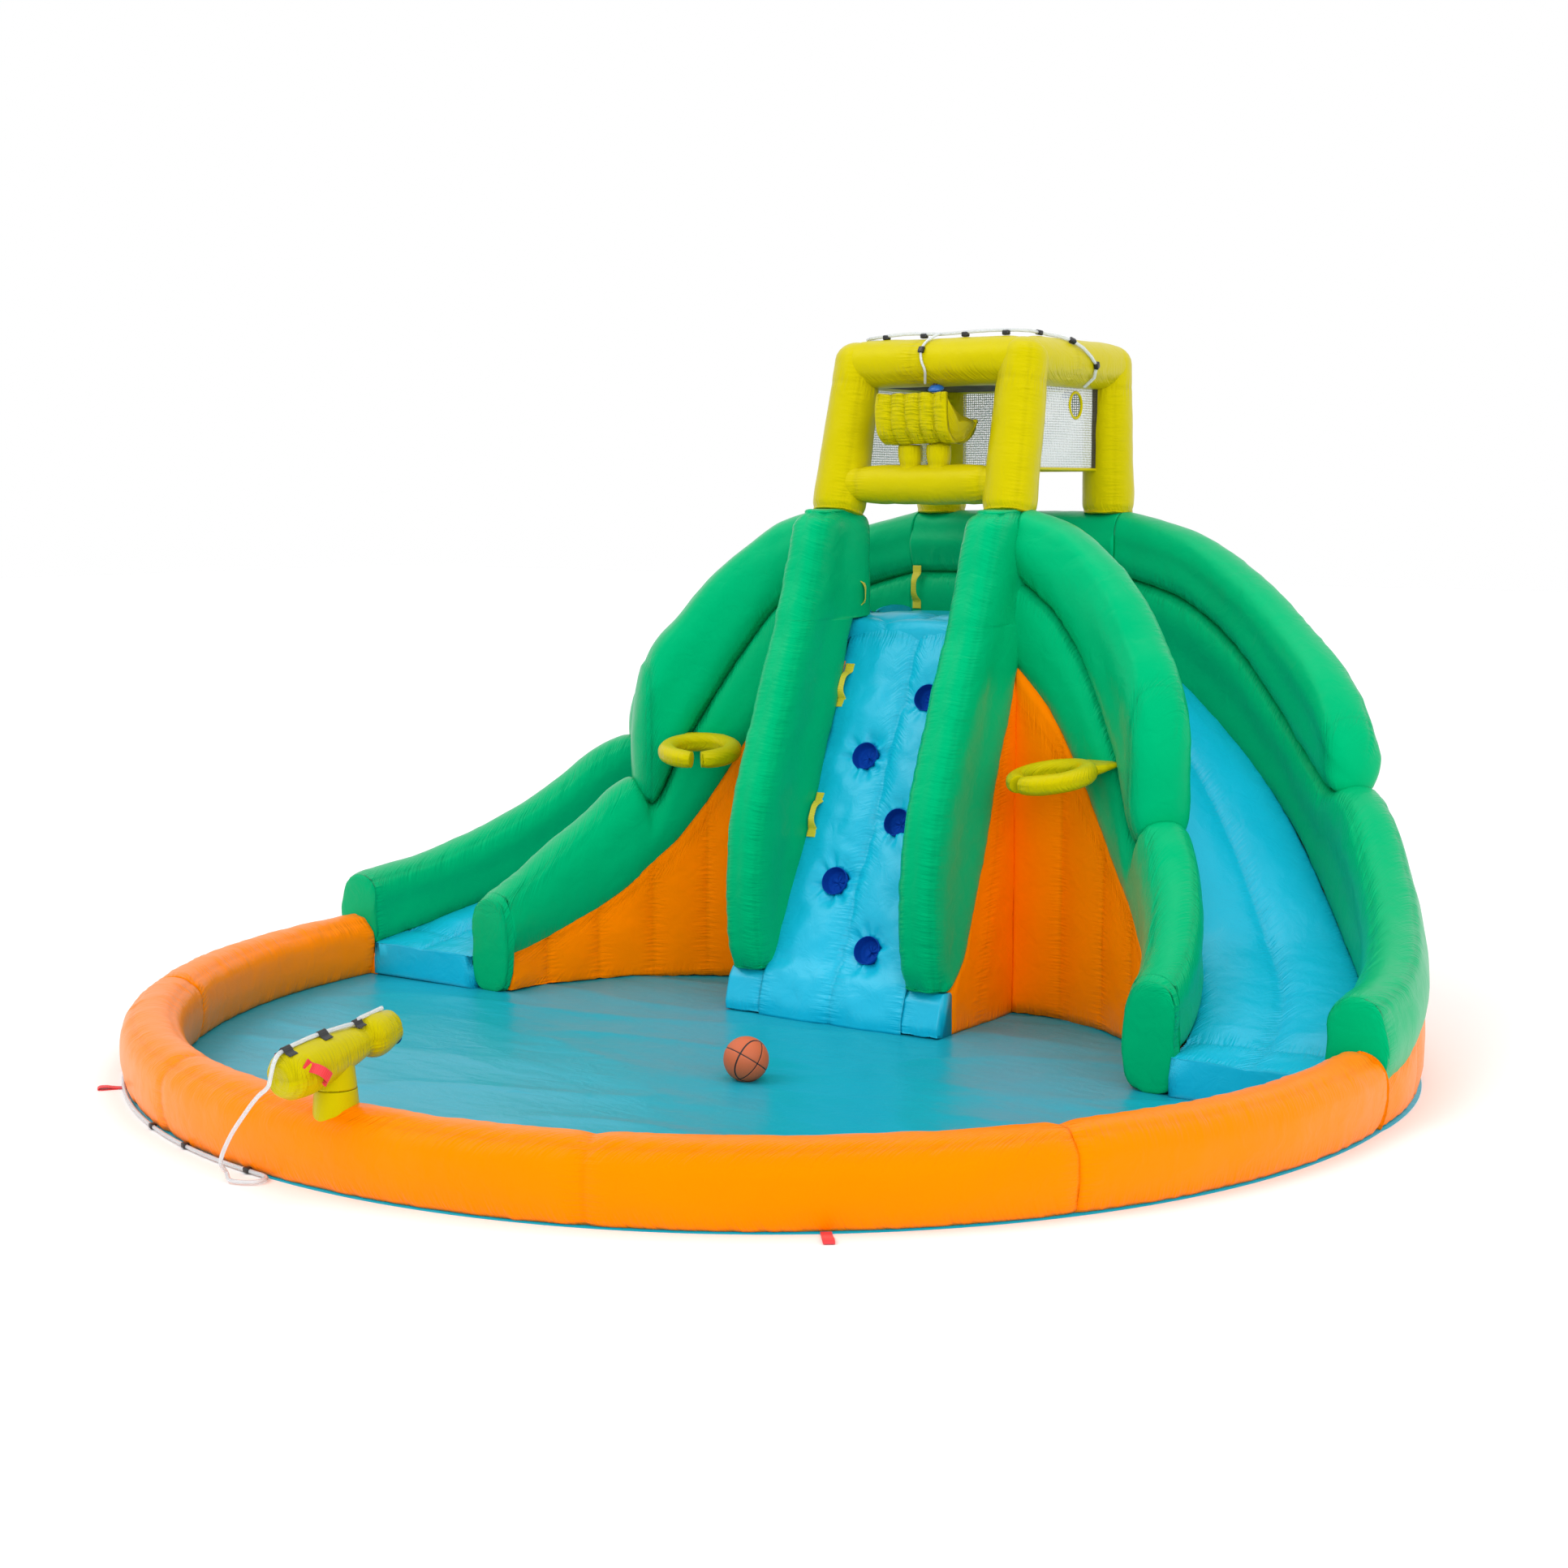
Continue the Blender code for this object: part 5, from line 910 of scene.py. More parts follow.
def build_deck():
    """The block under the deck."""
    box_skin("deck_block", (DECK_FRONT + 0.004, DECK_BACK - GAP), (FLOOR, DECK_HEIGHT), "blue")


# Climbing wall
def lane_y(z):
    """Depth of the flat of the climbing slope at a height."""
    return DECK_FRONT * (z - FOOT_HEIGHT) / (LANE_TOP - FOOT_HEIGHT)


# the slope's directions: out at the climber, and up along it
LANE_OUT = unit(np.array((0.0, FOOT_HEIGHT - LANE_TOP, DECK_FRONT)))
LANE_UP = unit(np.array((0.0, DECK_FRONT, LANE_TOP - FOOT_HEIGHT)))


def lane_crown(x, z):
    """Crown of the slope's two channels at a place."""
    fade = np.interp(z, (FOOT_HEIGHT, (FOOT_HEIGHT + LANE_TOP) / 2, LANE_TOP), LANE_CROWN_SHARES)
    x = np.clip(x, -LANE_HALF, LANE_HALF)
    return LANE_BULGE * fade * np.abs(np.sin(math.pi * (x + LANE_HALF) / LANE_HALF)) ** 0.8


def hold_places():
    """Places of the foothold pockets across and up the slope, and their centres."""
    places = [(HOLD_X if k % 2 == 0 else -HOLD_X, HOLD_FIRST_Z + HOLD_PITCH * k) for k in range(HOLD_COUNT)]
    return [(x, z, world(x, lane_y(z), z)) for x, z in places]


def slope_rows():
    """Rows of the slope from the pool floor to the deck, and the row of its top seam."""
    front = [(-FOOT_SPREAD - 0.004, FLOOR), (-FOOT_SPREAD - 0.002, FOOT_HEIGHT * 0.3),
             (-FOOT_SPREAD * 0.55 - 0.006, FOOT_HEIGHT * 0.7), (-FOOT_OUT - 0.003, FOOT_HEIGHT + 0.006)]
    front += [(lane_y(z), z) for z in np.linspace(FOOT_HEIGHT + 0.05, LANE_TOP - 0.05, 14)]
    y0, z0 = front[-1]
    front += [(y0 + a, z0 + b) for a, b in ((0.024, 0.046), (0.052, 0.086), (0.092, 0.112), (0.145, 0.120),
                                            (0.20, 0.112), (0.24, 0.098))]
    slope, _ = spaced(front, 190, closed=False)
    top_seam = int(np.argmin(np.abs(slope[:, 1] - LANE_TOP + 0.01) + (slope[:, 0] > DECK_FRONT + 0.02)))
    x = np.linspace(-LANE_HALF - SEAM_LAP / 2, LANE_HALF + SEAM_LAP / 2, 78)
    rows = []
    for k, (y, z) in enumerate(slope):
        ahead, behind = slope[min(k + 1, len(slope) - 1)], slope[max(k - 1, 0)]
        out = unit(np.array((0.0, behind[1] - ahead[1], ahead[0] - behind[0])))
        rows.append(world(0, y, z) + np.outer(x, (1, 0, 0))
                    + out * lane_crown(x, min(max(z, FOOT_HEIGHT), LANE_TOP))[:, None])
    return np.array(rows), top_seam


def cut_pocket(bm, centre):
    """Opens a round mouth in the slope and turns its rim in."""
    normal = Vector(LANE_OUT)

    def flat_way(point):
        away = point - centre
        return away - normal * away.dot(normal)
    middles = ((f, f.calc_center_median()) for f in bm.faces)
    doomed = [f for f, at in middles if flat_way(at).length < HOLD_R and (at - centre).length < 0.1]
    bmesh.ops.delete(bm, geom=doomed, context="FACES")
    rim = [v for v in bm.verts if v.is_boundary and (v.co - centre).length < 0.09
           and flat_way(v.co).length < HOLD_R * 1.6]
    for v in rim:
        way = flat_way(v.co)
        v.co += way.normalized() * (HOLD_R - way.length)
    edges = [e for e in bm.edges if e.is_boundary and all(v in rim for v in e.verts)]
    for _ in range(2):
        fresh = bmesh.ops.extrude_edge_only(bm, edges=edges)["geom"]
        for v in (g for g in fresh if isinstance(g, bmesh.types.BMVert)):
            v.co -= normal * 0.007
        edges = [g for g in fresh if isinstance(g, bmesh.types.BMEdge) and g.is_boundary]


def build_climbing_lane():
    """The slope's skin, drawn in round five pockets, and the foot across its front."""
    rows, top_seam = slope_rows()
    for k, (_, _, centre) in enumerate(hold_places()):
        away = rows - centre
        across, along = away[..., 0], away @ LANE_UP
        folds = ripple((np.arctan2(along, across) + math.pi) * 3.2, 90 + k)
        dip = (0.006 + 0.022 * folds) * np.exp(
            -(np.maximum(np.hypot(across, along) - HOLD_R, 0) / 0.042) ** 2)
        rows -= LANE_OUT * (dip * (np.abs(away @ LANE_OUT) < 0.08))[..., None]
    marks = skin(rows, seams=[(0.5, 1.2), (0.0, 0.5), (1.0, 0.5)], cross=[(top_seam, 0.6)], wrap=False,
                 up=LANE_OUT, seed=41, soft=2.6)
    mesh = cloth_mesh("climb_lane_skin", marks, caps=False)
    bm = bmesh_of(mesh)
    for _, _, centre in hold_places():
        cut_pocket(bm, Vector(centre))
    place_piece("climb_lane_skin", mesh_of(bm, mesh.name, mesh), coated_nylon("blue", 0.31, 1.0),
                "blue_vinyl", "climb_block", thick=0.003)

    around = round_angles(48)
    for k, (x, z, centre) in enumerate(hold_places()):
        centre = centre + LANE_OUT * float(lane_crown(x, z)) * 0.4
        rows = []
        for share, sink in ((1.01, 0.000), (1.02, 0.006), (0.99, 0.014), (0.96, 0.024), (0.92, 0.034),
                            (0.84, 0.040), (0.66, 0.042), (0.44, 0.038), (0.22, 0.040), (0.03, 0.041)):
            wrinkle = 1 + 0.05 * (ripple(around * 4.5 + share * 2, 70 + k) - 0.5) * (share < 0.99)
            r = HOLD_R * share * wrinkle
            crumple = 0.010 * (ripple(around * 2.5 + 9, 80 + k) - 0.5) * (1 - share) * 2
            rows.append(centre - LANE_OUT * sink + np.outer(r * np.cos(around), (1, 0, 0))
                        + np.outer(r * np.sin(around), LANE_UP) + np.outer(crumple, LANE_OUT))
        sewn("foothold_%d" % (k + 1), rows, "navy", caps=False, thick=0.002, seed=60 + k, soft=0.6)

    # the foot under the lane and the side tubes
    rim = 0.010
    outline = [(-FOOT_SPREAD * share, FOOT_HEIGHT * rise) for share, rise in
               ((1, FLOOR / FOOT_HEIGHT), (1, 0.25), (0.75, 0.5), (0.42, 0.8))]
    outline += [(-FOOT_OUT + 0.002, FOOT_HEIGHT - rim), (-FOOT_OUT + rim, FOOT_HEIGHT),
                (FOOT_DEPTH * 0.5, FOOT_HEIGHT), (FOOT_DEPTH - rim, FOOT_HEIGHT),
                (FOOT_DEPTH, FOOT_HEIGHT - rim), (FOOT_DEPTH, FOOT_HEIGHT * 0.5), (FOOT_DEPTH, FLOOR)]
    line = straight((-SLIDE_X + GAP, 0, 0), (SLIDE_X - GAP, 0, 0), 0.008)[:, 0]
    sewn("climb_foot_skin", [[world(x, y, z) for y, z in even(outline, 56)] for x in line], "blue",
         cross=[(int(np.argmin(np.abs(line - x))), 1.0) for x in (-LANE_HALF, 0.0, LANE_HALF)],
         seams=[(0.0, 1.0)], seed=43)


def wall_edge(z, column, first=0, last=None):
    """Front (1) or back (2) of the side tubes at a height, from part of their table."""
    table = [(row[0] * WALL_TOP, row[column] * WALL_BACK) for row in CLIMB_WALL_SHARES[first:last]]
    if last:
        table.append((DECK_HEIGHT, DECK_FRONT - GAP))
    return smooth_at(table, z)


def wall_back(z):
    """Back of the side tubes: against the orange panel up to the deck, and past it above."""
    return min(WALL_BACK, wall_edge(z, 2, 9)) if z >= DECK_HEIGHT else wall_edge(z, 2, 0, 9)


def upright_outline(x0, x1, y0, y1, rim):
    """Outline of an upright tube as (x, y): a flat front with rounded edges and a plain back."""
    w = x1 - x0
    rim = min(rim, (y1 - y0) / 3, w / 3)
    swell, middle = TUBE_BULGE * 0.3, (y0 + y1) / 2
    return [(x0 + w * 0.5, y0), (x1 - rim, y0), (x1 - rim * 0.3, y0 + rim * 0.45), (x1, y0 + rim * 1.4),
            (x1 + swell, middle), (x1, y1), (x0 + w * 0.5, y1), (x0, y1),
            (x0 - swell, middle), (x0, y0 + rim * 1.4), (x0 + rim * 0.3, y0 + rim * 0.45), (x0 + rim, y0)]


def build_climbing_sides():
    """The two green side tubes and the orange panels behind them."""
    x0, x1 = LANE_HALF + GAP, SLIDE_X - GAP
    heights = np.concatenate([np.arange(FOOT_HEIGHT + 0.004, DECK_HEIGHT - 0.0045, STEP),
                              [DECK_HEIGHT - 0.002, DECK_HEIGHT + 0.002],
                              np.arange(DECK_HEIGHT + STEP, WALL_TOP - 0.012, STEP), [WALL_TOP - 0.010]])
    for side, hand in HANDS:
        rows, marks = [], []
        for z in heights:
            low = max(0.0, 1 - (z - FOOT_HEIGHT) / 0.09)
            tuck = WALL_RIM * (0.10 * low ** 1.5 + 0.42 * max(0.0, (z - WALL_TOP + 0.07) / 0.07) ** 2)
            section, own = spaced(upright_outline(x0 + tuck, x1 - tuck, wall_edge(z, 1), wall_back(z),
                                                  WALL_RIM), 76)
            rows.append([world(side * x, y, z) for x, y in section])
            marks.append(own)
        sewn("climb_wall_%s_skin" % hand, rows, "green", "climb_wall_" + hand,
             seams=[(np.array(marks)[:, k], share)
                    for k, share in ((2, 1.0), (10, 1.0), (5, 0.6), (7, 0.6))],
             cross=[(0, 1.1), (len(rows) - 1, 1.3)], seed=45 + (side > 0), lifts=(0.003, 0.010))
        rows = []
        for z in np.arange(FLOOR, CLIMB_WALL_SHARES[7][0] * WALL_TOP, 0.012):
            y0 = FOOT_DEPTH + GAP if z < FOOT_HEIGHT else max(wall_back(z) + GAP, FOOT_DEPTH + GAP)
            y1 = DECK_FRONT - GAP
            outline = [(x0, y0)] + [(x1 + 0.004 * math.sin(math.pi * t), y0 + (y1 - y0) * t)
                                    for t in (0, 0.25, 0.5, 0.75)] + [(x1, y1), (x0, y1)]
            rows.append([world(side * x, y, z) for x, y in even(outline, 60)])
        sewn("climb_panel_%s_skin" % hand, rows, "orange", "climb_panel_" + hand, seams=[(0.27, 0.4)],
             cross=[(0, 0.8)], seed=47 + (side > 0), soft=1.4)


# Pool
def ring_outline(pinch):
    """Outline of the pool ring as (radius, height)."""
    half, high = RING_WIDTH / 2 - pinch, RING_HEIGHT - pinch
    foot, top = half * RING_FOOT_SHARE, half * RING_TOP_SHARE
    near = half * (1 + RING_TOP_SHARE) / 2 + (half - top) * 0.25
    out = [(foot, FLOOR), (near, FLOOR + high * 0.17), (half, FLOOR + high / 2), (near, FLOOR + high * 0.83),
           (top, FLOOR + high)]
    return [(RING_R + a, z) for a, z in out] + [(RING_R - a, z) for a, z in reversed(out)]


def build_pool_ring():
    """Three lengths of orange ring with panel seams that draw them in."""
    end_y = SLIDE_Y - GAP + RING_SETBACK
    end = 90 + math.degrees(math.asin(end_y / (RING_R - RING_WIDTH)))
    inner, outer = RING_SEAM_DEG
    split = math.degrees(GAP / RING_R)
    joints = (-outer, -inner, inner, outer)
    for name, a0, a1 in (("ring_left", -end, -outer - split), ("ring_front", -outer + split, outer - split),
                         ("ring_right", outer + split, end)):
        angles = arc_angles(a1, a0, RING_R)[::-1]
        rows, marks = [], []
        for angle in angles:
            gap = min(abs(angle - s) for s in joints)
            pinch = RING_PINCH * math.exp(-(math.radians(gap) * RING_R / 0.030) ** 2)
            section, own = spaced(ring_outline(pinch), 72)
            r, t = section[:, 0], math.radians(angle)
            x, y = r * math.sin(t), -r * math.cos(t)
            past = y > end_y
            x = np.where(past, math.copysign(1, angle) * np.sqrt(np.maximum(r ** 2 - end_y ** 2, 0)), x)
            y = np.where(past, end_y, y)
            rows.append(np.stack([x, y - RING_SETBACK + SHIFT_Y, section[:, 1]], axis=1))
            marks.append(own)
        cross = [(int(np.argmin(np.abs(angles - s))), 0.7) for s in joints if a0 - 1 < s < a1 + 1]
        if name != "ring_front":
            cross.append((0 if name == "ring_left" else len(angles) - 1, 1.0))
        sewn(name + "_skin", rows, "orange", name, cross=cross, seed=51 + len(name),
             seams=[(np.array(marks)[:, k], share) for k, share in ((0, 0.9), (4, 1.0), (5, 1.0), (9, 0.9))])


def sheet_edge():
    """Outline of the base sheet, a little larger than what stands on it."""
    reach = RING_R + RING_WIDTH / 2 * RING_FOOT_SHARE + SHEET_HEM * 0.25
    turn = math.degrees(math.asin((SLIDE_Y + RING_SETBACK) / reach))
    edge = [(reach * math.sin(a), -reach * math.cos(a) - RING_SETBACK)
            for a in np.radians(np.linspace(-90 - turn, 90 + turn, 181))]
    arc = []
    for a in np.linspace(0, 90, 60)[1:]:
        r, t = radius_out(a, 3) + SHEET_HEM * 0.25, math.radians(a)
        arc.append((SLIDE_X + r * math.cos(t), SLIDE_Y + r * math.sin(t)))
    return np.array([(x, y + SHIFT_Y) for x, y in edge + arc + [(-x, y) for x, y in reversed(arc)]])


def inside(points, edge):
    """Which points lie inside an outline."""
    found = np.zeros(len(points), bool)
    for (ax, ay), (bx, by) in zip(edge, np.roll(edge, -1, 0)):
        crosses = (ay > points[:, 1]) != (by > points[:, 1])
        with np.errstate(divide="ignore", invalid="ignore"):
            found ^= crosses & (points[:, 0] < ax + (points[:, 1] - ay) / (by - ay) * (bx - ax))
    return found


def build_pool_sheet():
    """The teal base sheet: flat under the walls, with long soft folds on the pool floor."""
    fold = bpy.context.scene.water_slide_sizes.fold
    edge = sheet_edge()
    ring = np.roll(edge, -1, 0)
    low, high = edge.min(0), edge.max(0)
    columns, lines = (int(math.ceil(v / SHEET_STEP)) for v in (high - low))
    x, y = np.meshgrid(np.linspace(low[0], high[0], columns), np.linspace(low[1], high[1], lines))
    points = np.stack([x, y], axis=2).reshape(-1, 2)
    bm = bmesh.new()
    bmesh.ops.create_grid(bm, x_segments=columns - 1, y_segments=lines - 1, size=1)
    for v, (px, py) in zip(bm.verts, points):
        v.co = (px, py, SHEET_T)
    outside = [v for v, keep in zip(bm.verts[:], inside(points, edge)) if not keep]
    bmesh.ops.delete(bm, geom=outside, context="VERTS")
    bmesh.ops.delete(bm, geom=[v for v in bm.verts if not v.link_faces], context="VERTS")
    fine = np.concatenate([edge + (ring - edge) * t for t in np.linspace(0, 1, 12, endpoint=False)])
    for v in bm.verts:
        if v.is_boundary:
            v.co.x, v.co.y = fine[np.argmin(((fine - np.array(v.co[:2])) ** 2).sum(1))]
    # folds die out at the ring and at the climbing wall
    centre = Vector((0, -RING_SETBACK + SHIFT_Y))
    for v in bm.verts:
        u, w, _ = v.co
        room = min(max((RING_R - RING_WIDTH * 0.62 - (v.co.xy - centre).length) / 0.10, 0.0), 1.0)
        if w > SHIFT_Y - FOOT_SPREAD - 0.02 and abs(u) < SLIDE_X:
            room = 0.0
        ridge = 1 - abs(noise.noise(Vector((u * 0.9 + w * 0.35, w * 3.4 - u * 0.5, 1.7))))
        small = 1 - abs(noise.noise(Vector((u * 2.1 - w * 0.8, w * 7.5 + u, 5.3))))
        v.co.z += room * fold * (ridge ** 6 + 0.35 * small ** 5)
    mesh = bpy.data.meshes.new("pool_sheet_skin")
    uv = bm.loops.layers.uv.new("UVMap")
    for loop in (loop for face in bm.faces for loop in face.loops):
        loop[uv].uv = loop.vert.co.xy
    bmesh.ops.recalc_face_normals(bm, faces=bm.faces)
    if sum(f.normal.z for f in bm.faces) < 0:
        bmesh.ops.reverse_faces(bm, faces=bm.faces)
    bm.to_mesh(mesh)
    bm.free()
    mesh.shade_smooth()
    obj = place_piece("pool_sheet_skin", mesh, laminated_sheet("sheet"), "pool_sheet", "ground_sheet",
                      thick=SHEET_T - 0.0002)


# Tower
def build_tower_ring():
    """The top ring of the tower with mitred corners."""
    corners = [(FRONT_POST_HEAD, -1), (FRONT_POST_HEAD, 1), (REAR_POST_HEAD, 1), (REAR_POST_HEAD, -1)]
    rows, cross = [], []
    wide = RING_TUBE_R * np.cos(round_angles(48))
    high = RING_TUBE_Z + RING_TUBE_R * np.sin(round_angles(48))
    bend = RING_CORNER_R + wide * RING_CORNER_SHARE

    def run_to(row, more=0):
        last = rows[-1]
        count = int(np.linalg.norm((row - last).mean(0)) / STEP)
        shares = np.linspace(0, 1, count + more, endpoint=bool(more))[1:]
        rows.extend(last + (row - last) * t for t in shares)
    for ((x, y), s), (ix, iy), start in zip(corners, ((1, 1), (-1, 1), (-1, -1), (1, -1)),
                                            (180, 270, 0, 90)):
        for turn in np.linspace(0, 90, 13):
            a = math.radians(start + turn)
            row = np.stack([s * x - ix * wide + ix * bend + bend * math.cos(a),
                            y - iy * wide + iy * bend + bend * math.sin(a) + SHIFT_Y, high], axis=1)
            if turn == 0 and rows:
                run_to(row)
            if turn == 45:
                cross.append((len(rows), 1.6))
            rows.append(row)
    run_to(rows[0], 1)
    cross += [(int(len(rows) * share), 0.25) for share in (0.125, 0.375, 0.625, 0.875)]
    sewn("tower_ring_skin", rows, "yellow", "tower_ring", seams=[(0.40, 0.7), (0.90, 0.7)], cross=cross,
         loop=True, caps=False, seed=61)


def build_posts():
    """Four posts, drawn in where they meet the walls and the top ring."""
    for end, foot, head in (("front", FRONT_POST_FOOT, FRONT_POST_HEAD),
                            ("rear", REAR_POST_FOOT, REAR_POST_HEAD)):
        for side, hand in HANDS:
            name = "post_%s_%s" % (end, hand)
            line = straight(world(side * foot[0], foot[1], WALL_TOP - POST_SINK * 0.3),
                            world(side * head[0], head[1], RING_TUBE_Z + RING_TUBE_R * 0.10), TUBE_STEP)
            t = np.linspace(0, 1, len(line))
            radii = POST_R + (POST_TOP_R - POST_R) * t - 0.004 * np.exp(-(t / 0.03) ** 2)
            sewn(name + "_skin", tube_rows(line, radii, 48), "yellow", name,
                 seams=[(0.12, 0.6), (0.62, 0.6)], cross=[(1, 0.8), (len(line) - 12, 0.4)],
                 seed=63 + len(name) + side, lifts=(0.006, 0.074))


def front_bar_y():
    """Depth of the front bar, on the leaning front posts."""
    lean = (BAR_Z - WALL_TOP) / (RING_TUBE_Z - WALL_TOP)
    return FRONT_POST_FOOT[1] + (FRONT_POST_HEAD[1] - FRONT_POST_FOOT[1]) * lean


def build_front_bar():
    """The bar between the front posts and the bucket's two stands."""
    y, half = front_bar_y(), FRONT_POST_FOOT[0] - 0.02
    line = straight(world(-half, y, BAR_Z), world(half, y, BAR_Z), TUBE_STEP)
    sewn("front_bar_skin", tube_rows(line, BAR_R, 44), "yellow", "front_bar", seams=[(0.2, 0.6), (0.7, 0.6)],
         cross=[(int(len(line) * s), 1.0) for s in (0.12, 0.88)], seed=71, lifts=(0.010, 0.010))
    for side, hand in HANDS:
        line = straight(world(side * STAND_X, y, BAR_Z + BAR_R * 0.5),
                        world(side * STAND_X, y, STAND_TOP_Z - 0.003), 0.006)
        sewn("bucket_stand_" + hand, tube_rows(line, STAND_R, 36), "yellow",
             cross=[(6, 1.0), (len(line) - 1, 0.6)], seed=73 + side, lifts=(0, 0.003))


def net(name, corners, kind, node="", hole=None):
    """A flat net between four corners, with its threads running level."""
    a, b, c, d = (world(*p) for p in corners)
    wide, high = np.linalg.norm(b - a), np.linalg.norm(d - a)
    s, t = np.meshgrid(np.linspace(0, 1, int(wide / NET_STEP) + 2),
                       np.linspace(0, 1, int(high / NET_STEP) + 2))
    s, t = s[..., None], t[..., None]
    rows = a * (1 - s) * (1 - t) + b * s * (1 - t) + c * s * t + d * (1 - s) * t
    inner = np.minimum(np.minimum(s, 1 - s), np.minimum(t, 1 - t))[..., 0]
    rows = rows + unit(np.cross(b - a, d - a)) * (unevenness(rows, 0.11, 5) * inner * 0.03)[..., None]
    flat = np.zeros(rows.shape[:2])
    mesh = cloth_mesh(name, [rows, np.dstack([s[..., 0] * wide, t[..., 0] * high]), flat, flat], caps=False)
    if hole is not None:
        bm = bmesh_of(mesh)
        centre = Vector(hole)
        doomed = [f for f in bm.faces if (f.calc_center_median() - centre).length < NET_HOLE_R]
        bmesh.ops.delete(bm, geom=doomed, context="FACES")
        for v in bm.verts:
            way = v.co - centre
            if v.is_boundary and way.length < NET_HOLE_R * 1.5:
                v.co += way.normalized() * (NET_HOLE_R - way.length)
        bm.to_mesh(mesh)
        bm.free()
    *look, slot = kind
    obj = place_piece(name, mesh, knitted_mesh(*look), slot, node)


def piping(name, start, end):
    """A sewn cord edge."""
    sewn(name, tube_rows(straight(world(*start), world(*end)), PIPING_R, 12), "yellow", seed=5, soft=0.1,
         lifts=(PIPING_R, PIPING_R))


def build_nets():
    """Safety nets at the back and sides and the roof mesh, with sewn yellow edges."""
    x, y0, y1 = REAR_POST_HEAD[0], FRONT_POST_HEAD[1] + POST_TOP_R * 0.6, REAR_POST_HEAD[1]
    top, low = RING_TUBE_Z - RING_TUBE_R * 0.9, NET_BOTTOM
    inset = POST_TOP_R * 0.9
    wide, rear = x - inset, y1 - inset
    net("net_rear_skin", ((-wide, y1, low), (wide, y1, low), (wide, y1, top), (-wide, y1, top)), NET,
        "net_rear")
    centre = world(x, SPRINKLER_SIDE_Y, RING_TUBE_Z - RING_TUBE_R - NET_HOLE_R * 1.4)
    for side, hand in HANDS:
        at, edge, near = side * x, side * (x + BORDER_LIFT), rear - BORDER_WIDTH
        net("net_%s_skin" % hand, ((at, y0, low), (at, rear, low), (at, rear, top), (at, y0 + 0.015, top)),
            NET, "net_" + hand, centre if side > 0 else None)
        net("net_%s_border" % hand, ((edge, near, low), (edge, rear, low), (edge, rear, top),
                                     (edge, near, top)), ROOF)
        piping("net_%s_piping" % hand, (at, y0 - 0.02, low), (at, rear + 0.01, low))
    piping("net_rear_piping", (-wide - 0.01, y1, low), (wide + 0.01, y1, low))
    rows = tube_rows([centre + np.array((0, math.cos(a), math.sin(a))) * (NET_HOLE_R + 0.002)
                      for a in np.linspace(0, 2 * math.pi, 60)], 0.0055, 12)
    rows[-1] = rows[0]
    sewn("net_hole_piping", rows, "yellow", seed=6, soft=0.0, caps=False)
    reach, z = RING_TUBE_R * 0.42, RING_TUBE_Z - RING_TUBE_R * ROOF_NET_SHARE
    wide, near, rear = x - reach, FRONT_POST_HEAD[1] + reach, y1 - reach
    net("net_roof_skin", ((-wide, near, z), (wide, near, z), (wide, rear, z), (-wide, rear, z)), ROOF,
        "net_roof")


def build_bucket():
    """The quilted bucket, open up and to the rear, on its tipping axis."""
    base = world(0, front_bar_y() - STAND_R - BUCKET_AXIS_SET, STAND_TOP_Z + GAP)
    outer = np.array(BUCKET_SHARES) * (BUCKET_DEPTH, BUCKET_HEIGHT)
    line, _ = spaced(outer, 44, closed=False)
    tangent = np.gradient(line, axis=0)
    tangent /= np.linalg.norm(tangent, axis=1, keepdims=True)
    inner = line + np.stack([-tangent[:, 1], tangent[:, 0]], axis=1) * BUCKET_WALL
    away = unit(line - np.array((BUCKET_DEPTH * 0.25, BUCKET_HEIGHT * 0.6)))
    rows = []
    for x in np.linspace(-BUCKET_HALF, BUCKET_HALF, 76):
        phase = BUCKET_CHANNELS * (x + BUCKET_HALF) / (2 * BUCKET_HALF)
        shaped = line + away * (BUCKET_QUILT * abs(math.sin(math.pi * phase)) ** 0.5 - BUCKET_QUILT)
        shaped[:, 1] = np.maximum(shaped[:, 1], 0.0)
        section, _ = spaced(np.vstack([shaped, inner[::-1]]), 92)
        rows.append([base + (x, y, z) for y, z in section])
    quilt = {"satin": 0.36, "crumple": 2.4, "body": "bucket", "soft": 2.6}
    sewn("bucket_skin", rows, "yellow", "bucket", seams=[(0.0, 2 / 3), (0.49, 2 / 3), (0.20, 0.5)],
         cross=[(int(round(75 * k / BUCKET_CHANNELS)), 0.75) for k in range(1, BUCKET_CHANNELS)], seed=81,
         **quilt)
    # the two padded end panels
    dip = (outer[0] + outer[-1]) / 2 + (-0.01, -0.02)
    closing, _ = spaced([line[-1], dip, line[0]], 20, closed=False)
    section, _ = spaced(np.vstack([line, closing[1:-1]])[::3], 80)
    middle = section.mean(0)
    for side, hand in HANDS:
        rows = [[base + (side * (BUCKET_HALF - 0.021), *(middle + (p - middle) * share)) for p in section]
                for share in (0.02, 0.4)]
        for share, out in ((0.985, -0.015), (0.985, -0.014), (0.995, -0.008), (0.99, -0.002), (0.96, 0.002),
                           (0.90, 0.004), (0.78, 0.0055), (0.60, 0.0065), (0.40, 0.007), (0.20, 0.007),
                           (0.02, 0.007)):
            shaped = middle + (section - middle) * share
            shaped[:, 1] = np.maximum(shaped[:, 1], 0.0)
            rows.append([base + (side * (BUCKET_HALF - 0.006 + out), y, z) for y, z in shaped])
        sewn("bucket_end_" + hand, rows, "yellow", cross=[(5, 0.75)], seed=83 + side, **quilt)


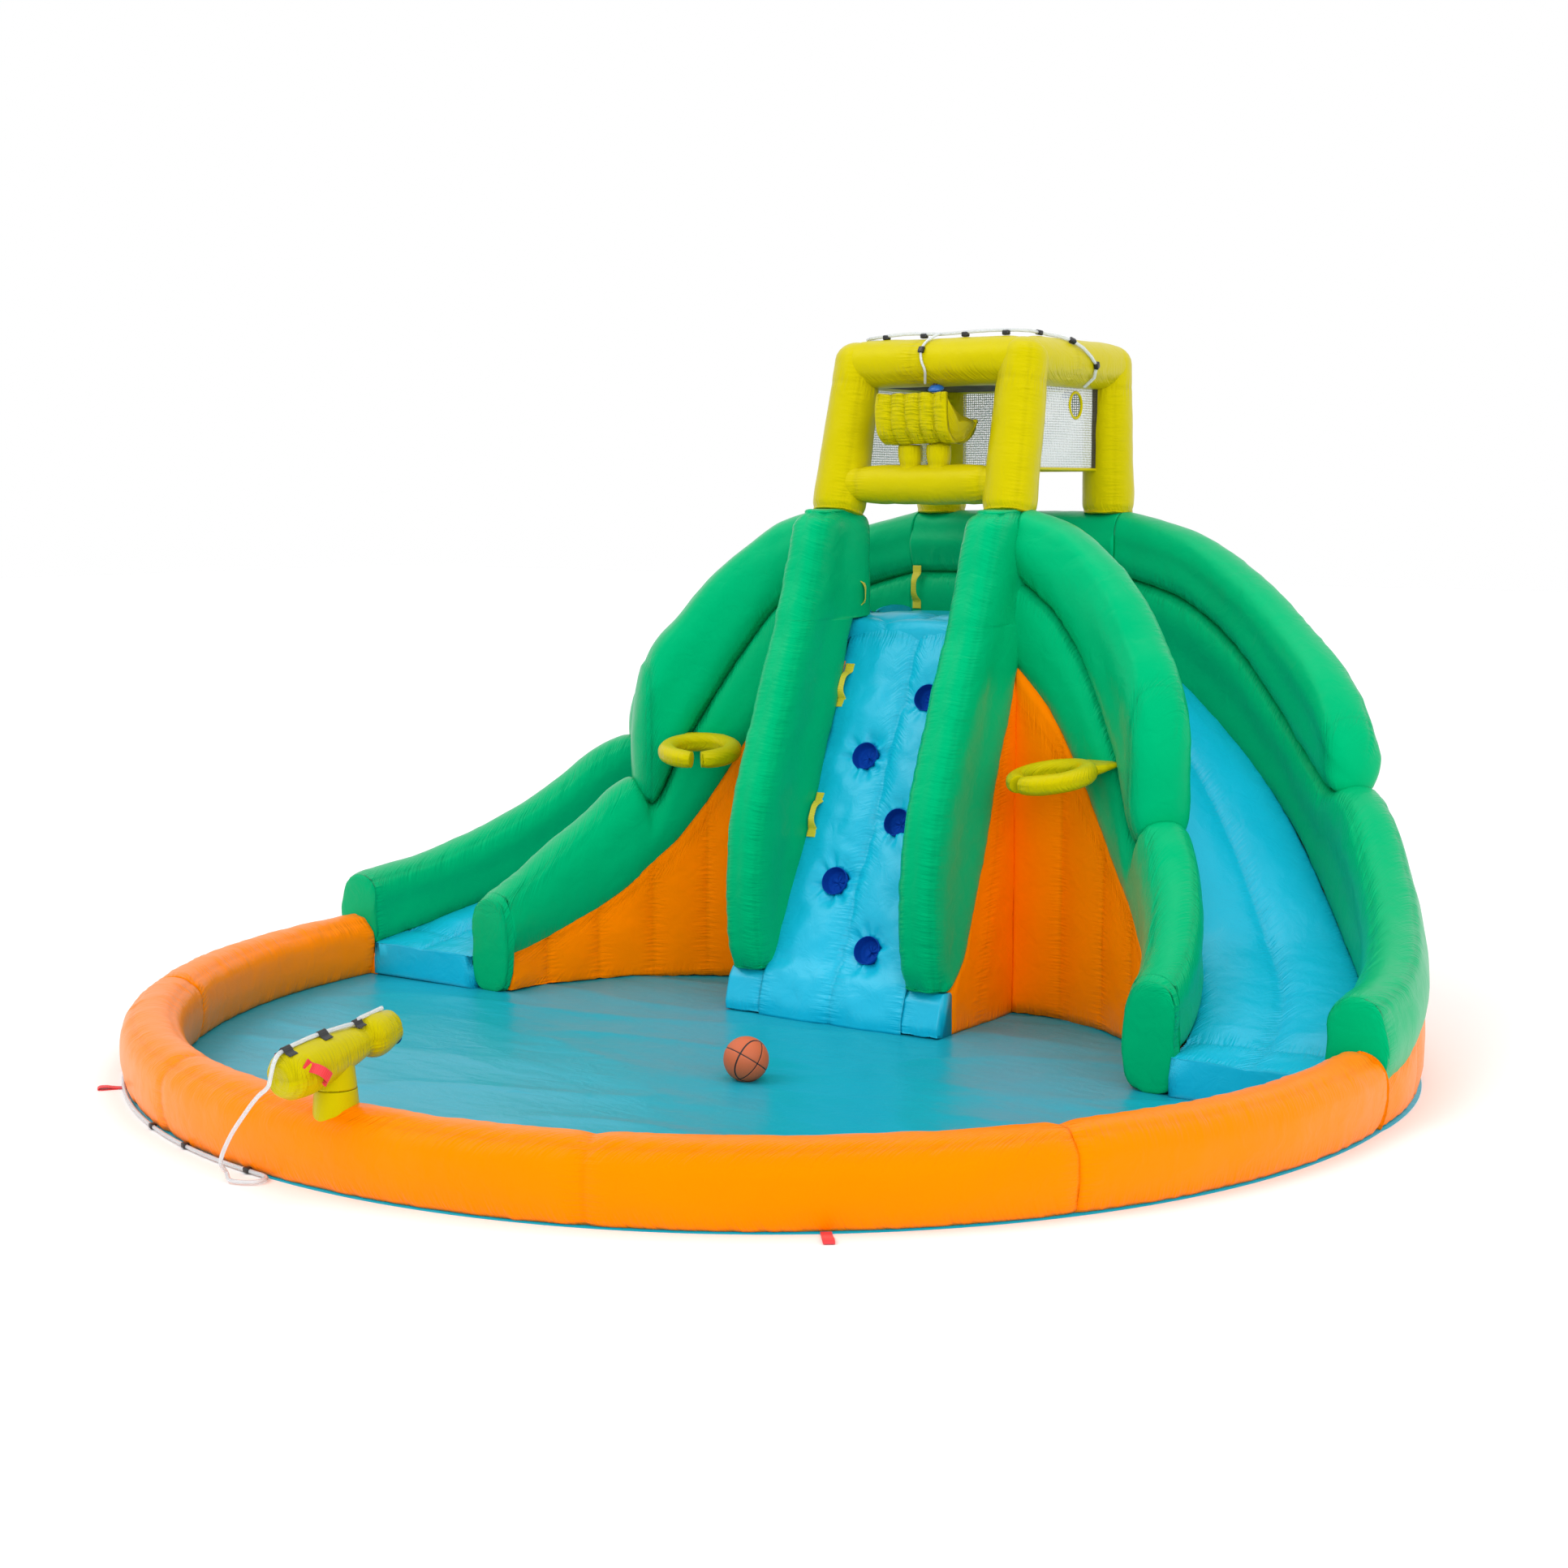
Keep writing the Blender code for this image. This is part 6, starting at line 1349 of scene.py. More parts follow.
def sprinkler_places():
    """Centres of the two spray heads."""
    reach = RING_TUBE_R + SPRINKLER_H * 0.6
    lean = math.radians(SPRINKLER_LEAN_DEG)
    return (world(SPRINKLER_X, FRONT_POST_HEAD[1] - reach * math.sin(lean),
                  RING_TUBE_Z - reach * math.cos(lean)),
            world(FRONT_POST_HEAD[0] - 0.003 - SPRINKLER_HALF * 0.6, SPRINKLER_SIDE_Y, RING_TUBE_Z - reach))


def turned_piece(name, profile, place, axis, finish, node="", body="root"):
    """A turned piece: a profile of (radius, height) spun about its axis."""
    bm = bmesh.new()
    verts = [bm.verts.new((r, 0, h)) for r, h in profile]
    edges = [bm.edges.new(pair) for pair in zip(verts, verts[1:])]
    bmesh.ops.spin(bm, geom=verts + edges, cent=(0, 0, 0), axis=(0, 0, 1), angle=2 * math.pi, steps=32,
                   use_merge=True)
    bmesh.ops.remove_doubles(bm, verts=bm.verts, dist=1e-6)
    turn = Vector(axis).to_track_quat("Z", "Y").to_matrix().to_4x4()
    bmesh.ops.transform(bm, matrix=Matrix.Translation(Vector(place)) @ turn, verts=bm.verts)
    mesh = mesh_of(bm, name)
    mesh.set_sharp_from_angle(angle=math.radians(40))
    place_piece(name, mesh, finish, "blue_plastic", node, body)


def build_sprinklers():
    """Two moulded spray heads with white spray plates."""
    front, side = sprinkler_places()
    head = [(0.0005, 0.013), (0.012, 0.012), (0.020, 0.008), (0.028, 0.001), (0.030, -0.004),
            (0.027, -0.009), (0.018, -0.011), (0.0005, -0.011)]
    for place, hand, size in ((front, "front", 1.0), (side - UP * SPRINKLER_H * 0.6, "side", 0.8)):
        for part, profile, finish in (
                ("head", [(r * size, h) for r, h in head], moulded_plastic("plastic")),
                ("plate", [(0.0005, -0.010), (0.014, -0.0105), (0.017, -0.013), (0.014, -0.016),
                           (0.006, -0.015), (0.0005, -0.013)], moulded_plastic("white", "F2F4F5")),
                ("collar", [(0.0005, 0.019), (0.007, 0.018), (0.008, 0.013), (0.013, 0.011),
                            (0.0005, 0.010)], moulded_plastic("black"))):
            turned_piece("sprinkler_%s_%s" % (hand, part), profile, place, (0, -0.3, 1), finish,
                         "sprinkler_" + hand if part == "head" else "")


# Cannon
def cannon_frame():
    """Foot of the stump's axis, the barrel's rear end, its direction and the way square to it."""
    y = -RING_SETBACK - RING_R - STUMP_OUTSET
    pitch = math.radians(CANNON_PITCH_DEG)
    axis = np.array((0, math.cos(pitch), math.sin(pitch)))
    return world(0, y, 0), world(0, y, CANNON_AXIS_Z) - axis * CANNON_BACK, axis, unit(UP - axis * axis[2])


def barrel_radius(share):
    """Radius of the barrel at a share of its length."""
    return CANNON_BULB_R * float(np.interp(share, *zip(*BARREL_SHARES[1:-1])))


def build_cannon():
    """The water cannon: stump, barrel with its neck, nozzle, straps and handles."""
    foot, rear, axis, square = cannon_frame()
    side = np.array((1.0, 0, 0))
    for part, z0, z1, r0, r1, seed, node, body, lifts, cross in (
            ("stump", RING_HEIGHT + FLOOR - STUMP_SINK * 1.9, STUMP_JOINT_Z - 0.001, STUMP_R, STUMP_TOP_R,
             91, "cannon_stump", "root", (0, 0.0002), [(5, 0.5)]),
            ("neck", STUMP_JOINT_Z + 0.001, CANNON_AXIS_Z - 0.01, STUMP_TOP_R, NECK_TOP_R, 92, "", "cannon",
             (0.0002, 0), [])):
        line = straight(foot + UP * z0, foot + UP * z1, 0.005)
        sewn("cannon_%s_skin" % part, tube_rows(line, np.linspace(r0, r1, len(line))), "yellow", node, body,
             cross=cross, seams=[(0.1, 0.5)], seed=seed, soft=0.6, lifts=lifts)

    profile, _ = spaced(np.array(BARREL_SHARES) * (CANNON_LENGTH, CANNON_BULB_R), 90, closed=False)
    profile = np.maximum(profile, (0.0, 0.0008))
    cross = [(int(np.argmin(np.abs(profile[:, 0] - at * CANNON_LENGTH) + (profile[:, 1] < thin))), depth)
             for at, thin, depth in ((0.72, 0.03, 0.8), (0.04, 0.04, 0.5), (0.97, 0.03, 0.5))]
    sewn("cannon_barrel_skin", [circle(rear + axis * at, r, side, np.cross(axis, side), 44)
                                for at, r in profile], "yellow", "cannon_barrel", "cannon",
         seams=[(0.0, 0.5), (0.5, 0.5)], cross=cross, seed=93, soft=0.7)

    shell = [(0.0005, -0.004), (NOZZLE_R * 0.8, -0.004), (NOZZLE_R, 0.0), (NOZZLE_R * 1.15, 0.012),
             (NOZZLE_R * 1.3, NOZZLE_LENGTH - 0.001), (NOZZLE_R * 1.15, NOZZLE_LENGTH),
             (NOZZLE_R * 0.9, NOZZLE_LENGTH - 0.008), (0.0005, NOZZLE_LENGTH - 0.010)]
    turned_piece("cannon_nozzle_shell", shell,
                 rear + axis * (CANNON_LENGTH - NOZZLE_LENGTH * 0.6) - UP * NOZZLE_R, axis * 3 - UP,
                 moulded_plastic("navy", "16386F"), "cannon_nozzle", "cannon")

    for k, share in enumerate((0.10, 0.40, 0.70)):
        reach = barrel_radius(share) + 0.0025
        spots = [rear + axis * share * CANNON_LENGTH + (square * math.cos(t) + side * math.sin(t)) * reach
                 + square * lift for t, lift in zip(np.radians(np.linspace(-26, 26, 9)),
                                                    (0, 0, 0, 0.008, 0.0135, 0.008, 0, 0, 0))]
        strap("cannon_loop_%d" % (k + 1), spots, axis, CANNON_LOOP_WIDTH, "black", "", "cannon")

    for sign, hand in HANDS:
        handle("cannon_handle_" + hand, rear + axis * CANNON_HANDLE_AT + side * sign * CANNON_BULB_R,
               unit(axis - UP), side * sign, CANNON_HANDLE_LENGTH, "red", "cannon",
               CANNON_HANDLE_BEND, plain=True)


# Straps
def strap(name, points, across, width, key, node="", body="root", widths=(1, 1), twists=(0, 0)):
    """A flat strap along a route, a strip with thickness."""
    line, _ = spaced(points, STRAP_POINTS, closed=False)
    at = np.linspace(0, 1, STRAP_POINTS)
    wide = width * np.interp(at, np.linspace(0, 1, len(widths)), widths)
    turn = np.interp(at, np.linspace(0, 1, len(twists)), twists)
    run = unit(np.gradient(line, axis=0))
    rows = []
    for p, d, w, t in zip(line, run, wide, turn):
        flat = unit(across - d * np.dot(across, d))
        way = flat * math.cos(t) + np.cross(d, flat) * math.sin(t)
        rows.append([p + way * w * (s - 0.5) for s in np.linspace(0, 1, 7)])
    rows = np.array(rows)
    uv = np.dstack(np.broadcast_arrays(run_length(line)[:, None], np.linspace(0, width, 7)[None, :]))
    blank = np.zeros(rows.shape[:2])
    obj = place_piece(name, cloth_mesh(name, [rows, uv, blank, blank], caps=False), webbing(key),
                      "handle_webbing" if key == "strap" else "red_webbing", node, body, STRAP_T, 0)
    edge = obj.modifiers.new("edge", "BEVEL")
    edge.width, edge.segments = 0.0006, 1


def mirrored(values):
    """Values out to a middle one, and back."""
    return (*values, *values[-2::-1])


def handle(name, centre, along, out, size, key, body="root", bend_in=0.0, plain=False):
    """A webbing handle: two stitched tabs and a folded grip between them."""
    along = np.array(along, float)
    out = unit(out - along * out.dot(along))
    half, tab = size / 2, size * TAB_SHARE
    rise = mirrored((0.0025, 0.0025, 0.003, HANDLE_RISE * 0.55, HANDLE_RISE, HANDLE_RISE * 1.1))
    at = [-half, -half + tab * 0.5, -half + tab, -half + tab * 1.35, -half + tab * 1.9, 0]
    at += [-s for s in at[-2::-1]]
    points = [centre + along * s + out * (h - bend_in * (abs(s) > half - tab * 1.05))
              for s, h in zip(at, rise)]
    look = {} if plain else {"widths": mirrored((1.35, 1.35, 1.25, 0.85, 0.72, 0.70)),
                             "twists": (0, 0, 0.05, 0.25, 0.5, 0.45, 0.35, 0.2, 0.05, 0, 0)}
    strap(name + "_webbing", points, np.cross(along, out), HANDLE_WIDTH, key, name, body, **look)


def build_handles():
    """Five webbing handles: three on the slope, one on a side tube and one on the back wall."""
    inset = LANE_HALF - HANDLE_WIDTH
    for name, x, z in (("handle_low", -inset * 0.94, HANDLE_LOW_Z),
                       ("handle_mid", inset * 0.63, HANDLE_MID_Z), ("handle_high", -inset, HANDLE_HIGH_Z)):
        handle(name, world(x, lane_y(z), z) + LANE_OUT * float(lane_crown(x, z)), LANE_UP, LANE_OUT,
               HANDLE_LENGTH, "strap")
    stand = DECK_HEIGHT + HANDLE_LENGTH / 2 + HANDLE_T
    handle("handle_side", world(-LANE_HALF + 0.004, HANDLE_SIDE_Y, stand), UP, np.array((1.0, 0, 0)),
           HANDLE_LENGTH, "strap")
    handle("handle_back", world(-SLIDE_X + HANDLE_WIDTH, SLIDE_Y + radius_out(90, 2), stand), UP,
           np.array((0, -1.0, 0)), HANDLE_LENGTH, "strap")


# Hoops, ball, anchors and sleeve
def build_hoops():
    """Two inflated basket hoops with a slit in front, each on a welded flap."""
    tilt, turn = math.radians(HOOP_TILT_DEG), math.radians(HOOP_AT_DEG)
    slit = math.radians(HOOP_SLIT_DEG / 2) + 0.03
    first, far = HOOP_MAJOR + 0.012, radius_out(HOOP_AT_DEG, 0) + 0.015 - HOOP_REACH
    for side, hand in HANDS:
        out = np.array((side * math.cos(turn), math.sin(turn), 0)) * math.cos(tilt) + UP * math.sin(tilt)
        across = np.array((-side * math.sin(turn), math.cos(turn), 0.0))
        centre = on_arc(side, HOOP_AT_DEG, HOOP_REACH, HOOP_Z)
        normal = np.cross(out, across)
        rows = []
        for a in np.linspace(math.pi + slit, 3 * math.pi - slit, 110):
            away = out * math.cos(a) + across * math.sin(a)
            rows.append(circle(centre + away * HOOP_MAJOR, HOOP_TUBE_R, unit(away), normal, 32, 0.92))
        sewn("hoop_%s_skin" % hand, rows, "yellow", "hoop_" + hand, seams=[(0.5, 11 / 12), (0.0, 0.5)],
             cross=[(0, 2 / 3), (len(rows) - 1, 2 / 3)], seed=95 + side, soft=0.5, lifts=(0.006, 0.006))
        flap = []
        for r in np.linspace(first, far, 12):
            thin = np.interp(r, (first, far), FLAP_HALF_T)
            flap.append([centre + out * r + normal * math.sin(a) * thin + across * math.copysign(
                abs(math.cos(a)) ** 0.25, math.cos(a)) * FLAP_WIDTH / 2 for a in round_angles(40)])
        sewn("hoop_%s_flap" % hand, flap, "yellow", seed=97 + side, soft=0.6,
             cross=[(1, 1 / 3), (6, 1 / 6)])


def build_ball():
    """The toy ball with four channels."""
    bm = bmesh.new()
    bmesh.ops.create_icosphere(bm, subdivisions=6, radius=BALL_R)
    layer = bm.verts.layers.float.new("seam")
    turn = Matrix.Rotation(math.radians(35), 3, "X") @ Matrix.Rotation(math.radians(25), 3, "Z")
    for v in bm.verts:
        p = turn @ (v.co / BALL_R)
        curve = abs(abs(p.x) - 0.62 + 0.30 * p.z * p.z)
        v[layer] = math.exp(-(min(abs(p.y), abs(p.z), curve * 0.85) * BALL_R / BALL_CHANNEL_WIDTH) ** 2)
        v.co -= v.co.normalized() * BALL_CHANNEL_DEPTH * v[layer]
    bmesh.ops.translate(bm, vec=Vector(world(*BALL_PLACE, FLOOR + BALL_R)), verts=bm.verts)
    place_piece("ball_skin", mesh_of(bm, "ball_skin"), pebbled_rubber(), "ball_skin", "ball", "ball")


def build_anchors():
    """Two red stake straps that lie at the base sheet's edge."""
    start = RING_R + RING_WIDTH / 2 * RING_FOOT_SHARE + SHEET_HEM + GAP
    for side, hand in HANDS:
        turn = math.radians(ANCHOR_DEG) * side
        out = np.array((math.sin(turn), -math.cos(turn), 0.0))
        points = [world(0, -RING_SETBACK, h) + out * (start - 0.014 + (STRAP_LENGTH + 0.010) * s)
                  for s, h in ((0.0, 0.0045), (0.25, 0.003), (0.5, 0.006), (0.75, 0.010), (0.95, 0.008),
                               (1.0, 0.004), (0.90, 0.0018), (0.6, 0.0018), (0.35, 0.0018))]
        strap("anchor_%s_webbing" % hand, points, np.cross(UP, out), STRAP_WIDTH, "red", "anchor_" + hand)


def build_sleeve():
    """The soft orange sleeve at the back that the air comes in by."""
    y = SLIDE_Y + radius_out(90, 3) - PANEL_INSET
    line = straight(world(0, y - 0.006, SLEEVE_Z), world(0, y + SLEEVE_LENGTH, SLEEVE_Z), 0.007)
    a = round_angles(56)
    rows = []
    for s, p in zip(np.linspace(0, 1, len(line)), line):
        r = SLEEVE_R * (1 - 0.05 * s * ripple(a * 3.5 + s * 1.5, 15)) * (1 - 0.04 * s)
        rows.append(p - UP * 0.006 * s * s + np.stack([r * np.cos(a), 0 * a, r * np.sin(a)], axis=1))
    sewn("inflation_sleeve_skin", rows, "orange", "inflation_sleeve", caps=False, thick=SLEEVE_T,
         cross=[(2, 0.5), (len(line) - 3, 0.5)], seams=[(0.75, 0.5)], seed=17)


# Hoses
LOW = SHEET_T + HOSE_R + GAP       # height of a hose that lies on the base sheet


def route_of(points, count):
    """A hose's smooth route, kept above the base sheet."""
    route, _ = spaced(points, count, closed=False)
    route[:, 2] = np.maximum(route[:, 2], LOW)
    return route


def pipe(node, points, radius=HOSE_R, body="root"):
    """A clear hose along a route."""
    route = route_of(points, max(24, 3 * len(points)))
    rows = domed(tube_rows(route, radius, 14), (radius * 0.3, radius * 0.3), 0.0)
    closed = np.concatenate([rows, rows[:, :1]], axis=1)
    blank = np.zeros(closed.shape[:2])
    uv = np.dstack(np.meshgrid(np.arange(closed.shape[1]) * 0.003, np.arange(closed.shape[0]) * 0.01))
    place_piece(node + "_pipe", cloth_mesh(node + "_pipe", [closed, uv, blank, blank]), clear_pvc(),
                "clear_hose", node, body)
    return route


def clip(name, place, along, out, size=1.0):
    """A black moulded clip that holds a hose to the cloth."""
    along, out = (Vector(v).normalized() for v in (along, out))
    bm = bmesh.new()
    bmesh.ops.create_cube(bm, size=1.0)
    bmesh.ops.scale(bm, vec=[side * size for side in CLIP_SIZE], verts=bm.verts)
    bmesh.ops.bevel(bm, geom=bm.edges[:], offset=CLIP_ROUND * size, segments=3, profile=0.5, affect="EDGES",
                    material=-1)
    basis = Matrix((along, along.cross(out).normalized(), out)).transposed().to_4x4()
    bmesh.ops.transform(bm, matrix=Matrix.Translation(Vector(place)) @ basis, verts=bm.verts)
    place_piece("hose_clip_" + name, mesh_of(bm, name), moulded_plastic("black"), "blue_plastic")


def at_foot(degrees, z=LOW):
    """A place on the floor just outside the pool ring."""
    foot, t = RING_R + RING_WIDTH / 2 * RING_FOOT_SHARE + HOSE_R + HOSE_STAND_OFF, math.radians(degrees)
    return world(-foot * math.sin(t), -foot * math.cos(t) - RING_SETBACK, z)


def feed_route(top):
    """Route of the feed hose: round the ring and the slide, up a post and over the tower."""
    back = SLIDE_Y + radius_out(90, 3) + HOSE_R + HOSE_STAND_OFF + TUBE_BULGE
    (px, py), (fx, fy) = REAR_POST_HEAD, FRONT_POST_HEAD
    over, span = HOSE_R + HOSE_CLEAR, FRONT_POST_HEAD[0] - RING_TUBE_R
    reach = RING_TUBE_R + over
    line = [(-px - HOSE_BEND * 0.5, back, LOW + HOSE_BEND * 0.06),
            (-px - HOSE_BEND * 0.12, back, LOW + HOSE_BEND * 0.45), (-px, back, LOW + HOSE_BEND * 1.3)]
    line += [(-px, back, WALL_TOP * share) for share in (0.35, 0.7, 0.97)]
    line += [(-px, py + POST_R + over * 2, WALL_TOP + POST_R),
             (-px, py + POST_TOP_R + over * 2, RING_TUBE_Z - RING_TUBE_R * 1.4)]
    line += [(-px, py + reach * math.cos(a), RING_TUBE_Z + reach * math.sin(a))
             for a in np.radians((-8, 15, 40, 65, 90))]
    line += [(-px, (py + fy) / 2, top), (-fx, fy + RING_TUBE_R, top),
             (-fx + RING_CORNER_R * 0.5, fy + RING_CORNER_R * 0.5, top)]
    line += [(x, fy, top + HOSE_WAVE * wave) for x, wave in (
        (-span, 0.3), (-span * 0.5, 1), (SPRINKLER_X, 0.5), (span * 0.4, 0.8), (span * 0.8, 1))]
    line.append((fx - RING_CORNER_R * 0.3, fy + RING_CORNER_R, top + HOSE_WAVE * 0.8))
    for k, t in enumerate(np.radians((85, 60, 35, 10, -15, -40, -62))):
        wide = reach + HOSE_WAVE * 0.5 * math.sin(math.pi * k / 6)
        line.append((fx + wide * math.cos(t), fy + (SPRINKLER_SIDE_Y - fy) * min(1.0, 0.45 + 0.14 * k),
                     RING_TUBE_Z + wide * math.sin(t)))
    return ([at_foot(a) for a in np.linspace(HOSE_CLIP_DEG, 86, 22)]
            + [on_arc(-1, a, radius_out(a, 3) + HOSE_R + HOSE_STAND_OFF, LOW)
               for a in np.linspace(4, 90, 15)]
            + [world(*p) for p in line])


def drop_route(top):
    """Route of the thin hose from the feed to the front spray head."""
    thin, fy = HOSE_R * HOSE_THIN_SHARE, FRONT_POST_HEAD[1]
    reach, tee = RING_TUBE_R + thin + GAP * 3, fy - HOSE_R - GAP * 2
    drop = [(SPRINKLER_X, tee, top + HOSE_WAVE * 0.5), (SPRINKLER_X, tee - thin * 2, top + HOSE_WAVE * 0.4)]
    drop += [(SPRINKLER_X - HOSE_BEND * 0.55 * math.sin(math.pi * a / 125),
              fy - reach * math.sin(math.radians(a)), RING_TUBE_Z + reach * math.cos(math.radians(a)))
             for a in np.linspace(30, 105, 8)]
    end = sprinkler_places()[0] + (-SPRINKLER_HALF * 0.8, -SPRINKLER_HALF * 0.9, SPRINKLER_H * 0.9)
    return [world(*p) for p in drop] + [end]


def cannon_routes():
    """Routes of the cannon's own hose and of the free stretch to the ring's foot."""
    _, rear, axis, square = cannon_frame()
    lift = HOSE_R + GAP * 2
    gun = []
    for s in (0.93, 0.84, 0.76, 0.73, 0.68, 0.60, 0.52, 0.45, 0.37, 0.30, 0.22, 0.14, 0.09, 0.04):
        r = max(barrel_radius(s + shift) for shift in (-0.02, 0.0, 0.02))
        gun.append(rear + axis * CANNON_LENGTH * s + square * (r + lift))
    turn = rear - axis * lift * 1.5 + square * CANNON_BULB_R * 0.60
    away = unit(square * -2.0 - axis)
    gun += [turn + away * HOSE_R * far for far in (0, 2, 4)]
    start, last, t = gun[-1] + away * GAP * 2, at_foot(HOSE_CLIP_DEG), math.radians(HOSE_CLIP_DEG)
    back_along = np.array((math.cos(t), -math.sin(t), 0.0))
    free = [start + away * far for far in (0, 0.010, 0.020)]
    free += [start + p for p in ((-0.026, -0.020, -0.050), (-0.095, -0.010, -0.115),
                                 (-0.170, 0.008, -0.190), (-0.230, 0.028, -0.268))]
    free += [last + p for p in ((-0.040, -0.072, 0.010), (-0.012, -0.088, 0), (0.030, -0.080, 0),
                                (0.062, -0.050, 0), (0.056, -0.020, 0))]
    return gun, free + [last + back_along * 0.020, last + back_along * GAP * 3]


def build_hoses():
    """Clear hoses with their clips, and the free stretch from the cannon to the ring's foot."""
    top = RING_TUBE_Z + RING_TUBE_R + HOSE_R + HOSE_CLEAR
    drop, (gun, free) = drop_route(top), cannon_routes()
    feed = pipe("feed_hose", feed_route(top))
    pipe("sprinkler_hose", drop, HOSE_R * HOSE_THIN_SHARE)
    pipe("cannon_hose", gun, HOSE_R, "cannon")
    for k, x in enumerate(TOP_CLIPS_X):
        clip("top_%d" % (k + 1), world(x, FRONT_POST_HEAD[1], top + 0.002), (1, 0, 0), UP)
    run = np.gradient(feed, axis=0)
    for k, (y, a) in enumerate(SIDE_CLIPS):
        way = np.array((math.cos(math.radians(a)), 0, math.sin(math.radians(a))))
        want = world(FRONT_POST_HEAD[0], y, RING_TUBE_Z) + way * (RING_TUBE_R + 0.008)
        near = int(np.argmin(np.linalg.norm(feed - want, axis=1)))
        clip("side_%d" % (k + 1), feed[near], run[near], way)
    clip("drop", drop[5], drop[6] - drop[4], (0, -1, 0.2))
    for k, a in enumerate(FOOT_CLIPS_DEG):
        t = math.radians(a)
        clip("foot_%d" % (k + 1), at_foot(a, SHEET_T + HOSE_R + 0.002), (math.cos(t), -math.sin(t), 0), UP,
             0.9)

    cord = bpy.data.curves.new("free_hose_pipe", "CURVE")
    cord.dimensions = "3D"
    route = route_of(free, 120)
    spline = cord.splines.new("POLY")
    spline.points.add(len(route) - 1)
    for point, p in zip(spline.points, route):
        point.co = (*p, 1.0)
    cord.bevel_depth, cord.bevel_resolution, cord.use_fill_caps = HOSE_R, 4, True
    obj = place_piece("free_hose_pipe", cord, clear_pvc(), "clear_hose", "free_hose")
    tuple(route[0])
    float(run_length(route)[-1])


# Stage
def build_stage():
    """A pale studio floor, plain soft light and the camera."""
    scene = bpy.context.scene

    def put(name, data, place=(0, 0, 0), way=None):
        obj = bpy.data.objects.new(name, data)
        obj.location = place
        if way is not None:
            obj.rotation_euler = Vector(way).to_track_quat("-Z", "Y").to_euler()
        scene.collection.objects.link(obj)
        return obj
    bm = bmesh.new()
    bmesh.ops.create_grid(bm, x_segments=1, y_segments=1, size=40)
    mesh = bpy.data.meshes.new("studio_floor")
    bm.to_mesh(mesh)
    bm.free()
    mat, tree, shader, where = new_finish("matt studio floor", {
        "Base Color": linear("FFFFFF"), "Roughness": 0.9, "Specular IOR Level": 0.1})
    grain = add(tree, "TexNoise", {"Scale": 40.0, "Detail": 2.0}, {"Vector": where["Object"]})
    wire(tree, shader, {"Roughness": add(tree, "MapRange", {"To Min": 0.85, "To Max": 0.95},
                                         {"Value": grain})})
    mesh.materials.append(mat)
    put("studio_floor", mesh)

    scene.world = bpy.data.worlds.new("studio")
    scene.world.use_nodes = True
    tree = scene.world.node_tree
    back = tree.nodes["Background"]
    back.inputs["Color"].default_value = (1, 1, 1, 1)
    path = add(tree, "LightPath").outputs
    seen = path["Is Camera Ray"]
    for key in ("Is Glossy Ray", "Is Transmission Ray"):
        seen = add(tree, "Math", {"operation": "MAXIMUM"}, {0: seen, 1: path[key]})
    wire(tree, back, {"Strength": add(tree, "MapRange", {"To Min": 0.84, "To Max": 1.0}, {"Value": seen})})

    for name, way, power, angle in (("key_sun", (0.45, 0.50, -0.80), 0.8, 35),
                                    ("fill_sun", (-0.62, 0.66, -0.25), 1.5, 60)):
        sun = bpy.data.lights.new(name, "SUN")
        sun.energy, sun.angle = power, math.radians(angle)
        put(name, sun, way=way)
    for name, place, target, power in (("side_softbox", (6.5, -1.5, 4.5), (0.6, 0.2, 0.8), 30.0),
                                       ("top_softbox", (0.5, 1.0, 6.5), (0.0, 0.3, 0.5), 45.0)):
        lamp = bpy.data.lights.new(name, "AREA")
        lamp.shape, lamp.size, lamp.energy = "SQUARE", 3.0, power
        put(name, lamp, place, Vector(target) - Vector(place))

    camera = bpy.data.cameras.new("camera")
    camera.lens, camera.sensor_width = CAMERA_LENS_MM, CAMERA_SENSOR_MM
    scene.camera = put("camera", camera, CAMERA_PLACE)
    scene.camera.rotation_euler = [math.radians(a) for a in CAMERA_TURN_DEG]
    scene.view_settings.view_transform = "Standard"


def build_walls():
    """The green tubes of both slides."""
    for side, hand in HANDS:
        for inner, upper in ((True, False), (True, True), (False, False), (False, True)):
            build_wall_tube(side, hand, inner, upper)


def build_panels():
    """The orange panels of both slides."""
    for side, hand in HANDS:
        for inner in (True, False):
            build_wall_panel(side, hand, inner)


def build_lanes():
    """The lanes of both slides."""
    for side, hand in HANDS:
        build_lane(side, hand)


def operator(idname, label, action):
    """One operator class for a piece or a group of like pieces. An error in its work stops the script."""
    def execute(self, context):
        action()
        return {"FINISHED"}
    return type("WATERSLIDE_OT_" + idname, (bpy.types.Operator,), {
        "bl_idname": "water_slide." + idname, "bl_label": label, "__doc__": action.__doc__,
        "execute": execute})


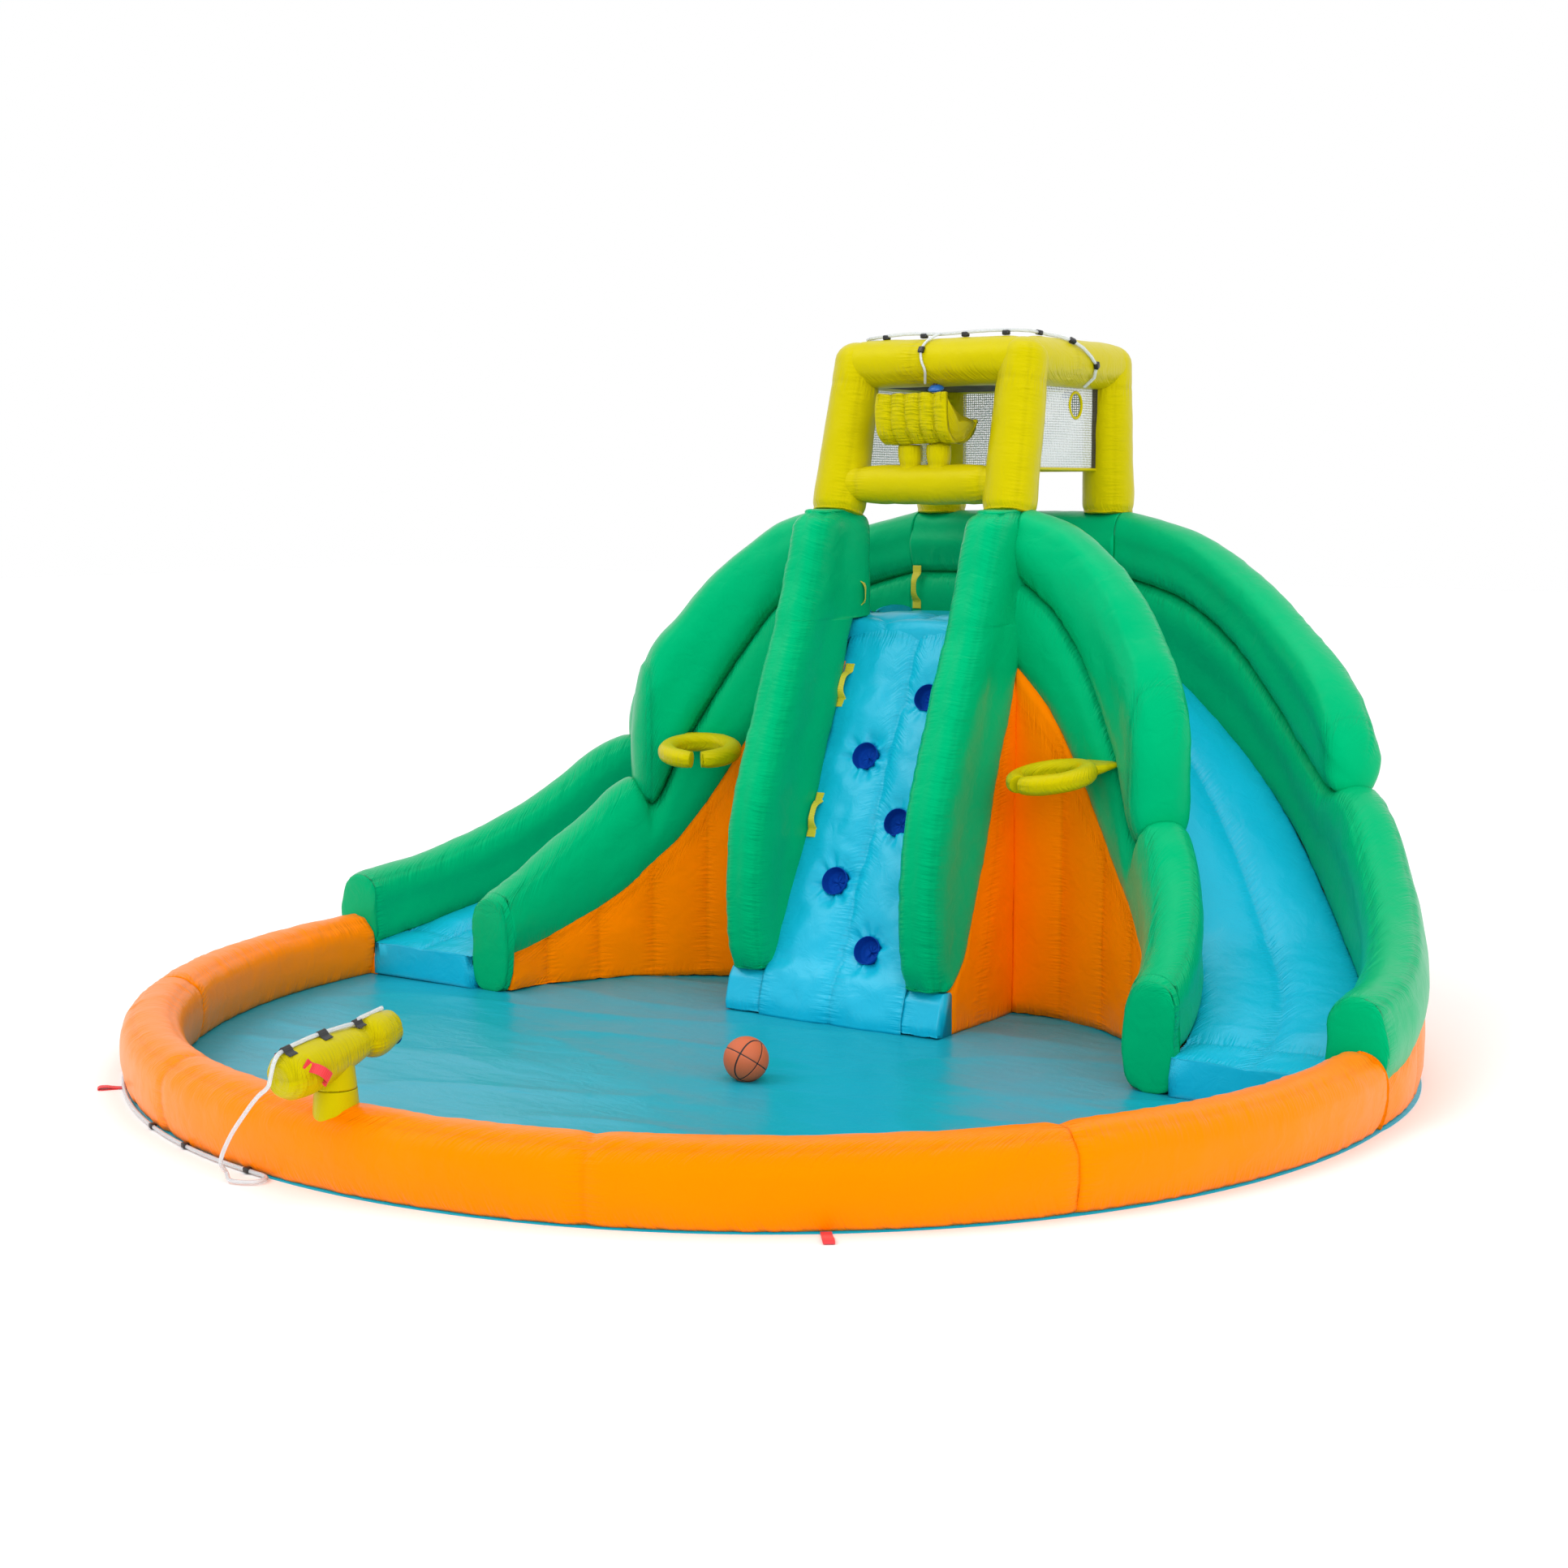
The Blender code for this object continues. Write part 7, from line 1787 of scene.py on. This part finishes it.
STEPS = [operator(*row) for row in (
    ("stage", "Stage", build_stage), ("hoses", "Hoses", build_hoses),
    ("pool_sheet", "Pool sheet", build_pool_sheet), ("pool_ring", "Pool ring", build_pool_ring),
    ("walls", "Slide walls", build_walls), ("panels", "Slide panels", build_panels),
    ("lanes", "Lanes", build_lanes), ("back", "Back wall", build_back), ("deck", "Deck", build_deck),
    ("climbing_lane", "Climbing lane", build_climbing_lane),
    ("climbing_sides", "Climbing sides", build_climbing_sides),
    ("tower_ring", "Tower ring", build_tower_ring), ("posts", "Posts", build_posts),
    ("front_bar", "Front bar", build_front_bar), ("nets", "Nets", build_nets),
    ("bucket", "Bucket", build_bucket), ("sprinklers", "Sprinklers", build_sprinklers),
    ("cannon", "Cannon", build_cannon), ("handles", "Handles", build_handles),
    ("hoops", "Hoops", build_hoops), ("ball", "Ball", build_ball), ("anchors", "Anchors", build_anchors),
    ("sleeve", "Air sleeve", build_sleeve))]


class WATERSLIDE_PT_panel(bpy.types.Panel):
    """The slide's pieces and settings."""
    bl_label = "Water slide"
    bl_space_type = "VIEW_3D"
    bl_region_type = "UI"
    bl_category = "Water slide"

    def draw(self, context):
        """Lists a button for each piece, and the settings."""
        for step in STEPS:
            self.layout.operator(step.bl_idname)
        for group in (context.scene.water_slide_sizes, context.scene.water_slide_colours):
            box = self.layout.box()
            for key in group.bl_rna.properties.keys():
                if key not in ("name", "rna_type"):
                    box.prop(group, key)


CLASSES = [WaterSlideColours, WaterSlideSizes, *STEPS, WATERSLIDE_PT_panel]


def register():
    """Registers the classes and puts the settings on the scene."""
    for cls in CLASSES:
        bpy.utils.register_class(cls)
    bpy.types.Scene.water_slide_colours = bpy.props.PointerProperty(type=WaterSlideColours)
    bpy.types.Scene.water_slide_sizes = bpy.props.PointerProperty(type=WaterSlideSizes)


def unregister():
    """Takes the settings and the classes away again."""
    del bpy.types.Scene.water_slide_sizes
    del bpy.types.Scene.water_slide_colours
    for cls in reversed(CLASSES):
        bpy.utils.unregister_class(cls)


def main():
    """Builds every piece in order and writes the boxes of the solids and of the skins."""
    register()
    for step in STEPS:
        group, name = step.bl_idname.split(".")
        getattr(getattr(bpy.ops, group), name)()


if __name__ == "__main__":
    main()
